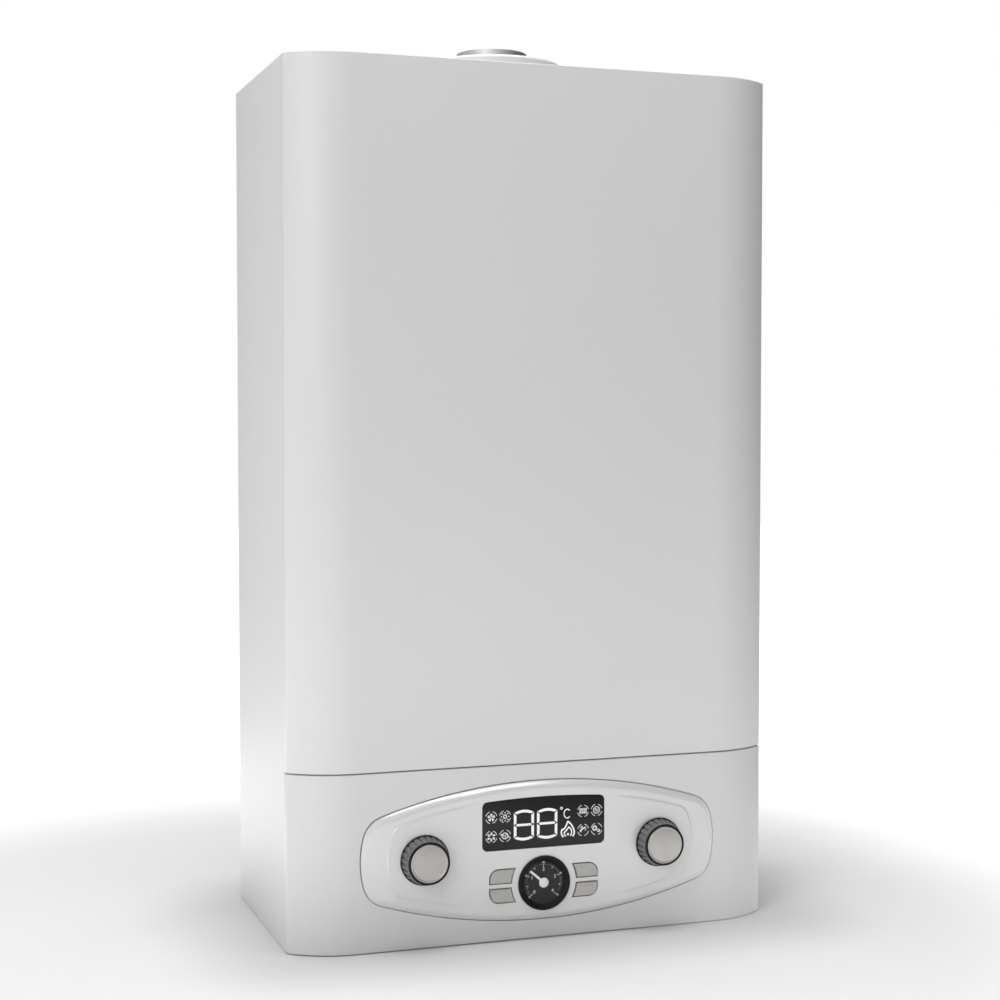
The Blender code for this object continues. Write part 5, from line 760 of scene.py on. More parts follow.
bezel = bmesh.new()
rims = [(barrel_rim(bezel, BEZEL_BACK, BEZEL_SIZE, 0), 0, 0, 0)]
for step in range(BEZEL_EDGE_STEPS + 1):
    angle = math.pi / 2 * step / BEZEL_EDGE_STEPS
    inset = BEZEL_EDGE * (1 - math.cos(angle) ** BEZEL_EDGE_POWER)
    fall = 1 - math.sin(angle) ** BEZEL_EDGE_POWER
    rims.append((barrel_rim(bezel, BEZEL_FACE, BEZEL_SIZE, inset), math.sin(angle), fall, 1))
rims.append((barrel_rim(bezel, BEZEL_FACE, BEZEL_SIZE, BEZEL_EDGE + 0.002), 1, 0, 1))
for out, drop in PLATEAU_PROFILE:
    rims.append((barrel_rim(bezel, BEZEL_FACE, PLATEAU_SIZE, -PLATEAU_SLOPE * out), drop, 0, drop))
for rim, *shares in rims:
    for vert in {v for edge in rim for v in edge.verts}:
        vert.co.y += bezel_shift(vert.co.x, *shares)
for first, second in zip(rims, rims[1:]):
    bmesh.ops.bridge_loops(bezel, edges=first[0] + second[0])
fill(bezel, rims[0][0])
fill(bezel, rims[-1][0])
bmesh.ops.recalc_face_normals(bezel, faces=bezel.faces)
lift(bezel, BEZEL_CENTRE_Z)
hollow = barrel_plug(BEZEL_RIM, BEZEL_INSIDE, BEZEL_BACK + 0.002)
for vert in hollow.verts:
    vert.co.x = min(max(vert.co.x, -FLAT_START), FLAT_START)
round_holes = bmesh.new()
rod(round_holes, GAUGE_BODY_RADIUS + GAP, (0, GAUGE_Z), AHEAD, THROUGH, "Y", 96)
for side in (-1, 1):
    rod(round_holes, STEM_HOLE_RADIUS, (side * KNOB_X, KNOB_Z), AHEAD, THROUGH, "Y", 32)
openings = [
    hollow,
    plug(window_rim, AHEAD, BEZEL_FACE + WINDOW_THICKNESS + GAP, -GAP),
    plug(window_rim, AHEAD, THROUGH, WINDOW_LEDGE),
    round_holes,
]
for side in (-1, 1):
    openings += [plug(button_rim, AHEAD, THROUGH, -BUTTON_GAP, side, level) for level in (-1, 1)]
for opening in openings:
    bezel = cut_out(bezel, opening)
fit_piece("bezel_frame", bezel, glossy_plastic, "white_plastic", "control_bezel", crease=25)


# ------------------------------------------------------------------ Display window
# Smoked acrylic lens, flush with the bezel. Behind it light the two digits and the
# small signs, which are drawn here as thin plates on its face.

smoked_acrylic = finish(
    "smoked_acrylic", (0.017, 0.017, 0.017), (0.021, 0.021, 0.021), 0.30,
    patch_size=0.03, grain_size=0.004, grain_depth=0.0000005, unevenness=0.10, Specular_IOR_Level=0.25,
)
lit_white = finish(
    "lit_white", (0.75, 0.75, 0.75), (0.70, 0.70, 0.70), 0.4, patch_size=0.004, Emission_Strength=0.30,
    Emission_Color=WHITE,
)
dim_white = finish(
    "dim_white", (0.62, 0.62, 0.62), (0.56, 0.56, 0.56), 0.4, patch_size=0.004, Emission_Strength=0.14,
    Emission_Color=WHITE,
)


def front_rim(bm, face):
    """The edges round the foremost face."""
    return [e for e in bm.edges if max(v.co.y for v in e.verts) < face + 0.0001]


window = plug(window_rim, BEZEL_FACE, BEZEL_FACE + WINDOW_THICKNESS, 0)
soften(window, 0.0002, 2, edges=front_rim(window, BEZEL_FACE))
fit_piece("display_lens", window, smoked_acrylic, "smoked_window", "display_window", crease=25)

SIGN_FACE = BEZEL_FACE - 0.00006


def flat_spot(bm, x, z, radius, steps=24):
    """A round spot on the display."""
    place = Matrix.Translation((x, BEZEL_FACE, z)) @ Matrix.Rotation(math.pi / 2, 4, "X")
    return bmesh.ops.create_circle(bm, cap_ends=True, segments=steps, radius=radius, matrix=place)["verts"]


def flat_arc(bm, x, z, inner, outer, start, sweep, steps):
    """A band of a ring on the display; angles in degrees, 0 to the right."""
    spoke = [bm.verts.new((x + reach, BEZEL_FACE, z)) for reach in (inner, outer)]
    edge = bm.edges.new(spoke)
    turn = Matrix.Rotation(-math.radians(start), 3, "Y")
    bmesh.ops.rotate(bm, verts=spoke, cent=(x, BEZEL_FACE, z), matrix=turn)
    bmesh.ops.spin(
        bm, geom=[*spoke, edge], cent=(x, BEZEL_FACE, z), axis=(0, -1, 0), angle=math.radians(sweep),
        steps=steps, use_merge=sweep == 360,
    )


def flat_bar(bm, corners, bow=0.0):
    """A bar of a digit from its four corners, long edges first; bow arches it."""
    face = bm.faces.new([bm.verts.new((x, BEZEL_FACE, z)) for x, z in corners])
    if bow:
        long_edges = [e for e in face.edges if abs(e.verts[0].co.x - e.verts[1].co.x) > 0.004]
        bmesh.ops.subdivide_edges(bm, edges=long_edges, cuts=7, use_grid_fill=True)
        middle = (corners[0][0] + corners[1][0]) / 2
        half = abs(corners[1][0] - corners[0][0]) / 2
        low, high = sorted((corners[0][1], corners[2][1]))
        for vert in bm.verts:
            if abs(vert.co.x - middle) < half + 1e-6 and low - 1e-6 < vert.co.z < high + 1e-6:
                vert.co.z += bow * (1 - ((vert.co.x - middle) / half) ** 2)


def draw_curve(bm, curve, place):
    """Adds a curve or a written number to a drawing, as a mesh."""
    drawn = bpy.data.objects.new("drawn", curve)
    scene.collection.objects.link(drawn)
    mesh = bpy.data.meshes.new_from_object(drawn.evaluated_get(bpy.context.evaluated_depsgraph_get()))
    mesh.transform(place)
    bm.from_mesh(mesh)
    bpy.data.objects.remove(drawn)
    bpy.data.curves.remove(curve)
    bpy.data.meshes.remove(mesh)


def flat_line(bm, points, radius, sharp=()):
    """A drawn line on the display through points in millimetres."""
    curve = bpy.data.curves.new("line", "CURVE")
    curve.dimensions = "3D"
    curve.bevel_depth = radius
    curve.bevel_resolution = 2
    curve.use_fill_caps = True
    spline = curve.splines.new("BEZIER")
    spline.bezier_points.add(len(points) - 1)
    spline.resolution_u = 6
    for number, (point, (x, z)) in enumerate(zip(spline.bezier_points, points)):
        point.co = (x / 1000, 0, z / 1000)
        kind = "VECTOR" if number in sharp else "AUTO"
        point.handle_left_type = kind
        point.handle_right_type = kind
    flatten = Matrix.Translation((0, BEZEL_FACE, 0)) @ Matrix.Diagonal((1, 0.0001 / radius, 1, 1))
    draw_curve(bm, curve, flatten)


def make_plates(bm):
    """Gives everything drawn flat a thickness that stands on the lens."""
    bmesh.ops.remove_doubles(bm, verts=bm.verts, dist=1e-7)
    bmesh.ops.recalc_face_normals(bm, faces=bm.faces)
    raise_face(bm, bm.faces[:], (0, SIGN_FACE - BEZEL_FACE, 0))


BAR = 0.0022
BAR_GAP = 0.00030
DIGIT_TOP = 0.1046
DIGIT_BOTTOM = 0.0838
DIGIT_MIDDLE = 0.0944
DIGIT_BOW = 0.0020
MIDDLE_BAR_HALF = 0.00095
DIGIT_SIDES = ((-0.0257, -0.0086), (-0.0060, 0.0114))
DIGIT_ENDS = ((DIGIT_TOP, 1), (DIGIT_BOTTOM, -1))
DEGREE_PLACE = (0.0150, 0.1056)
LETTER_PLACE = (0.0200, 0.1009)

digits = bmesh.new()
for left, right in DIGIT_SIDES:
    for side, edge in ((1, left), (-1, right)):
        inner = edge + side * BAR
        for end, way in DIGIT_ENDS:
            near = DIGIT_MIDDLE + way * BAR_GAP
            flat_bar(digits, [
                (edge, near), (edge, end - way * BAR_GAP * 1.5),
                (inner, end - way * (BAR + BAR_GAP)), (inner, near + way * BAR * 0.55),
            ])
    for end, way in DIGIT_ENDS:
        flat_bar(digits, [
            (left + BAR_GAP * 1.5, end), (right - BAR_GAP * 1.5, end),
            (right - BAR - BAR_GAP, end - way * BAR), (left + BAR + BAR_GAP, end - way * BAR),
        ], bow=way * DIGIT_BOW)
    left, right = left + BAR * 0.75, right - BAR * 0.75
    inner_left, inner_right = left + BAR * 0.45, right - BAR * 0.45
    over, under = DIGIT_MIDDLE + MIDDLE_BAR_HALF, DIGIT_MIDDLE - MIDDLE_BAR_HALF
    flat_bar(digits, [
        (inner_left, over), (inner_right, over), (right, DIGIT_MIDDLE),
        (inner_right, under), (inner_left, under), (left, DIGIT_MIDDLE),
    ])
flat_arc(digits, *DEGREE_PLACE, 0.00055, 0.00115, 0, 360, 20)
before_letter = set(digits.verts)
flat_arc(digits, *LETTER_PLACE, 0.0031, 0.0040, 42, 276, 28)
letter = [vert for vert in digits.verts if vert not in before_letter]
narrowed = Matrix.Translation((-LETTER_PLACE[0], 0, -LETTER_PLACE[1]))
bmesh.ops.scale(digits, verts=letter, vec=(0.80, 1, 1.0), space=narrowed)
make_plates(digits)
fit_piece("display_digits", digits, lit_white, "button_grey")

SIGN_X = (-0.0447, -0.0331, 0.0337, 0.0454)
SIGN_Z = (0.1021, 0.0866)

signs = bmesh.new()
for x in SIGN_X:
    for z in SIGN_Z:
        for quarter in range(4):
            flat_arc(signs, x, z, 0.00445, 0.00500, 90 * quarter + 15, 60, 10)
fan_x, sun_x, radiator_x, clock_x = SIGN_X
upper_z, lower_z = SIGN_Z
for blade in range(5):
    flat_arc(signs, fan_x, upper_z, 0.0006, 0.0031, 66 + 72 * blade, 48, 5)
flat_arc(signs, sun_x, upper_z, 0.0009, 0.0018, 0, 360, 20)
for ray in range(8):
    angle = math.pi / 4 * ray
    flat_spot(signs, sun_x + 0.0032 * math.cos(angle), upper_z + 0.0032 * math.sin(angle), 0.00055, 12)
for lobe in range(6):
    angle = math.pi / 3 * lobe + math.pi / 2
    centre = (fan_x + 0.0025 * math.cos(angle), BEZEL_FACE, lower_z + 0.0025 * math.sin(angle))
    leaf = flat_spot(signs, centre[0], centre[2], 0.0010, 16)
    lean = Matrix.Rotation(-(angle - 0.45), 3, "Y")
    bmesh.ops.scale(signs, verts=leaf, vec=(1.35, 1, 0.82), space=Matrix.Translation(-Vector(centre)))
    bmesh.ops.rotate(signs, verts=leaf, cent=centre, matrix=lean)
flat_arc(signs, sun_x, lower_z, 0.0019, 0.0028, 0, 360, 28)
for blade in range(3):
    flat_arc(signs, sun_x, lower_z, 0.0003, 0.0015, 120 * blade + 15, 62, 5)
flat_spot(signs, sun_x - 0.0030, lower_z + 0.0009, 0.0008, 12)
flat_spot(signs, sun_x + 0.0030, lower_z - 0.0009, 0.0008, 12)
for column in range(4):
    x = radiator_x + 0.00175 * (column - 1.5)
    top, foot = upper_z + 0.0024, upper_z - 0.0023
    flat_bar(signs, [(x - 0.0005, top), (x + 0.0005, top), (x + 0.0005, foot), (x - 0.0005, foot)])
    if column < 3:
        for z in (upper_z + 0.0015, upper_z - 0.0012):
            low, high = z - 0.0003, z + 0.0003
            flat_bar(signs, [(x + 0.0005, high), (x + 0.00125, high), (x + 0.00125, low), (x + 0.0005, low)])
flat_arc(signs, clock_x, upper_z, 0.0025, 0.0032, 22.5, 360, 8)
flat_arc(signs, clock_x, upper_z, 0.0014, 0.00175, 0, 360, 24)
flat_line(signs, [(44.5, 103.0), (46.2, 101.3)], 0.00042)
flat_line(signs, [(31.5, 84.9), (31.9, 86.6), (33.4, 87.7), (36.0, 88.6)], 0.00072)
flat_line(signs, [(31.2, 88.6), (33.4, 89.5)], 0.00045)
flat_line(signs, [(35.1, 86.0), (36.7, 87.3)], 0.00025)
flat_arc(signs, 0.0438, 0.0874, 0.0009, 0.0022, 0, 360, 24)
flat_arc(signs, 0.0472, 0.0852, 0.0005, 0.0014, 0, 360, 18)
make_plates(signs)
flame_lines = bmesh.new()
flat_line(flame_lines, [
    (24.6, 82.1), (25.7, 83.6), (26.1, 85.5), (25.6, 87.7), (24.1, 90.8), (22.5, 92.9), (20.5, 94.6),
    (19.7, 92.7), (18.6, 90.4), (17.4, 88.8), (16.1, 87.8), (15.6, 88.5), (15.0, 86.8),
    (15.0, 85.3), (15.6, 83.4), (16.6, 82.0),
], 0.00062, sharp=(6, 10, 11))
flat_line(flame_lines, [
    (22.7, 82.6), (23.6, 84.4), (23.7, 86.3), (22.8, 88.5), (21.4, 89.9), (20.3, 88.5), (18.9, 86.9),
    (17.8, 85.9), (17.5, 84.4), (18.5, 82.4),
], 0.00052, sharp=(4,))
flat_line(flame_lines, [(20.9, 85.0), (20.4, 83.2)], 0.00075)
fit_piece("flame_sign", flame_lines, lit_white, "button_grey")
fit_piece("display_signs", signs, dim_white, "button_grey")


# ------------------------------------------------------------------ Pressure gauge
# A bought-in gauge: black moulded case with a sloping rim, a printed dial, a needle
# pressed on the pin of its movement, and a clear lens snapped into the case.

GAUGE_RADIUS = 0.0221
GAUGE_FRONT = -0.1013
GAUGE_CASE_BACK = -0.0773
GAUGE_BORE = 0.0183
DIAL_FACE = -0.0984
DIAL_BACK = -0.0978
NEEDLE_ANGLE = math.radians(49)
NEEDLE_LENGTH = 0.0157
NEEDLE_HUB_RADIUS = 0.004
NEEDLE_FRONT = -0.1004
NEEDLE_BACK = -0.0992
NEEDLE_PIN_BACK = -0.0955
LENS_FRONT = -0.1016
LENS_EDGE = -0.1005
LENS_THICKNESS = 0.0006
PIN_HOLE = 0.0012
PIN_RADIUS = 0.0009
MINOR_MARKS = 10
SCALE_ANGLES = tuple(math.radians(133 - 66.5 * bar) for bar in range(5))

black_plastic = finish(
    "black_plastic", (0.014, 0.014, 0.014), (0.020, 0.020, 0.020), 0.34,
    patch_size=0.02, grain_size=0.0006, grain_depth=0.000006,
)
matt_black = finish(
    "matt_black", (0.008, 0.008, 0.008), (0.011, 0.011, 0.011), 0.5,
    patch_size=0.02, grain_size=0.0006, grain_depth=0.000006, Specular_IOR_Level=0.2,
)
printed_dial = finish(
    "printed_dial", (0.020, 0.020, 0.021), (0.025, 0.025, 0.025), 0.6,
    patch_size=0.01, grain_size=0.0005, grain_depth=0.000004,
)
dial_ink = finish("dial_ink", (0.74, 0.74, 0.72), (0.62, 0.62, 0.60), 0.6, patch_size=0.002)
# The needle's faint emission is painted light: the needle is no lamp, and it glows only to look brighter under
# the lens.
needle_white = finish(
    "needle_white", (0.93, 0.93, 0.91), (0.88, 0.88, 0.86), 0.35, patch_size=0.004, Emission_Strength=0.10,
    Emission_Color=WHITE,
)
gauge_glass = finish(
    "gauge_glass", (0.02, 0.02, 0.02), (0.03, 0.03, 0.03), 0.04, grain_depth=0.0, unevenness=0.02, Alpha=0.06,
)

case = turned([
    (PIN_HOLE, DIAL_BACK + 0.0003),
    (GAUGE_BORE - 0.0009, DIAL_BACK + 0.0003),
    (GAUGE_BORE - 0.0009, DIAL_FACE - 0.0002),
    (GAUGE_BORE - 0.0002, DIAL_FACE - 0.0012),
    (GAUGE_BORE + 0.0004, GAUGE_FRONT + 0.0012),
    (GAUGE_RADIUS - 0.0012, GAUGE_FRONT),
    (GAUGE_RADIUS - 0.0005, GAUGE_FRONT),
    (GAUGE_RADIUS, GAUGE_FRONT + 0.0005),
    (GAUGE_RADIUS, BEZEL_FACE - 0.0003),
    (GAUGE_BODY_RADIUS, BEZEL_FACE - 0.0003),
    (GAUGE_BODY_RADIUS, GAUGE_CASE_BACK),
    (PIN_HOLE, GAUGE_CASE_BACK),
], (0, GAUGE_Z), "Y", 96, rounding=0.00022, sharper_than=20)
fit_piece("gauge_housing", case, matt_black, "black_plastic", "gauge_case")

dial = turned([
    (PIN_HOLE, DIAL_BACK), (PIN_HOLE, DIAL_FACE),
    (GAUGE_BORE - 0.0011, DIAL_FACE), (GAUGE_BORE - 0.0011, DIAL_BACK),
], (0, GAUGE_Z), "Y", 72, rounding=0.0001, segments=1)
fit_piece("gauge_face", dial, printed_dial, "dial_face", "gauge_dial")


def radial_mark(bm, angle, inner, outer, width):
    """One printed line of the scale."""
    low, high = (-width / 2, DIAL_FACE - 0.00004, inner), (width / 2, DIAL_FACE, outer)
    turn = Matrix.Rotation(-angle, 3, "Y")
    bmesh.ops.rotate(bm, verts=block(bm, low, high), cent=(0, 0, 0), matrix=turn)


def printed_number(bm, text, size, angle, reach):
    """A printed number that stands upright on the dial."""
    letters = bpy.data.curves.new("number", "FONT")
    letters.body = text
    letters.size = size
    letters.align_x = "CENTER"
    letters.align_y = "CENTER"
    letters.extrude = 0.00003
    letters.offset = 0.00009
    centre = Matrix.Translation((-math.sin(angle) * reach, DIAL_FACE - 0.00002, math.cos(angle) * reach))
    draw_curve(bm, letters, centre @ Matrix.Rotation(math.pi / 2, 4, "X"))


scale = bmesh.new()
for bar, angle in enumerate(SCALE_ANGLES):
    radial_mark(scale, angle, 0.0128, 0.0152, 0.00050)
    printed_number(scale, str(bar), 0.0038, angle, 0.0107)
    printed_number(scale, str(15 * bar), 0.0021, angle, 0.0163)
for first, second in zip(SCALE_ANGLES, SCALE_ANGLES[1:]):
    for mark in range(1, MINOR_MARKS):
        angle = first + (second - first) * mark / MINOR_MARKS
        half_bar = mark * 2 == MINOR_MARKS
        inner, width = (0.0131, 0.00060) if half_bar else (0.0144, 0.00026)
        radial_mark(scale, angle, inner, 0.0150, width)
lift(scale, GAUGE_Z)
fit_piece("gauge_scale", scale, dial_ink, "needle_white")


def join(bm, other):
    """Adds one drawing to another."""
    mesh = bpy.data.meshes.new("joined")
    other.to_mesh(mesh)
    other.free()
    bm.from_mesh(mesh)
    bpy.data.meshes.remove(mesh)


needle = turned([
    (0, NEEDLE_FRONT), (NEEDLE_HUB_RADIUS * 0.5, NEEDLE_FRONT + 0.00008),
    (NEEDLE_HUB_RADIUS * 0.8, NEEDLE_FRONT + 0.0003), (NEEDLE_HUB_RADIUS, NEEDLE_FRONT + 0.0008),
    (NEEDLE_HUB_RADIUS, NEEDLE_BACK), (PIN_RADIUS, NEEDLE_BACK), (PIN_RADIUS, NEEDLE_PIN_BACK),
    (0, NEEDLE_PIN_BACK),
], (0, 0), "Y", 48)
pointer = bmesh.new()
block(pointer, (-0.0010, NEEDLE_FRONT + 0.0002, 0), (0.0010, NEEDLE_FRONT + 0.0008, NEEDLE_LENGTH))
soften(pointer, 0.00085, 5, edges=[e for e in edges_to_back(pointer, 0.0001) if e.verts[0].co.z > 0.01])
for vert in pointer.verts:
    vert.co.x *= 1 - 0.12 * vert.co.z / NEEDLE_LENGTH
turn = Matrix.Rotation(-NEEDLE_ANGLE, 3, "Y")
bmesh.ops.rotate(pointer, verts=pointer.verts, cent=(0, 0, 0), matrix=turn)
join(needle, pointer)
lift(needle, GAUGE_Z)
fit_piece("gauge_pointer", needle, needle_white, "needle_white", "gauge_needle", body="needle")

glass = turned([
    (0, LENS_FRONT + LENS_THICKNESS), (0, LENS_FRONT), (GAUGE_BORE * 0.5, LENS_FRONT + 0.0001),
    (GAUGE_BORE * 0.8, LENS_FRONT + 0.0003), (GAUGE_BORE - 0.0002, LENS_EDGE),
    (GAUGE_BORE - 0.0004, LENS_EDGE + LENS_THICKNESS), (GAUGE_BORE * 0.8, LENS_FRONT + 0.0003 + LENS_THICKNESS),
], (0, GAUGE_Z), "Y", 72)
fit_piece("gauge_glass_disc", glass, gauge_glass, "clear_glass", "gauge_lens")


# ------------------------------------------------------------------ Push buttons
# Four warm grey keys, moulded with a collar and a stem behind the bezel. The upper
# edge of each face slopes back, so that it catches the light.

BUTTON_FACE = -0.1007
BUTTON_COLLAR_FRONT = -0.0970
BUTTON_COLLAR = 0.0010
BUTTON_SLOPE = 0.0026
BUTTON_SLOPE_DROP = 0.0008
BUTTON_STEM_RADIUS = 0.0018
BUTTON_STEM_BACK = -0.0843

warm_grey_plastic = finish(
    "warm_grey_plastic", (0.47, 0.455, 0.435), (0.44, 0.43, 0.41), 0.30,
    patch_size=0.012, grain_size=0.0006, grain_depth=0.000006,
)

for side, across in ((-1, "left"), (1, "right")):
    for level, above in ((1, "upper"), (-1, "lower")):
        key = plug(button_rim, BUTTON_FACE, BUTTON_COLLAR_FRONT + 0.0005, 0.0005, side, level)
        posts = [e for e in edges_to_back(key) if e.calc_face_angle(0) > 0.6]
        soften(key, 0.0005, 3, edges=posts)
        soften(key, 0.0003, 3, edges=front_rim(key, BUTTON_FACE))
        highest = max(vert.co.z for vert in key.verts)
        mark_line(key, (0, 0, highest - BUTTON_SLOPE), (0, 0, 1))
        for vert in key.verts:
            share = (vert.co.z - highest + BUTTON_SLOPE) / BUTTON_SLOPE
            if share > 0 and vert.co.y < BEZEL_FACE:
                vert.co.y += BUTTON_SLOPE_DROP * share
        collar_back = BUTTON_COLLAR_FRONT + BUTTON_COLLAR
        collar = plug(button_rim, BUTTON_COLLAR_FRONT, collar_back, -BUTTON_COLLAR, side, level)
        middle = (BUTTON_OUTER + BUTTON_HOLLOW) / 2
        stem_place = (side * middle, GAUGE_Z + level * (BUTTON_NEAR + BUTTON_FAR) / 2)
        rod(collar, BUTTON_STEM_RADIUS, stem_place, BUTTON_COLLAR_FRONT + 0.0005, BUTTON_STEM_BACK, "Y", 20)
        for bm in (key, collar):
            bmesh.ops.recalc_face_normals(bm, faces=bm.faces)
        join(key, collar)
        name = above + "_" + across
        fit_piece(
            name + "_key_cap", key, warm_grey_plastic, "button_grey", name + "_button",
            body=name + "_key", crease=12,
        )


# ------------------------------------------------------------------ Rotary knobs
# Grey moulded knob with grip notches in the half near its black base ring, a black
# front ring, and a satin metal cap with a raised rim pressed into it.

KNOB_BACK = -0.0999
KNOB_BASE_FRONT = -0.1011
KNOB_RING_BACK = -0.1119
KNOB_FACE = -0.1135
KNOB_BASE_RADIUS = 0.0200
KNOB_SKIRT_RADIUS = 0.0192
KNOB_RING_RADIUS = 0.0168
CAP_RADIUS = 0.0152
STEM_RADIUS = 0.0030
STEM_BACK = -0.0800
NOTCHES = 24
NOTCH_FRONT = -0.1095
NOTCH_INSIDE = 0.0172

knob_grey = finish(
    "knob_grey", (0.150, 0.150, 0.150), (0.130, 0.130, 0.130), 0.40,
    patch_size=0.008, grain_size=0.0007,
)
satin_silver = finish(
    "satin_silver", (0.47, 0.452, 0.43), (0.43, 0.415, 0.395), 0.36,
    patch_size=0.008, grain_size=0.0004, grain_depth=0.000003, unevenness=0.1, metallic=0.75,
)

for side, across in ((-1, "left"), (1, "right")):
    place = (side * KNOB_X, KNOB_Z)
    body = across + "_control"
    skirt = turned([
        (STEM_RADIUS, KNOB_BASE_FRONT + 0.0002),
        (KNOB_SKIRT_RADIUS, KNOB_BASE_FRONT + 0.0002),
        (KNOB_SKIRT_RADIUS, KNOB_BASE_FRONT),
        (KNOB_SKIRT_RADIUS - 0.0010, -0.1055),
        (KNOB_SKIRT_RADIUS - 0.0016, NOTCH_FRONT),
        (KNOB_RING_RADIUS + 0.0003, KNOB_RING_BACK),
        (STEM_RADIUS, KNOB_RING_BACK),
    ], place, "Y", 6 * NOTCHES)
    skirt.normal_update()
    notched = []
    for face in skirt.faces:
        middle = face.calc_center_median()
        turn = math.atan2(middle.z - KNOB_Z, middle.x - place[0]) / (2 * math.pi) * NOTCHES
        outside = math.hypot(middle.x - place[0], middle.z - KNOB_Z) > NOTCH_INSIDE
        if outside and NOTCH_FRONT < middle.y < KNOB_BASE_FRONT - 0.0001 and turn % 1 < 1 / 3:
            notched.append(face)
    bmesh.ops.inset_region(skirt, faces=notched, thickness=0.00015, depth=-0.0008, use_even_offset=True)
    fit_piece(across + "_knob_skirt", skirt, knob_grey, "grey_plastic", across + "_knob", body=body, crease=25)
    rings = turned(ring(STEM_RADIUS, KNOB_BASE_RADIUS, KNOB_BACK, KNOB_BASE_FRONT), place, "Y", 96)
    lathe(rings, ring(CAP_RADIUS, KNOB_RING_RADIUS, KNOB_RING_BACK, KNOB_FACE + 0.0002), place, "Y", 96)
    soften(rings, 0.00035, 3)
    rod(rings, STEM_RADIUS, place, KNOB_BASE_FRONT, STEM_BACK, "Y", 32)
    fit_piece(across + "_knob_rings", rings, matt_black, "black_plastic", body=body)
    cap = turned([
        (0, KNOB_FACE + 0.0014), (0, KNOB_FACE + 0.0004), (CAP_RADIUS - 0.0022, KNOB_FACE + 0.00035),
        (CAP_RADIUS - 0.0016, KNOB_FACE + 0.00045), (CAP_RADIUS - 0.0011, KNOB_FACE),
        (CAP_RADIUS - 0.0005, KNOB_FACE), (CAP_RADIUS - 0.0001, KNOB_FACE + 0.0003),
        (CAP_RADIUS - 0.0001, KNOB_FACE + 0.0014),
    ], place, "Y", 96, rounding=0.00008, sharper_than=15)
    fit_piece(
        across + "_knob_plate", cap, satin_silver, "satin_silver", across + "_knob_cap", body=body, crease=40,
    )


# ------------------------------------------------------------------ Sealed chamber
# Galvanised steel box round the fire. Its front edge is turned in all round, and the
# pressed cover is screwed to that edge over a seal, with a sight glass in its middle.

CHAMBER_HALF = 0.1885
CHAMBER_FRONT = -0.0790
CHAMBER_BACK = 0.1037
CHAMBER_BOTTOM = 0.262
CHAMBER_LIP = 0.012
COVER_FRONT = -0.0805
COVER_RIM = 0.018
COVER_PRESSING = 0.004
COVER_SLOPE = 0.003
FIELD_RIM = 0.016
FIELD_DEPTH = 0.0014
FIELD_SLOPE = 0.004
SIGHT_Z = 0.400
SIGHT_RADIUS = 0.012
SIGHT_RIM = 0.015
SCREW_RADIUS = 0.0036
SCREW_HEIGHT = 0.0020
STUB_X = 0.160
FLOW_Y = 0.021
RETURN_Y = -0.035
GAS_PIPE_Y = -0.0685
THICK_PIPE = 0.009
THIN_PIPE = 0.007
PASSAGE_GAP = 0.0006

plated_steel = finish(
    "plated_steel", (0.55, 0.56, 0.57), (0.47, 0.48, 0.50), 0.34,
    patch_size=0.05, grain_size=0.002, unevenness=0.15, metallic=1.0,
)
sight_glass_clear = finish(
    "sight_glass_clear", (0.95, 0.96, 0.95), (0.90, 0.92, 0.91), 0.03, grain_depth=0.0, unevenness=0.02,
    Transmission_Weight=1.0, IOR=1.45,
)

chamber = bmesh.new()
block(chamber, (-CHAMBER_HALF, CHAMBER_FRONT, CHAMBER_BOTTOM), (CHAMBER_HALF, CHAMBER_BACK, TRAY_TOP))
mouth = faces_towards(chamber, (0, -1, 0))
bmesh.ops.inset_region(chamber, faces=mouth, thickness=CHAMBER_LIP, use_even_offset=True)
bmesh.ops.delete(chamber, geom=mouth, context="FACES")
folds = [e for e in chamber.edges if len(e.link_faces) == 2 and e.calc_face_angle(0) > 1]
soften(chamber, 0.0018, 3, edges=folds)
thicken(chamber, SHEET)
passages = bmesh.new()
rod(passages, AIR_HOLE_RADIUS, FLUE_PLACE, TRAY_TOP - 2 * SHEET, TRAY_TOP + SHEET, steps=96)
for place, radius in (
    ((0, GAS_PIPE_Y), THIN_PIPE), ((-STUB_X, FLOW_Y), THICK_PIPE), ((STUB_X, RETURN_Y), THICK_PIPE),
):
    rod(passages, radius + PASSAGE_GAP, place, CHAMBER_BOTTOM - SHEET, CHAMBER_BOTTOM + 2 * SHEET, steps=32)
chamber = cut_out(chamber, passages)
fit_piece("chamber_box", chamber, galvanised_steel, "zinc_steel", "sealed_chamber")


def front_skin(bm, low, high, y):
    """One flat face that looks forward, to press a shape into."""
    block(bm, (low[0], y, low[1]), (high[0], y + 0.01, high[1]))
    bm.normal_update()
    bmesh.ops.delete(bm, geom=[face for face in bm.faces if face.normal.y > -0.99], context="FACES")
    return bm.faces[:]


lid = bmesh.new()
field = front_skin(lid, (-CHAMBER_HALF, CHAMBER_BOTTOM), (CHAMBER_HALF, TRAY_TOP), COVER_FRONT)
bmesh.ops.inset_region(lid, faces=field, thickness=COVER_RIM, use_even_offset=True, use_boundary=True)
bmesh.ops.inset_region(lid, faces=field, thickness=COVER_SLOPE, depth=COVER_PRESSING, use_even_offset=True)
bmesh.ops.inset_region(lid, faces=field, thickness=FIELD_RIM, use_even_offset=True)
bmesh.ops.inset_region(lid, faces=field, thickness=FIELD_SLOPE, depth=-FIELD_DEPTH, use_even_offset=True)
lid.normal_update()
corners = [e for e in lid.edges if len(e.link_faces) == 2 and 0.1 < e.calc_face_angle(0) < 0.9]
soften(lid, 0.0016, 3, edges=corners)
thicken(lid, SHEET)
sight_hole = bmesh.new()
rod(sight_hole, SIGHT_RADIUS, (0, SIGHT_Z), COVER_FRONT - 0.01, COVER_FRONT + 0.01, "Y", 48)
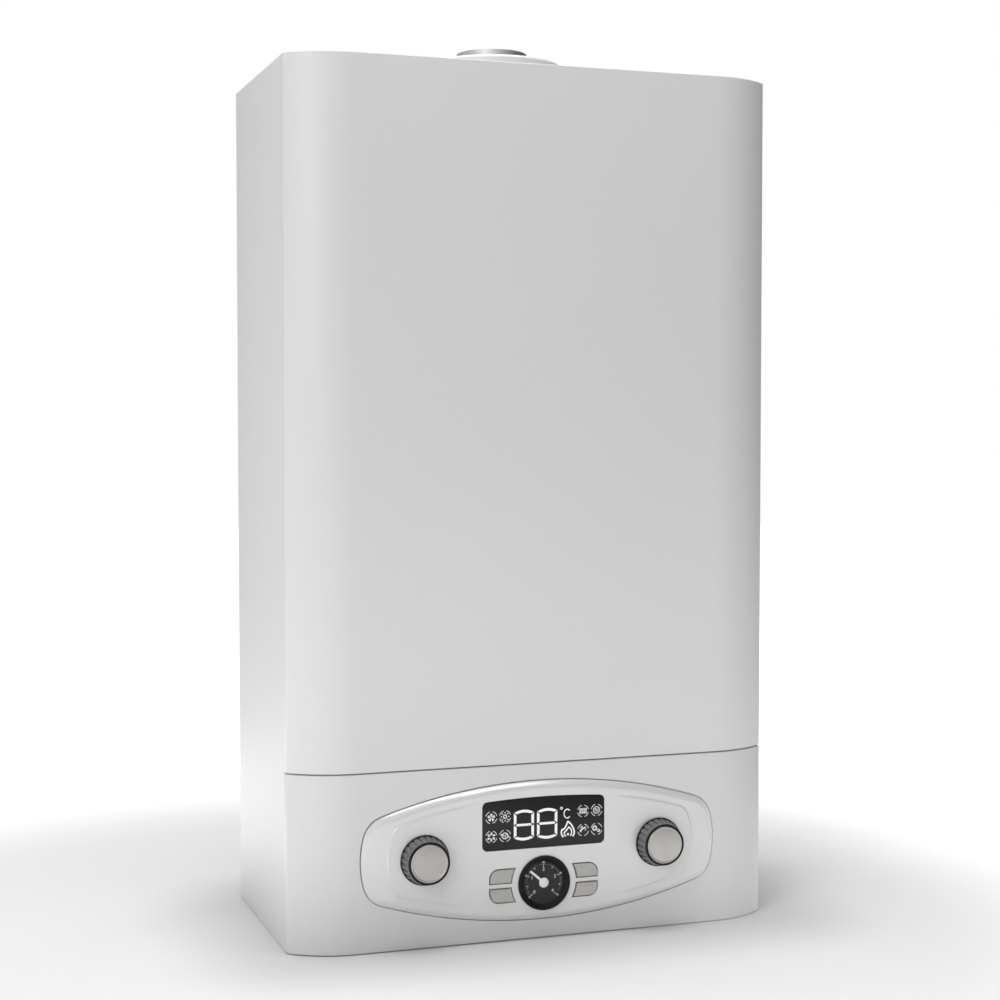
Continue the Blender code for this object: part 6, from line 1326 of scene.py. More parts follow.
lid = cut_out(lid, sight_hole)
fit_piece("chamber_lid", lid, galvanised_steel, "zinc_steel", "chamber_cover")


def fit_screws(name, places, face, axis="Y", way=-1, radius=SCREW_RADIUS, height=SCREW_HEIGHT):
    """Round-headed cross-slotted screws in a row of places, all on one face."""
    heads, slots = bmesh.new(), bmesh.new()
    long_side, short_side = radius * 0.55, radius * 0.13
    start, stop = sorted((face + way * height * 0.45, face + way * height * 1.5))
    profile = [
        (0, face + way * height), (radius * 0.55, face + way * height * 0.95),
        (radius * 0.85, face + way * height * 0.70), (radius, face + way * height * 0.25),
        (radius, face), (0, face),
    ]
    for first, second in places:
        lathe(heads, profile, (first, second), axis, 18)
        for wide, high in ((long_side, short_side), (short_side, long_side)):
            low_corner = on_axis(axis, (first - wide, second - high), start)
            block(slots, low_corner, on_axis(axis, (first + wide, second + high), stop))
    fit_piece(name, cut_out(heads, slots), plated_steel, "zinc_steel")


rim_x = CHAMBER_HALF - COVER_RIM / 2
rim_low, rim_high = CHAMBER_BOTTOM + COVER_RIM / 2, TRAY_TOP - COVER_RIM / 2
screw_places = [
    (side * rim_x, rim_low + (rim_high - rim_low) * step / 4) for side in (-1, 1) for step in range(5)
]
screw_places += [(x, z) for x in (-rim_x / 3, rim_x / 3) for z in (rim_low, rim_high)]
fit_screws("chamber_screws", screw_places, COVER_FRONT - 0.0001)

pane = turned([
    (0, -0.0869), (SIGHT_RIM - 0.0030, -0.0869), (SIGHT_RIM - 0.0030, -0.0850),
    (SIGHT_RADIUS - 0.0003, -0.0848), (SIGHT_RADIUS - 0.0003, -0.0821), (0, -0.0821),
], (0, SIGHT_Z), "Y", 48, rounding=0.0004)
fit_piece("sight_pane", pane, sight_glass_clear, "clear_glass", "sight_glass")
pane_ring = turned([
    (SIGHT_RIM - 0.0028, -0.0866), (SIGHT_RIM - 0.0024, -0.0872), (SIGHT_RIM + 0.0010, -0.0872),
    (SIGHT_RIM + 0.0014, -0.0848), (SIGHT_RIM - 0.0028, -0.0848),
], (0, SIGHT_Z), "Y", 48, rounding=0.0003)
fit_piece("sight_ring", pane_ring, plated_steel, "zinc_steel")
ears = bmesh.new()
block(ears, (-SIGHT_RIM - 0.0095, -0.0846, SIGHT_Z - 0.0045), (SIGHT_RIM + 0.0095, -0.0838, SIGHT_Z + 0.0045))
soften(ears, 0.0040, 5, edges=edges_to_back(ears, 0.0005))
ear_bore = bmesh.new()
rod(ear_bore, SIGHT_RIM - 0.0020, (0, SIGHT_Z), -0.0860, -0.0820, "Y", 48)
ears = cut_out(ears, ear_bore)
fit_piece("sight_strap", ears, plated_steel, "zinc_steel")
ear_places = [(-SIGHT_RIM - 0.0045, SIGHT_Z), (SIGHT_RIM + 0.0045, SIGHT_Z)]
fit_screws("sight_screws", ear_places, -0.0847, radius=0.0028, height=0.0016)


# ------------------------------------------------------------------ Fire side
# Stainless burner blades with a gas rail before them, an insulated firebox, a copper
# heat exchanger with fins, and a folded sheet hood that leads to the fan above.

cast_aluminium = finish(
    "cast_aluminium", (0.55, 0.56, 0.57), (0.47, 0.48, 0.49), 0.48,
    patch_size=0.03, grain_depth=0.00004, unevenness=0.2, metallic=1.0,
)
drawn_copper = finish(
    "drawn_copper", (0.72, 0.38, 0.25), (0.52, 0.26, 0.17), 0.34,
    patch_size=0.025, grain_size=0.0015, unevenness=0.25, metallic=1.0,
)
stainless_steel = finish(
    "stainless_steel", (0.60, 0.60, 0.60), (0.52, 0.52, 0.53), 0.28,
    patch_size=0.03, grain_size=0.001, unevenness=0.2, stretch=(0.2, 1, 3), metallic=1.0,
)
fibre_board = finish(
    "fibre_board", (0.74, 0.72, 0.66), (0.62, 0.59, 0.52), 0.85,
    patch_size=0.03, grain_size=0.0015, grain_depth=0.0002, unevenness=0.10, stretch=(1, 1, 3),
)
glazed_ceramic = finish(
    "glazed_ceramic", (0.78, 0.76, 0.71), (0.70, 0.67, 0.61), 0.18, patch_size=0.01, grain_depth=0.000003,
)


def refinish(material, *nodes):
    """Gives CAD nodes a finish and leaves their shape alone."""
    for node in nodes:
        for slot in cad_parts[node].material_slots:
            slot.material = material


refinish(stainless_steel, "burner")
refinish(plated_steel, "gas_manifold")
refinish(fibre_board, "combustion_chamber")
refinish(drawn_copper, "heat_exchanger")
refinish(cast_aluminium, "flue_hood")

ELECTRODE_Z = 0.343
ELECTRODE_X = 0.030

for side, label, node in ((-1, "spark", "ignition_electrode"), (1, "flame_probe", "flame_sensor")):
    place = (side * ELECTRODE_X, ELECTRODE_Z)
    sleeve = turned([
        (0, -0.0740), (0.0012, -0.0740), (0.0012, -0.0735), (0.0028, -0.0735), (0.0040, -0.0725),
        (0.0040, -0.0700), (0.0034, -0.0694), (0.0040, -0.0688), (0.0040, -0.0663), (0.0075, -0.0663),
        (0.0075, -0.0623), (0.0040, -0.0623), (0.0040, -0.0465), (0.0034, -0.0460), (0.0012, -0.0460),
        (0.0012, -0.0268), (0.0008, -0.0260), (0, -0.0260),
    ], place, "Y", 32, rounding=0.0003)
    fit_piece(label + "_sleeve", sleeve, glazed_ceramic, "ceramic_fibre", node)


# ------------------------------------------------------------------ Fan
# Scroll of pressed steel with the wheel inside, driven by a small closed motor that
# stands on it, and beside it the round switch that feels the draught.

FAN_PLACE = (-0.055, 0.005)
MOTOR_PROFILE = (
    (0, 0.6084), (0.0030, 0.6084), (0.0030, 0.6362), (0.0224, 0.6362), (0.0224, 0.6392), (0.0280, 0.6392),
    (0.0280, 0.6440), (0.0272, 0.6446), (0.0272, 0.6560), (0.0280, 0.6566), (0.0280, 0.6700), (0.0262, 0.6745),
    (0.0224, 0.6770), (0.0112, 0.6812), (0, 0.6812),
)
SWITCH_PLACE = (0.128, 0.640)
SWITCH_PROFILE = (
    (0, 0.0622), (0.0030, 0.0622), (0.0030, 0.0665), (0.0105, 0.0672), (0.0105, 0.0722), (0.0255, 0.0762),
    (0.0285, 0.0790), (0.0300, 0.0802), (0.0300, 0.0882), (0.0255, 0.0902), (0.0255, 0.1022), (0, 0.1022),
)

grey_plastic = finish("grey_plastic", (0.16, 0.16, 0.16), (0.19, 0.19, 0.19), 0.45, patch_size=0.02)
refinish(plated_steel, "fan_housing", "fan_impeller")

motor = turned(MOTOR_PROFILE, FAN_PLACE, rounding=0.0005)
fit_piece("fan_motor_can", motor, plated_steel, "zinc_steel", "fan_motor")
draught_switch = turned(SWITCH_PROFILE, SWITCH_PLACE, "Y", rounding=0.0004)
fit_piece("draught_switch", draught_switch, grey_plastic, "grey_plastic", "air_pressure_switch")


# ------------------------------------------------------------------ Expansion vessel
# Two pressed steel shells welded together at a flat seam, lacquered red, with the
# port for its hose near a lower corner.

VESSEL_HALF = 0.170
VESSEL_FRONT = 0.0502
VESSEL_BACK = 0.1022
VESSEL_BOTTOM = 0.2695
VESSEL_TOP = 0.5595
VESSEL_ROUNDING = 0.018
VESSEL_SEAM = 0.006
VESSEL_SEAM_HALF = 0.0015
VESSEL_SEAM_CORNER = 0.022

red_lacquer = finish(
    "red_lacquer", (0.40, 0.03, 0.02), (0.33, 0.02, 0.015), 0.35, patch_size=0.06, unevenness=0.1,
)

vessel = bmesh.new()
block(vessel, (-VESSEL_HALF, VESSEL_FRONT, VESSEL_BOTTOM), (VESSEL_HALF, VESSEL_BACK, VESSEL_TOP))
soften(vessel, VESSEL_ROUNDING, 6)
seam_y = (VESSEL_FRONT + VESSEL_BACK) / 2
seam_low = (-VESSEL_HALF - VESSEL_SEAM, seam_y - VESSEL_SEAM_HALF, VESSEL_BOTTOM - VESSEL_SEAM)
seam_high = (VESSEL_HALF + VESSEL_SEAM, seam_y + VESSEL_SEAM_HALF, VESSEL_TOP + VESSEL_SEAM)
seam = block(vessel, seam_low, seam_high)
rounded = [e for e in edges_to_back(vessel) if e.verts[0] in seam]
soften(vessel, VESSEL_SEAM_CORNER, 8, edges=rounded)
fit_piece("vessel_shells", vessel, red_lacquer, "red_paint", "expansion_vessel")


# ------------------------------------------------------------------ Bottom plate
# Galvanised steel plate with both ends folded down, holed for the pipes, the tap and
# the cable gland, and screwed along its front edge.

PLATE_HALF = 0.2035
PLATE_FRONT = -0.0478
PLATE_BACK = 0.1037
PLATE_FOOT = 0.020
PLATE_TOP = 0.0315
PIPE_Y = 0.0455
PIPE_XS = (-0.130, -0.065, 0.0, 0.065, 0.130)
WIDE_PIPES = (-0.130, 0.0, 0.130)
TAP_PLACE = (0.0975, 0.006)
GLAND_PLACE = (-0.098, 0.006)
HOLE_BOTTOM = PLATE_TOP - 0.004
HOLE_TOP = PLATE_TOP + 0.002

plate = bmesh.new()
block(plate, (-PLATE_HALF, PLATE_FRONT, PLATE_FOOT), (PLATE_HALF, PLATE_BACK, PLATE_TOP))
for way in ((0, 0, -1), (0, 1, 0), (0, -1, 0)):
    open_side(plate, way)
soften(plate, 0.0016, 3)
thicken(plate, TRAY_SHEET)
holes = bmesh.new()
for x in PIPE_XS:
    radius = THICK_PIPE if x in WIDE_PIPES else THIN_PIPE
    rod(holes, radius + PASSAGE_GAP, (x, PIPE_Y), HOLE_BOTTOM, HOLE_TOP, steps=40)
rod(holes, 0.0046, TAP_PLACE, HOLE_BOTTOM, HOLE_TOP, steps=32)
rod(holes, 0.0116, GLAND_PLACE, HOLE_BOTTOM, HOLE_TOP, steps=40)
for x in (-0.180, -0.030, 0.030, 0.180):
    rod(holes, 0.0040, (x, 0.085), HOLE_BOTTOM, HOLE_TOP, steps=24)
plate = cut_out(plate, holes)
fit_piece("bottom_tray", plate, galvanised_steel, "zinc_steel", "bottom_plate")
plate_screws = [(x, -0.0415) for x in (-0.170, -0.060, 0.060, 0.170)]
fit_screws("bottom_screws", plate_screws, 0.0299, "Z")


# ------------------------------------------------------------------ Pipes and their fittings
# Copper tube, bent cold to a radius of 22 mm. Under the bottom plate each of the five
# connections ends in a brass union: a hexagon nut and an open outside thread.

PIPE_BEND = 0.022
PIPE_END = 0.004
BORE_END = 0.022
NUT_BOTTOM = 0.0217
NUT_TOP = 0.0297
THREAD_PITCH = 0.0018
THREAD_DEPTH = 0.0011
BLOCK_BOTTOM = 0.060
BLOCK_TOP = 0.150
BLOCK_HALF = 0.022
BLOCK_X = 0.130

cast_brass = finish(
    "cast_brass", (0.60, 0.44, 0.20), (0.50, 0.34, 0.14), 0.40,
    patch_size=0.02, grain_depth=0.00003, unevenness=0.25, metallic=1.0,
)
turned_brass = finish(
    "turned_brass", (0.68, 0.50, 0.24), (0.60, 0.42, 0.18), 0.24,
    patch_size=0.01, grain_size=0.0005, grain_depth=0.000006, unevenness=0.2, stretch=(1, 1, 6), metallic=1.0,
)


def bent_pipe(bm, points, radius, bend=PIPE_BEND, steps=28):
    """Pushes a ring straight on and round each corner, then closes both ends."""
    corners = [Vector(point) for point in points]
    direction = (corners[1] - corners[0]).normalized()
    start = Matrix.Translation(corners[0]) @ direction.to_track_quat("Z", "Y").to_matrix().to_4x4()
    ring = bmesh.ops.create_circle(bm, cap_ends=False, segments=steps, radius=radius, matrix=start)["verts"]
    edges = list({edge for vert in ring for edge in vert.link_edges})
    fill(bm, edges)
    at = corners[0]

    def push(ends, step):
        made = bmesh.ops.extrude_edge_only(bm, edges=ends)["geom"]
        moved = verts_of(made)
        bmesh.ops.translate(bm, verts=moved, vec=step)
        kept = set(moved)
        return [e for e in made if isinstance(e, bmesh.types.BMEdge) and set(e.verts) <= kept]

    for before, corner, after in zip(corners, corners[1:], corners[2:]):
        arriving, leaving = (corner - before).normalized(), (after - corner).normalized()
        turn = arriving.angle(leaving)
        reach = bend * math.tan(turn / 2)
        edges = push(edges, corner - arriving * reach - at)
        centre = corner + (leaving - arriving).normalized() * (bend / math.cos(turn / 2))
        ends = edges + list({vert for edge in edges for vert in edge.verts})
        spun = bmesh.ops.spin(
            bm, geom=ends, cent=centre, axis=arriving.cross(leaving), angle=turn, steps=max(4, round(turn * 8))
        )
        edges = [e for e in spun["geom_last"] if isinstance(e, bmesh.types.BMEdge)]
        at = corner + leaving * reach
    edges = push(edges, corners[-1] - at)
    fill(bm, edges)
    bmesh.ops.remove_doubles(bm, verts=bm.verts, dist=1e-7)
    bmesh.ops.recalc_face_normals(bm, faces=bm.faces)


def hex_nut(bm, place, radius, start, stop):
    """A standing hexagon nut with chamfered corners; radius is over the corners."""
    blank = rod(bm, radius, place, start, stop, steps=6)
    edges = {e for vert in blank for e in vert.link_edges}
    soften(bm, 0.0010, 1, edges=[e for e in edges if abs(e.verts[0].co.z - e.verts[1].co.z) < 1e-6])


def union_end(bm, x, thread, bore):
    """The open thread under a nut, turned with its bore."""
    root = thread - THREAD_DEPTH
    profile = [(bore, BORE_END), (bore, PIPE_END + 0.0006), (bore + 0.0006, PIPE_END), (root, PIPE_END)]
    height = PIPE_END + 0.0004
    while height + THREAD_PITCH < NUT_BOTTOM - 0.002:
        crest = (thread, height + THREAD_PITCH * 0.45), (thread, height + THREAD_PITCH * 0.55)
        profile += [*crest, (root, height + THREAD_PITCH)]
        height += THREAD_PITCH
    profile += [(root, NUT_BOTTOM), (root, BORE_END + 0.001), (0.0001, BORE_END + 0.001), (0.0001, BORE_END)]
    lathe(bm, profile, (x, PIPE_Y), steps=48)


UNIONS = (
    ("heating_flow", -0.130, THICK_PIPE, 0.0132, 0.0095, ((-0.130, PIPE_Y, BLOCK_BOTTOM - GAP),)),
    (
        "hot_water", -0.065, THIN_PIPE, 0.0105, 0.0072,
        ((-0.065, PIPE_Y, 0.112), (-BLOCK_X + BLOCK_HALF + GAP, PIPE_Y, 0.112)),
    ),
    ("gas_inlet", 0.0, THICK_PIPE, 0.0132, 0.0095, ((0.0, PIPE_Y, 0.075 - GAP),)),
    (
        "cold_water", 0.065, THIN_PIPE, 0.0105, 0.0072,
        ((0.065, PIPE_Y, 0.098), (BLOCK_X - BLOCK_HALF - GAP, PIPE_Y, 0.098)),
    ),
    ("heating_return", 0.130, THICK_PIPE, 0.0132, 0.0095, ((0.130, PIPE_Y, BLOCK_BOTTOM - GAP),)),
)
for label, x, radius, thread, bore, path in UNIONS:
    tube = bmesh.new()
    bent_pipe(tube, [(x, PIPE_Y, BORE_END + 0.001), *path], radius)
    fit_piece(label + "_tube", tube, drawn_copper, "copper", label + "_pipe")
    union = bmesh.new()
    hex_nut(union, (x, PIPE_Y), thread + 0.004, NUT_BOTTOM, NUT_TOP)
    union_end(union, x, thread, bore)
    if len(path) == 1 and x:
        hex_nut(union, (x, PIPE_Y), radius + 0.0055, BLOCK_BOTTOM - 0.0085, BLOCK_BOTTOM - GAP)
    fit_piece(label + "_union", union, turned_brass, "brass")

PRIMARY = (
    ("primary_flow", -0.130, -STUB_X, FLOW_Y),
    ("primary_return", 0.118, STUB_X, RETURN_Y),
)
for label, x, stub_x, stub_y in PRIMARY:
    tube = bmesh.new()
    path = [
        (x, PIPE_Y, BLOCK_TOP + GAP), (x, PIPE_Y, BLOCK_TOP + 2 * PIPE_BEND),
        (stub_x, stub_y, CHAMBER_BOTTOM - PIPE_BEND), (stub_x, stub_y, 0.4540),
    ]
    bent_pipe(tube, path, THICK_PIPE)
    fit_piece(label + "_tube", tube, drawn_copper, "copper", label + "_pipe")
    end_nut = bmesh.new()
    hex_nut(end_nut, (x, PIPE_Y), THICK_PIPE + 0.0032, BLOCK_TOP + GAP, BLOCK_TOP + 0.0110)
    fit_piece(label + "_nut", end_nut, turned_brass, "brass")

gas_tube = bmesh.new()
bent_pipe(
    gas_tube,
    [(0, 0.0295, 0.1453), (0, 0.0295, 0.215), (0, GAS_PIPE_Y, 0.215), (0, GAS_PIPE_Y, 0.2817)],
    THIN_PIPE,
)
fit_piece("burner_gas_tube", gas_tube, plated_steel, "zinc_steel", "burner_gas_pipe")
gas_nuts = bmesh.new()
hex_nut(gas_nuts, (0, 0.0295), THIN_PIPE + 0.0045, 0.1453, 0.1560)
hex_nut(gas_nuts, (0, GAS_PIPE_Y), THIN_PIPE + 0.0035, 0.2520, 0.2610)
fit_piece("burner_gas_nuts", gas_nuts, turned_brass, "brass")


# ------------------------------------------------------------------ Pump and valves
# Two brass castings join the pipes: the pump housing with the pump motor, air vent and
# safety valve at the right, and the diverter valve with its motor at the left.

BLOCK_FRONT = 0.025
BLOCK_BACK = 0.066
PUMP_PLACE = (0.130, 0.112)
PUMP_RADIUS = 0.036
MOTOR_RADIUS = 0.040
MOTOR_FRONT = -0.0413
MOTOR_BACK = 0.0027
BOLT_RADIUS = 0.0335
VENT_PLACE = (0.142, 0.0455)
SAFETY_PLACE = (0.0455, 0.082)


def casting(x):
    """The rounded brass block that both castings are built on."""
    bm = bmesh.new()
    block(bm, (x - BLOCK_HALF, BLOCK_FRONT, BLOCK_BOTTOM), (x + BLOCK_HALF, BLOCK_BACK, BLOCK_TOP))
    soften(bm, 0.006, 4)
    return bm


def every_other(bm, axis, count, low=-1, high=1):
    """Every other side face round a turned piece, between two places along its axis."""
    bm.normal_update()
    along = "XYZ".index(axis)
    first, second = [number for number in range(3) if number != along]
    return [
        f for f in bm.faces
        if abs(f.normal[along]) < 0.1 and low < f.calc_center_median()[along] < high
        and math.atan2(f.normal[second], f.normal[first]) * count / math.pi % 2 < 1
    ]


housing = casting(BLOCK_X)
lathe(housing, [
    (0, 0.0030), (0.0215, 0.0030), (0.0225, 0.0045), (0.0330, 0.0045), (PUMP_RADIUS, 0.0060),
    (PUMP_RADIUS, 0.0110), (0.0335, 0.0135), (0.0335, 0.0215), (0.0300, 0.0255), (0.0240, 0.0300), (0, 0.0300),
], PUMP_PLACE, "Y", 64)
lathe(housing, [
    (0, 0.1460), (0.0100, 0.1460), (0.0100, 0.1530), (0.0088, 0.1540), (0.0088, 0.1700), (0.0100, 0.1710),
    (0.0100, 0.1750), (0.0085, 0.1762), (0, 0.1762),
], VENT_PLACE, steps=40)
fit_piece("pump_casting", housing, cast_brass, "brass", "pump_housing")
vent_cap = turned(
    [(0, 0.1764), (0.0050, 0.1764), (0.0050, 0.1825), (0.0040, 0.1840), (0, 0.1840)],
    VENT_PLACE, steps=36,
)
bmesh.ops.inset_individual(vent_cap, faces=every_other(vent_cap, "Z", 18), thickness=0.00008, depth=-0.0003)
fit_piece("air_vent_cap", vent_cap, black_plastic, "black_plastic")

pump_can = turned([
    (0, MOTOR_BACK), (0.0220, MOTOR_BACK), (0.0220, -0.0008), (0.0385, -0.0008), (MOTOR_RADIUS, -0.0025),
    (MOTOR_RADIUS, -0.0080), (0.0380, -0.0095), (0.0380, -0.0330), (MOTOR_RADIUS, -0.0345),
    (MOTOR_RADIUS, -0.0375), (0.0360, MOTOR_FRONT), (0.0110, MOTOR_FRONT), (0.0100, MOTOR_FRONT + 0.0015),
    (0, MOTOR_FRONT + 0.0015),
], PUMP_PLACE, "Y", 96)
fins = every_other(pump_can, "Y", 48, -0.0320, -0.0100)
bmesh.ops.inset_individual(pump_can, faces=fins, thickness=0.0002, depth=-0.0012)
fit_piece("pump_motor_can", pump_can, black_plastic, "grey_plastic", "pump_motor", crease=25)
bleed = turned([
    (0, MOTOR_FRONT + 0.0004), (0.0070, MOTOR_FRONT + 0.0004), (0.0078, MOTOR_FRONT + 0.0010),
    (0.0078, MOTOR_FRONT + 0.0020), (0, MOTOR_FRONT + 0.0020),
], PUMP_PLACE, "Y", 40)
bleed_slot = bmesh.new()
x, z = PUMP_PLACE
block(bleed_slot, (x - 0.006, MOTOR_FRONT - 0.001, z - 0.0008), (x + 0.006, MOTOR_FRONT + 0.0012, z + 0.0008))
fit_piece("pump_bleed_screw", cut_out(bleed, bleed_slot), turned_brass, "brass")
bolt_places = [
    (x + BOLT_RADIUS * math.cos(angle), z + BOLT_RADIUS * math.sin(angle))
    for angle in (math.pi / 4 + math.pi / 2 * turn for turn in range(4))
]
fit_screws("pump_bolts", bolt_places, MOTOR_FRONT + 0.0036, radius=0.0026, height=0.0030)

fit_piece("diverter_casting", casting(-BLOCK_X), cast_brass, "brass", "diverter_valve")
drive = bmesh.new()
block(drive, (-0.1490, -0.0313, 0.0895), (-0.1110, 0.0175, 0.1345))
soften(drive, 0.003, 3)
block(drive, (-0.1485, 0.0182, 0.0900), (-0.1115, 0.0247, 0.1340))
soften(drive, 0.0012, 2, sharper_than=80)
block(drive, (-0.1400, -0.0200, 0.0850), (-0.1200, -0.0060, 0.0910))
fit_piece("diverter_drive", drive, black_plastic, "black_plastic", "diverter_motor")
drive_places = [(x, z) for x in (-0.1445, -0.1155) for z in (0.0940, 0.1300)]
fit_screws("diverter_screws", drive_places, -0.0313, radius=0.0024, height=0.0012)

relief = turned([
    (0, 0.1523), (0.0095, 0.1523), (0.0095, 0.1560), (0.0110, 0.1568), (0.0110, 0.1660), (0.0100, 0.1688),
    (0, 0.1688),
], SAFETY_PLACE, "X", 40, rounding=0.0004)
fit_piece("relief_body", relief, cast_brass, "brass", "safety_valve")
relief_cap = turned(
    [(0, 0.1690), (0.0128, 0.1690), (0.0140, 0.1703), (0.0140, 0.1803), (0.0122, 0.1823), (0, 0.1823)],
    SAFETY_PLACE, "X", 48,
)
grips = every_other(relief_cap, "X", 12)
bmesh.ops.inset_region(relief_cap, faces=grips, thickness=0.0003, depth=-0.0008)
soften(relief_cap, 0.0003, 1, sharper_than=60)
fit_piece("relief_cap", relief_cap, red_lacquer, "red_paint")


# ------------------------------------------------------------------ Plate heat exchanger
# Pressed stainless plates brazed together with copper foil, between the two castings.

STACK_HALF = 0.131
STACK_FRONT = 0.0663
STACK_BACK = 0.0988
STACK_BOTTOM = 0.072
STACK_TOP = 0.144
PLATE_PITCH = 0.0038
PLATE_WALL = 0.0022
PLATE_COUNT = 9
PLATE_CORNER = 0.010
BRAZE_INSET = 0.0018
BRAZE_BACK = 0.0979

plates = bmesh.new()
for number in range(PLATE_COUNT):
    front = STACK_FRONT + number * PLATE_PITCH
    block(plates, (-STACK_HALF, front, STACK_BOTTOM), (STACK_HALF, front + PLATE_WALL, STACK_TOP))
soften(plates, PLATE_CORNER, 5, edges=edges_to_back(plates))
plates.normal_update()
outer = [
    f for f in plates.faces
    if abs(f.normal.y) > 0.99 and not STACK_FRONT + 1e-5 <= f.calc_center_median().y <= STACK_BACK
]
bmesh.ops.inset_region(plates, faces=outer, thickness=0.005, use_even_offset=True)
bmesh.ops.inset_region(plates, faces=outer, thickness=0.002, depth=-0.0008, use_even_offset=True)
fit_piece("exchanger_plates", plates, stainless_steel, "stainless", "plate_heat_exchanger")
braze = bmesh.new()
low = (-STACK_HALF + BRAZE_INSET, STACK_FRONT + 0.001, STACK_BOTTOM + BRAZE_INSET)
block(braze, low, (STACK_HALF - BRAZE_INSET, BRAZE_BACK, STACK_TOP - BRAZE_INSET))
soften(braze, PLATE_CORNER, 5, edges=edges_to_back(braze))
fit_piece("exchanger_braze", braze, drawn_copper, "copper")


# ------------------------------------------------------------------ Gas valve
# Die-cast aluminium body with two closed coils on its face, a plug on each coil, a
# brass pressure screw below them and two test points above.

VALVE_FRONT = 0.0115
VALVE_BACK = 0.0635
VALVE_BOTTOM = 0.075
VALVE_TOP = 0.145
COIL_X = 0.018
COIL_Z = 0.110

valve = bmesh.new()
block(valve, (-0.038, VALVE_FRONT, VALVE_BOTTOM), (0.038, VALVE_BACK, VALVE_TOP))
soften(valve, 0.004, 3)
valve.normal_update()
sides = [f for f in valve.faces if abs(f.normal.x) > 0.99 and f.calc_area() > 0.001]
bmesh.ops.inset_individual(valve, faces=sides, thickness=0.006, depth=0.0)
bmesh.ops.inset_individual(valve, faces=sides, thickness=0.0012, depth=-0.0015)
fit_piece("gas_valve_body", valve, cast_aluminium, "aluminium", "gas_valve")
coils = bmesh.new()
for x in (-COIL_X, COIL_X):
    lathe(coils, [
        (0, 0.0113), (0.0140, 0.0113), (0.0140, -0.0105), (0.0130, -0.0125), (0.0050, -0.0125),
        (0.0050, -0.0145), (0, -0.0145),
    ], (x, COIL_Z), "Y", 48)
for x in (-COIL_X, COIL_X):
    block(coils, (x - 0.006, -0.0060, COIL_Z + 0.0125), (x + 0.006, 0.0040, COIL_Z + 0.0225))
soften(coils, 0.0006, 2)
fit_piece("gas_valve_coils", coils, black_plastic, "black_plastic")
regulator = turned(
    [(0, 0.0050), (0.0034, 0.0050), (0.0034, 0.0070), (0.0055, 0.0070), (0.0055, 0.0112), (0, 0.0112)],
    (0, COIL_Z - 0.022), "Y", 24,
)
for x in (-0.030, 0.030):
    lathe(regulator, ring(0, 0.0030, 0.0078, 0.0112), (x, COIL_Z + 0.028), "Y", 20)
soften(regulator, 0.0004, 2)
fit_piece("gas_valve_screws", regulator, turned_brass, "brass")


# ------------------------------------------------------------------ Filling tap and cable gland
# The tap is turned from brass and worked by a moulded handle under the boiler. The
# gland clamps the mains cable where it comes up through the bottom plate.

TAP_KNOB_RADIUS = 0.013
TAP_KNOB_BOTTOM = 0.006
TAP_KNOB_TOP = 0.024
TAP_LOBES = 8
TAP_WAVE = 0.0010

tap = turned([
    (0, 0.0160), (0.0038, 0.0160), (0.0040, 0.0165), (0.0040, 0.0318), (0.0130, 0.0318), (0.0130, 0.0358),
    (0.0090, 0.0366), (0.0090, 0.0420), (0.0082, 0.0428), (0.0082, 0.0500), (0.0090, 0.0508), (0.0090, 0.0660),
    (0.0078, 0.0678), (0, 0.0678),
], TAP_PLACE, steps=40, rounding=0.0003)
fit_piece("tap_body", tap, turned_brass, "brass", "filling_tap")

black_handle = finish(
    "black_handle", (0.016, 0.016, 0.017), (0.024, 0.024, 0.025), 0.38, patch_size=0.01, grain_depth=0.000008,
)
handle = turned([
    (0, TAP_KNOB_BOTTOM + 0.0012), (0.0070, TAP_KNOB_BOTTOM + 0.0012), (0.0078, TAP_KNOB_BOTTOM),
    (TAP_KNOB_RADIUS - 0.0012, TAP_KNOB_BOTTOM), (TAP_KNOB_RADIUS, TAP_KNOB_BOTTOM + 0.0014),
    (TAP_KNOB_RADIUS, TAP_KNOB_TOP - 0.0016), (TAP_KNOB_RADIUS - 0.0016, TAP_KNOB_TOP), (0.0043, TAP_KNOB_TOP),
    (0.0043, 0.0157), (0, 0.0157),
], TAP_PLACE, steps=80)
for vert in handle.verts:
    x, y = vert.co.x - TAP_PLACE[0], vert.co.y - TAP_PLACE[1]
    distance = math.hypot(x, y)
    if distance > 0.010:
        drop = TAP_WAVE * (1 - math.cos(TAP_LOBES * math.atan2(y, x)))
        vert.co.x -= x / distance * drop
        vert.co.y -= y / distance * drop
fit_piece(
    "tap_handle_grip", handle, black_handle, "black_plastic", "filling_tap_knob", body="tap_handle", crease=40,
)

gland = turned([
    (0.0045, 0.0176), (0.0055, 0.0168), (0.0088, 0.0168), (0.0100, 0.0185), (0.0110, 0.0213), (0.0110, 0.0316),
    (0.0143, 0.0318), (0.0143, 0.0378), (0.0088, 0.0378), (0.0088, 0.0468), (0.0045, 0.0468),
], GLAND_PLACE, steps=48)
grips = every_other(gland, "Z", 24, 0.0215, 0.0310)
bmesh.ops.inset_individual(gland, faces=grips, thickness=0.0001, depth=-0.0006)
soften(gland, 0.0003, 1, sharper_than=60)
fit_piece("gland_body", gland, black_plastic, "black_plastic", "cable_gland")


# ------------------------------------------------------------------ Control box
# Grey moulded box behind the fascia that holds the circuit board, closed from behind
# by a lid with cooling slots, on six screws.

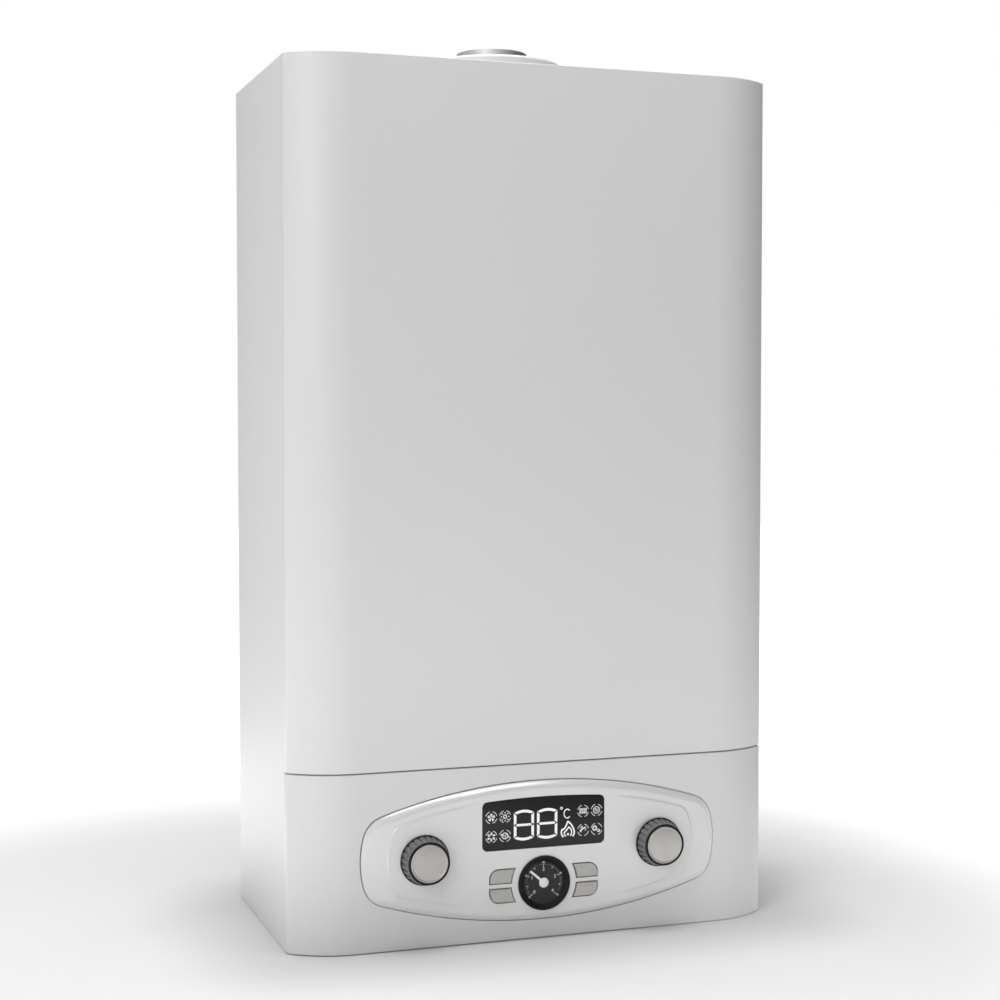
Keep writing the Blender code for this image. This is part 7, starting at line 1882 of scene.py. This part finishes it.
BOX_HALF = 0.151
BOX_FRONT = -0.0917
BOX_BACK = -0.0507
BOX_BOTTOM = 0.012
BOX_TOP = 0.131
BOX_WALL = 0.002
BOARD_STOP = -0.0761
BOARD_LEDGE = 0.003
LID_FRONT = -0.0504
LID_BACK = -0.0481

board_lacquer = finish(
    "board_lacquer", (0.02, 0.13, 0.05), (0.03, 0.19, 0.07), 0.35,
    patch_size=0.004, grain_size=0.001, grain_depth=0.00003,
)
refinish(board_lacquer, "circuit_board")

box = bmesh.new()
block(box, (-BOX_HALF, BOX_FRONT, BOX_BOTTOM), (BOX_HALF, BOX_BACK, BOX_TOP))
soften(box, 0.0020, 3, edges=edges_to_back(box))
rooms = bmesh.new()
inner = BOX_HALF - BOX_WALL
block(rooms, (-inner, BOX_FRONT - 0.002, BOX_BOTTOM + BOX_WALL), (inner, BOARD_STOP, BOX_TOP - BOX_WALL))
box = cut_out(box, rooms)
rooms = bmesh.new()
inner -= BOARD_LEDGE
low = (-inner, BOARD_STOP - 0.002, BOX_BOTTOM + BOX_WALL + BOARD_LEDGE)
block(rooms, low, (inner, BOX_BACK + 0.002, BOX_TOP - BOX_WALL - BOARD_LEDGE))
box = cut_out(box, rooms)
soften(box, 0.0003, 1, sharper_than=80)
fit_piece("control_housing", box, grey_plastic, "grey_plastic", "control_box")
box_lid = bmesh.new()
block(box_lid, (-BOX_HALF, LID_FRONT, BOX_BOTTOM), (BOX_HALF, LID_BACK, BOX_TOP))
soften(box_lid, 0.0020, 3, edges=edges_to_back(box_lid))
slots = bmesh.new()
for column in range(9):
    x = -0.030 + 0.0075 * column
    block(slots, (x - 0.0016, LID_FRONT - 0.001, 0.088), (x + 0.0016, LID_BACK + 0.001, 0.118))
box_lid = cut_out(box_lid, slots)
fit_piece("control_lid", box_lid, grey_plastic, "grey_plastic", "control_box_lid")
lid_places = [(x, z) for x in (-0.1455, 0.1455) for z in (0.0180, 0.0700, 0.1250)]
fit_screws("control_lid_screws", lid_places, LID_BACK + 0.0001, way=1, radius=0.0030, height=0.0015)
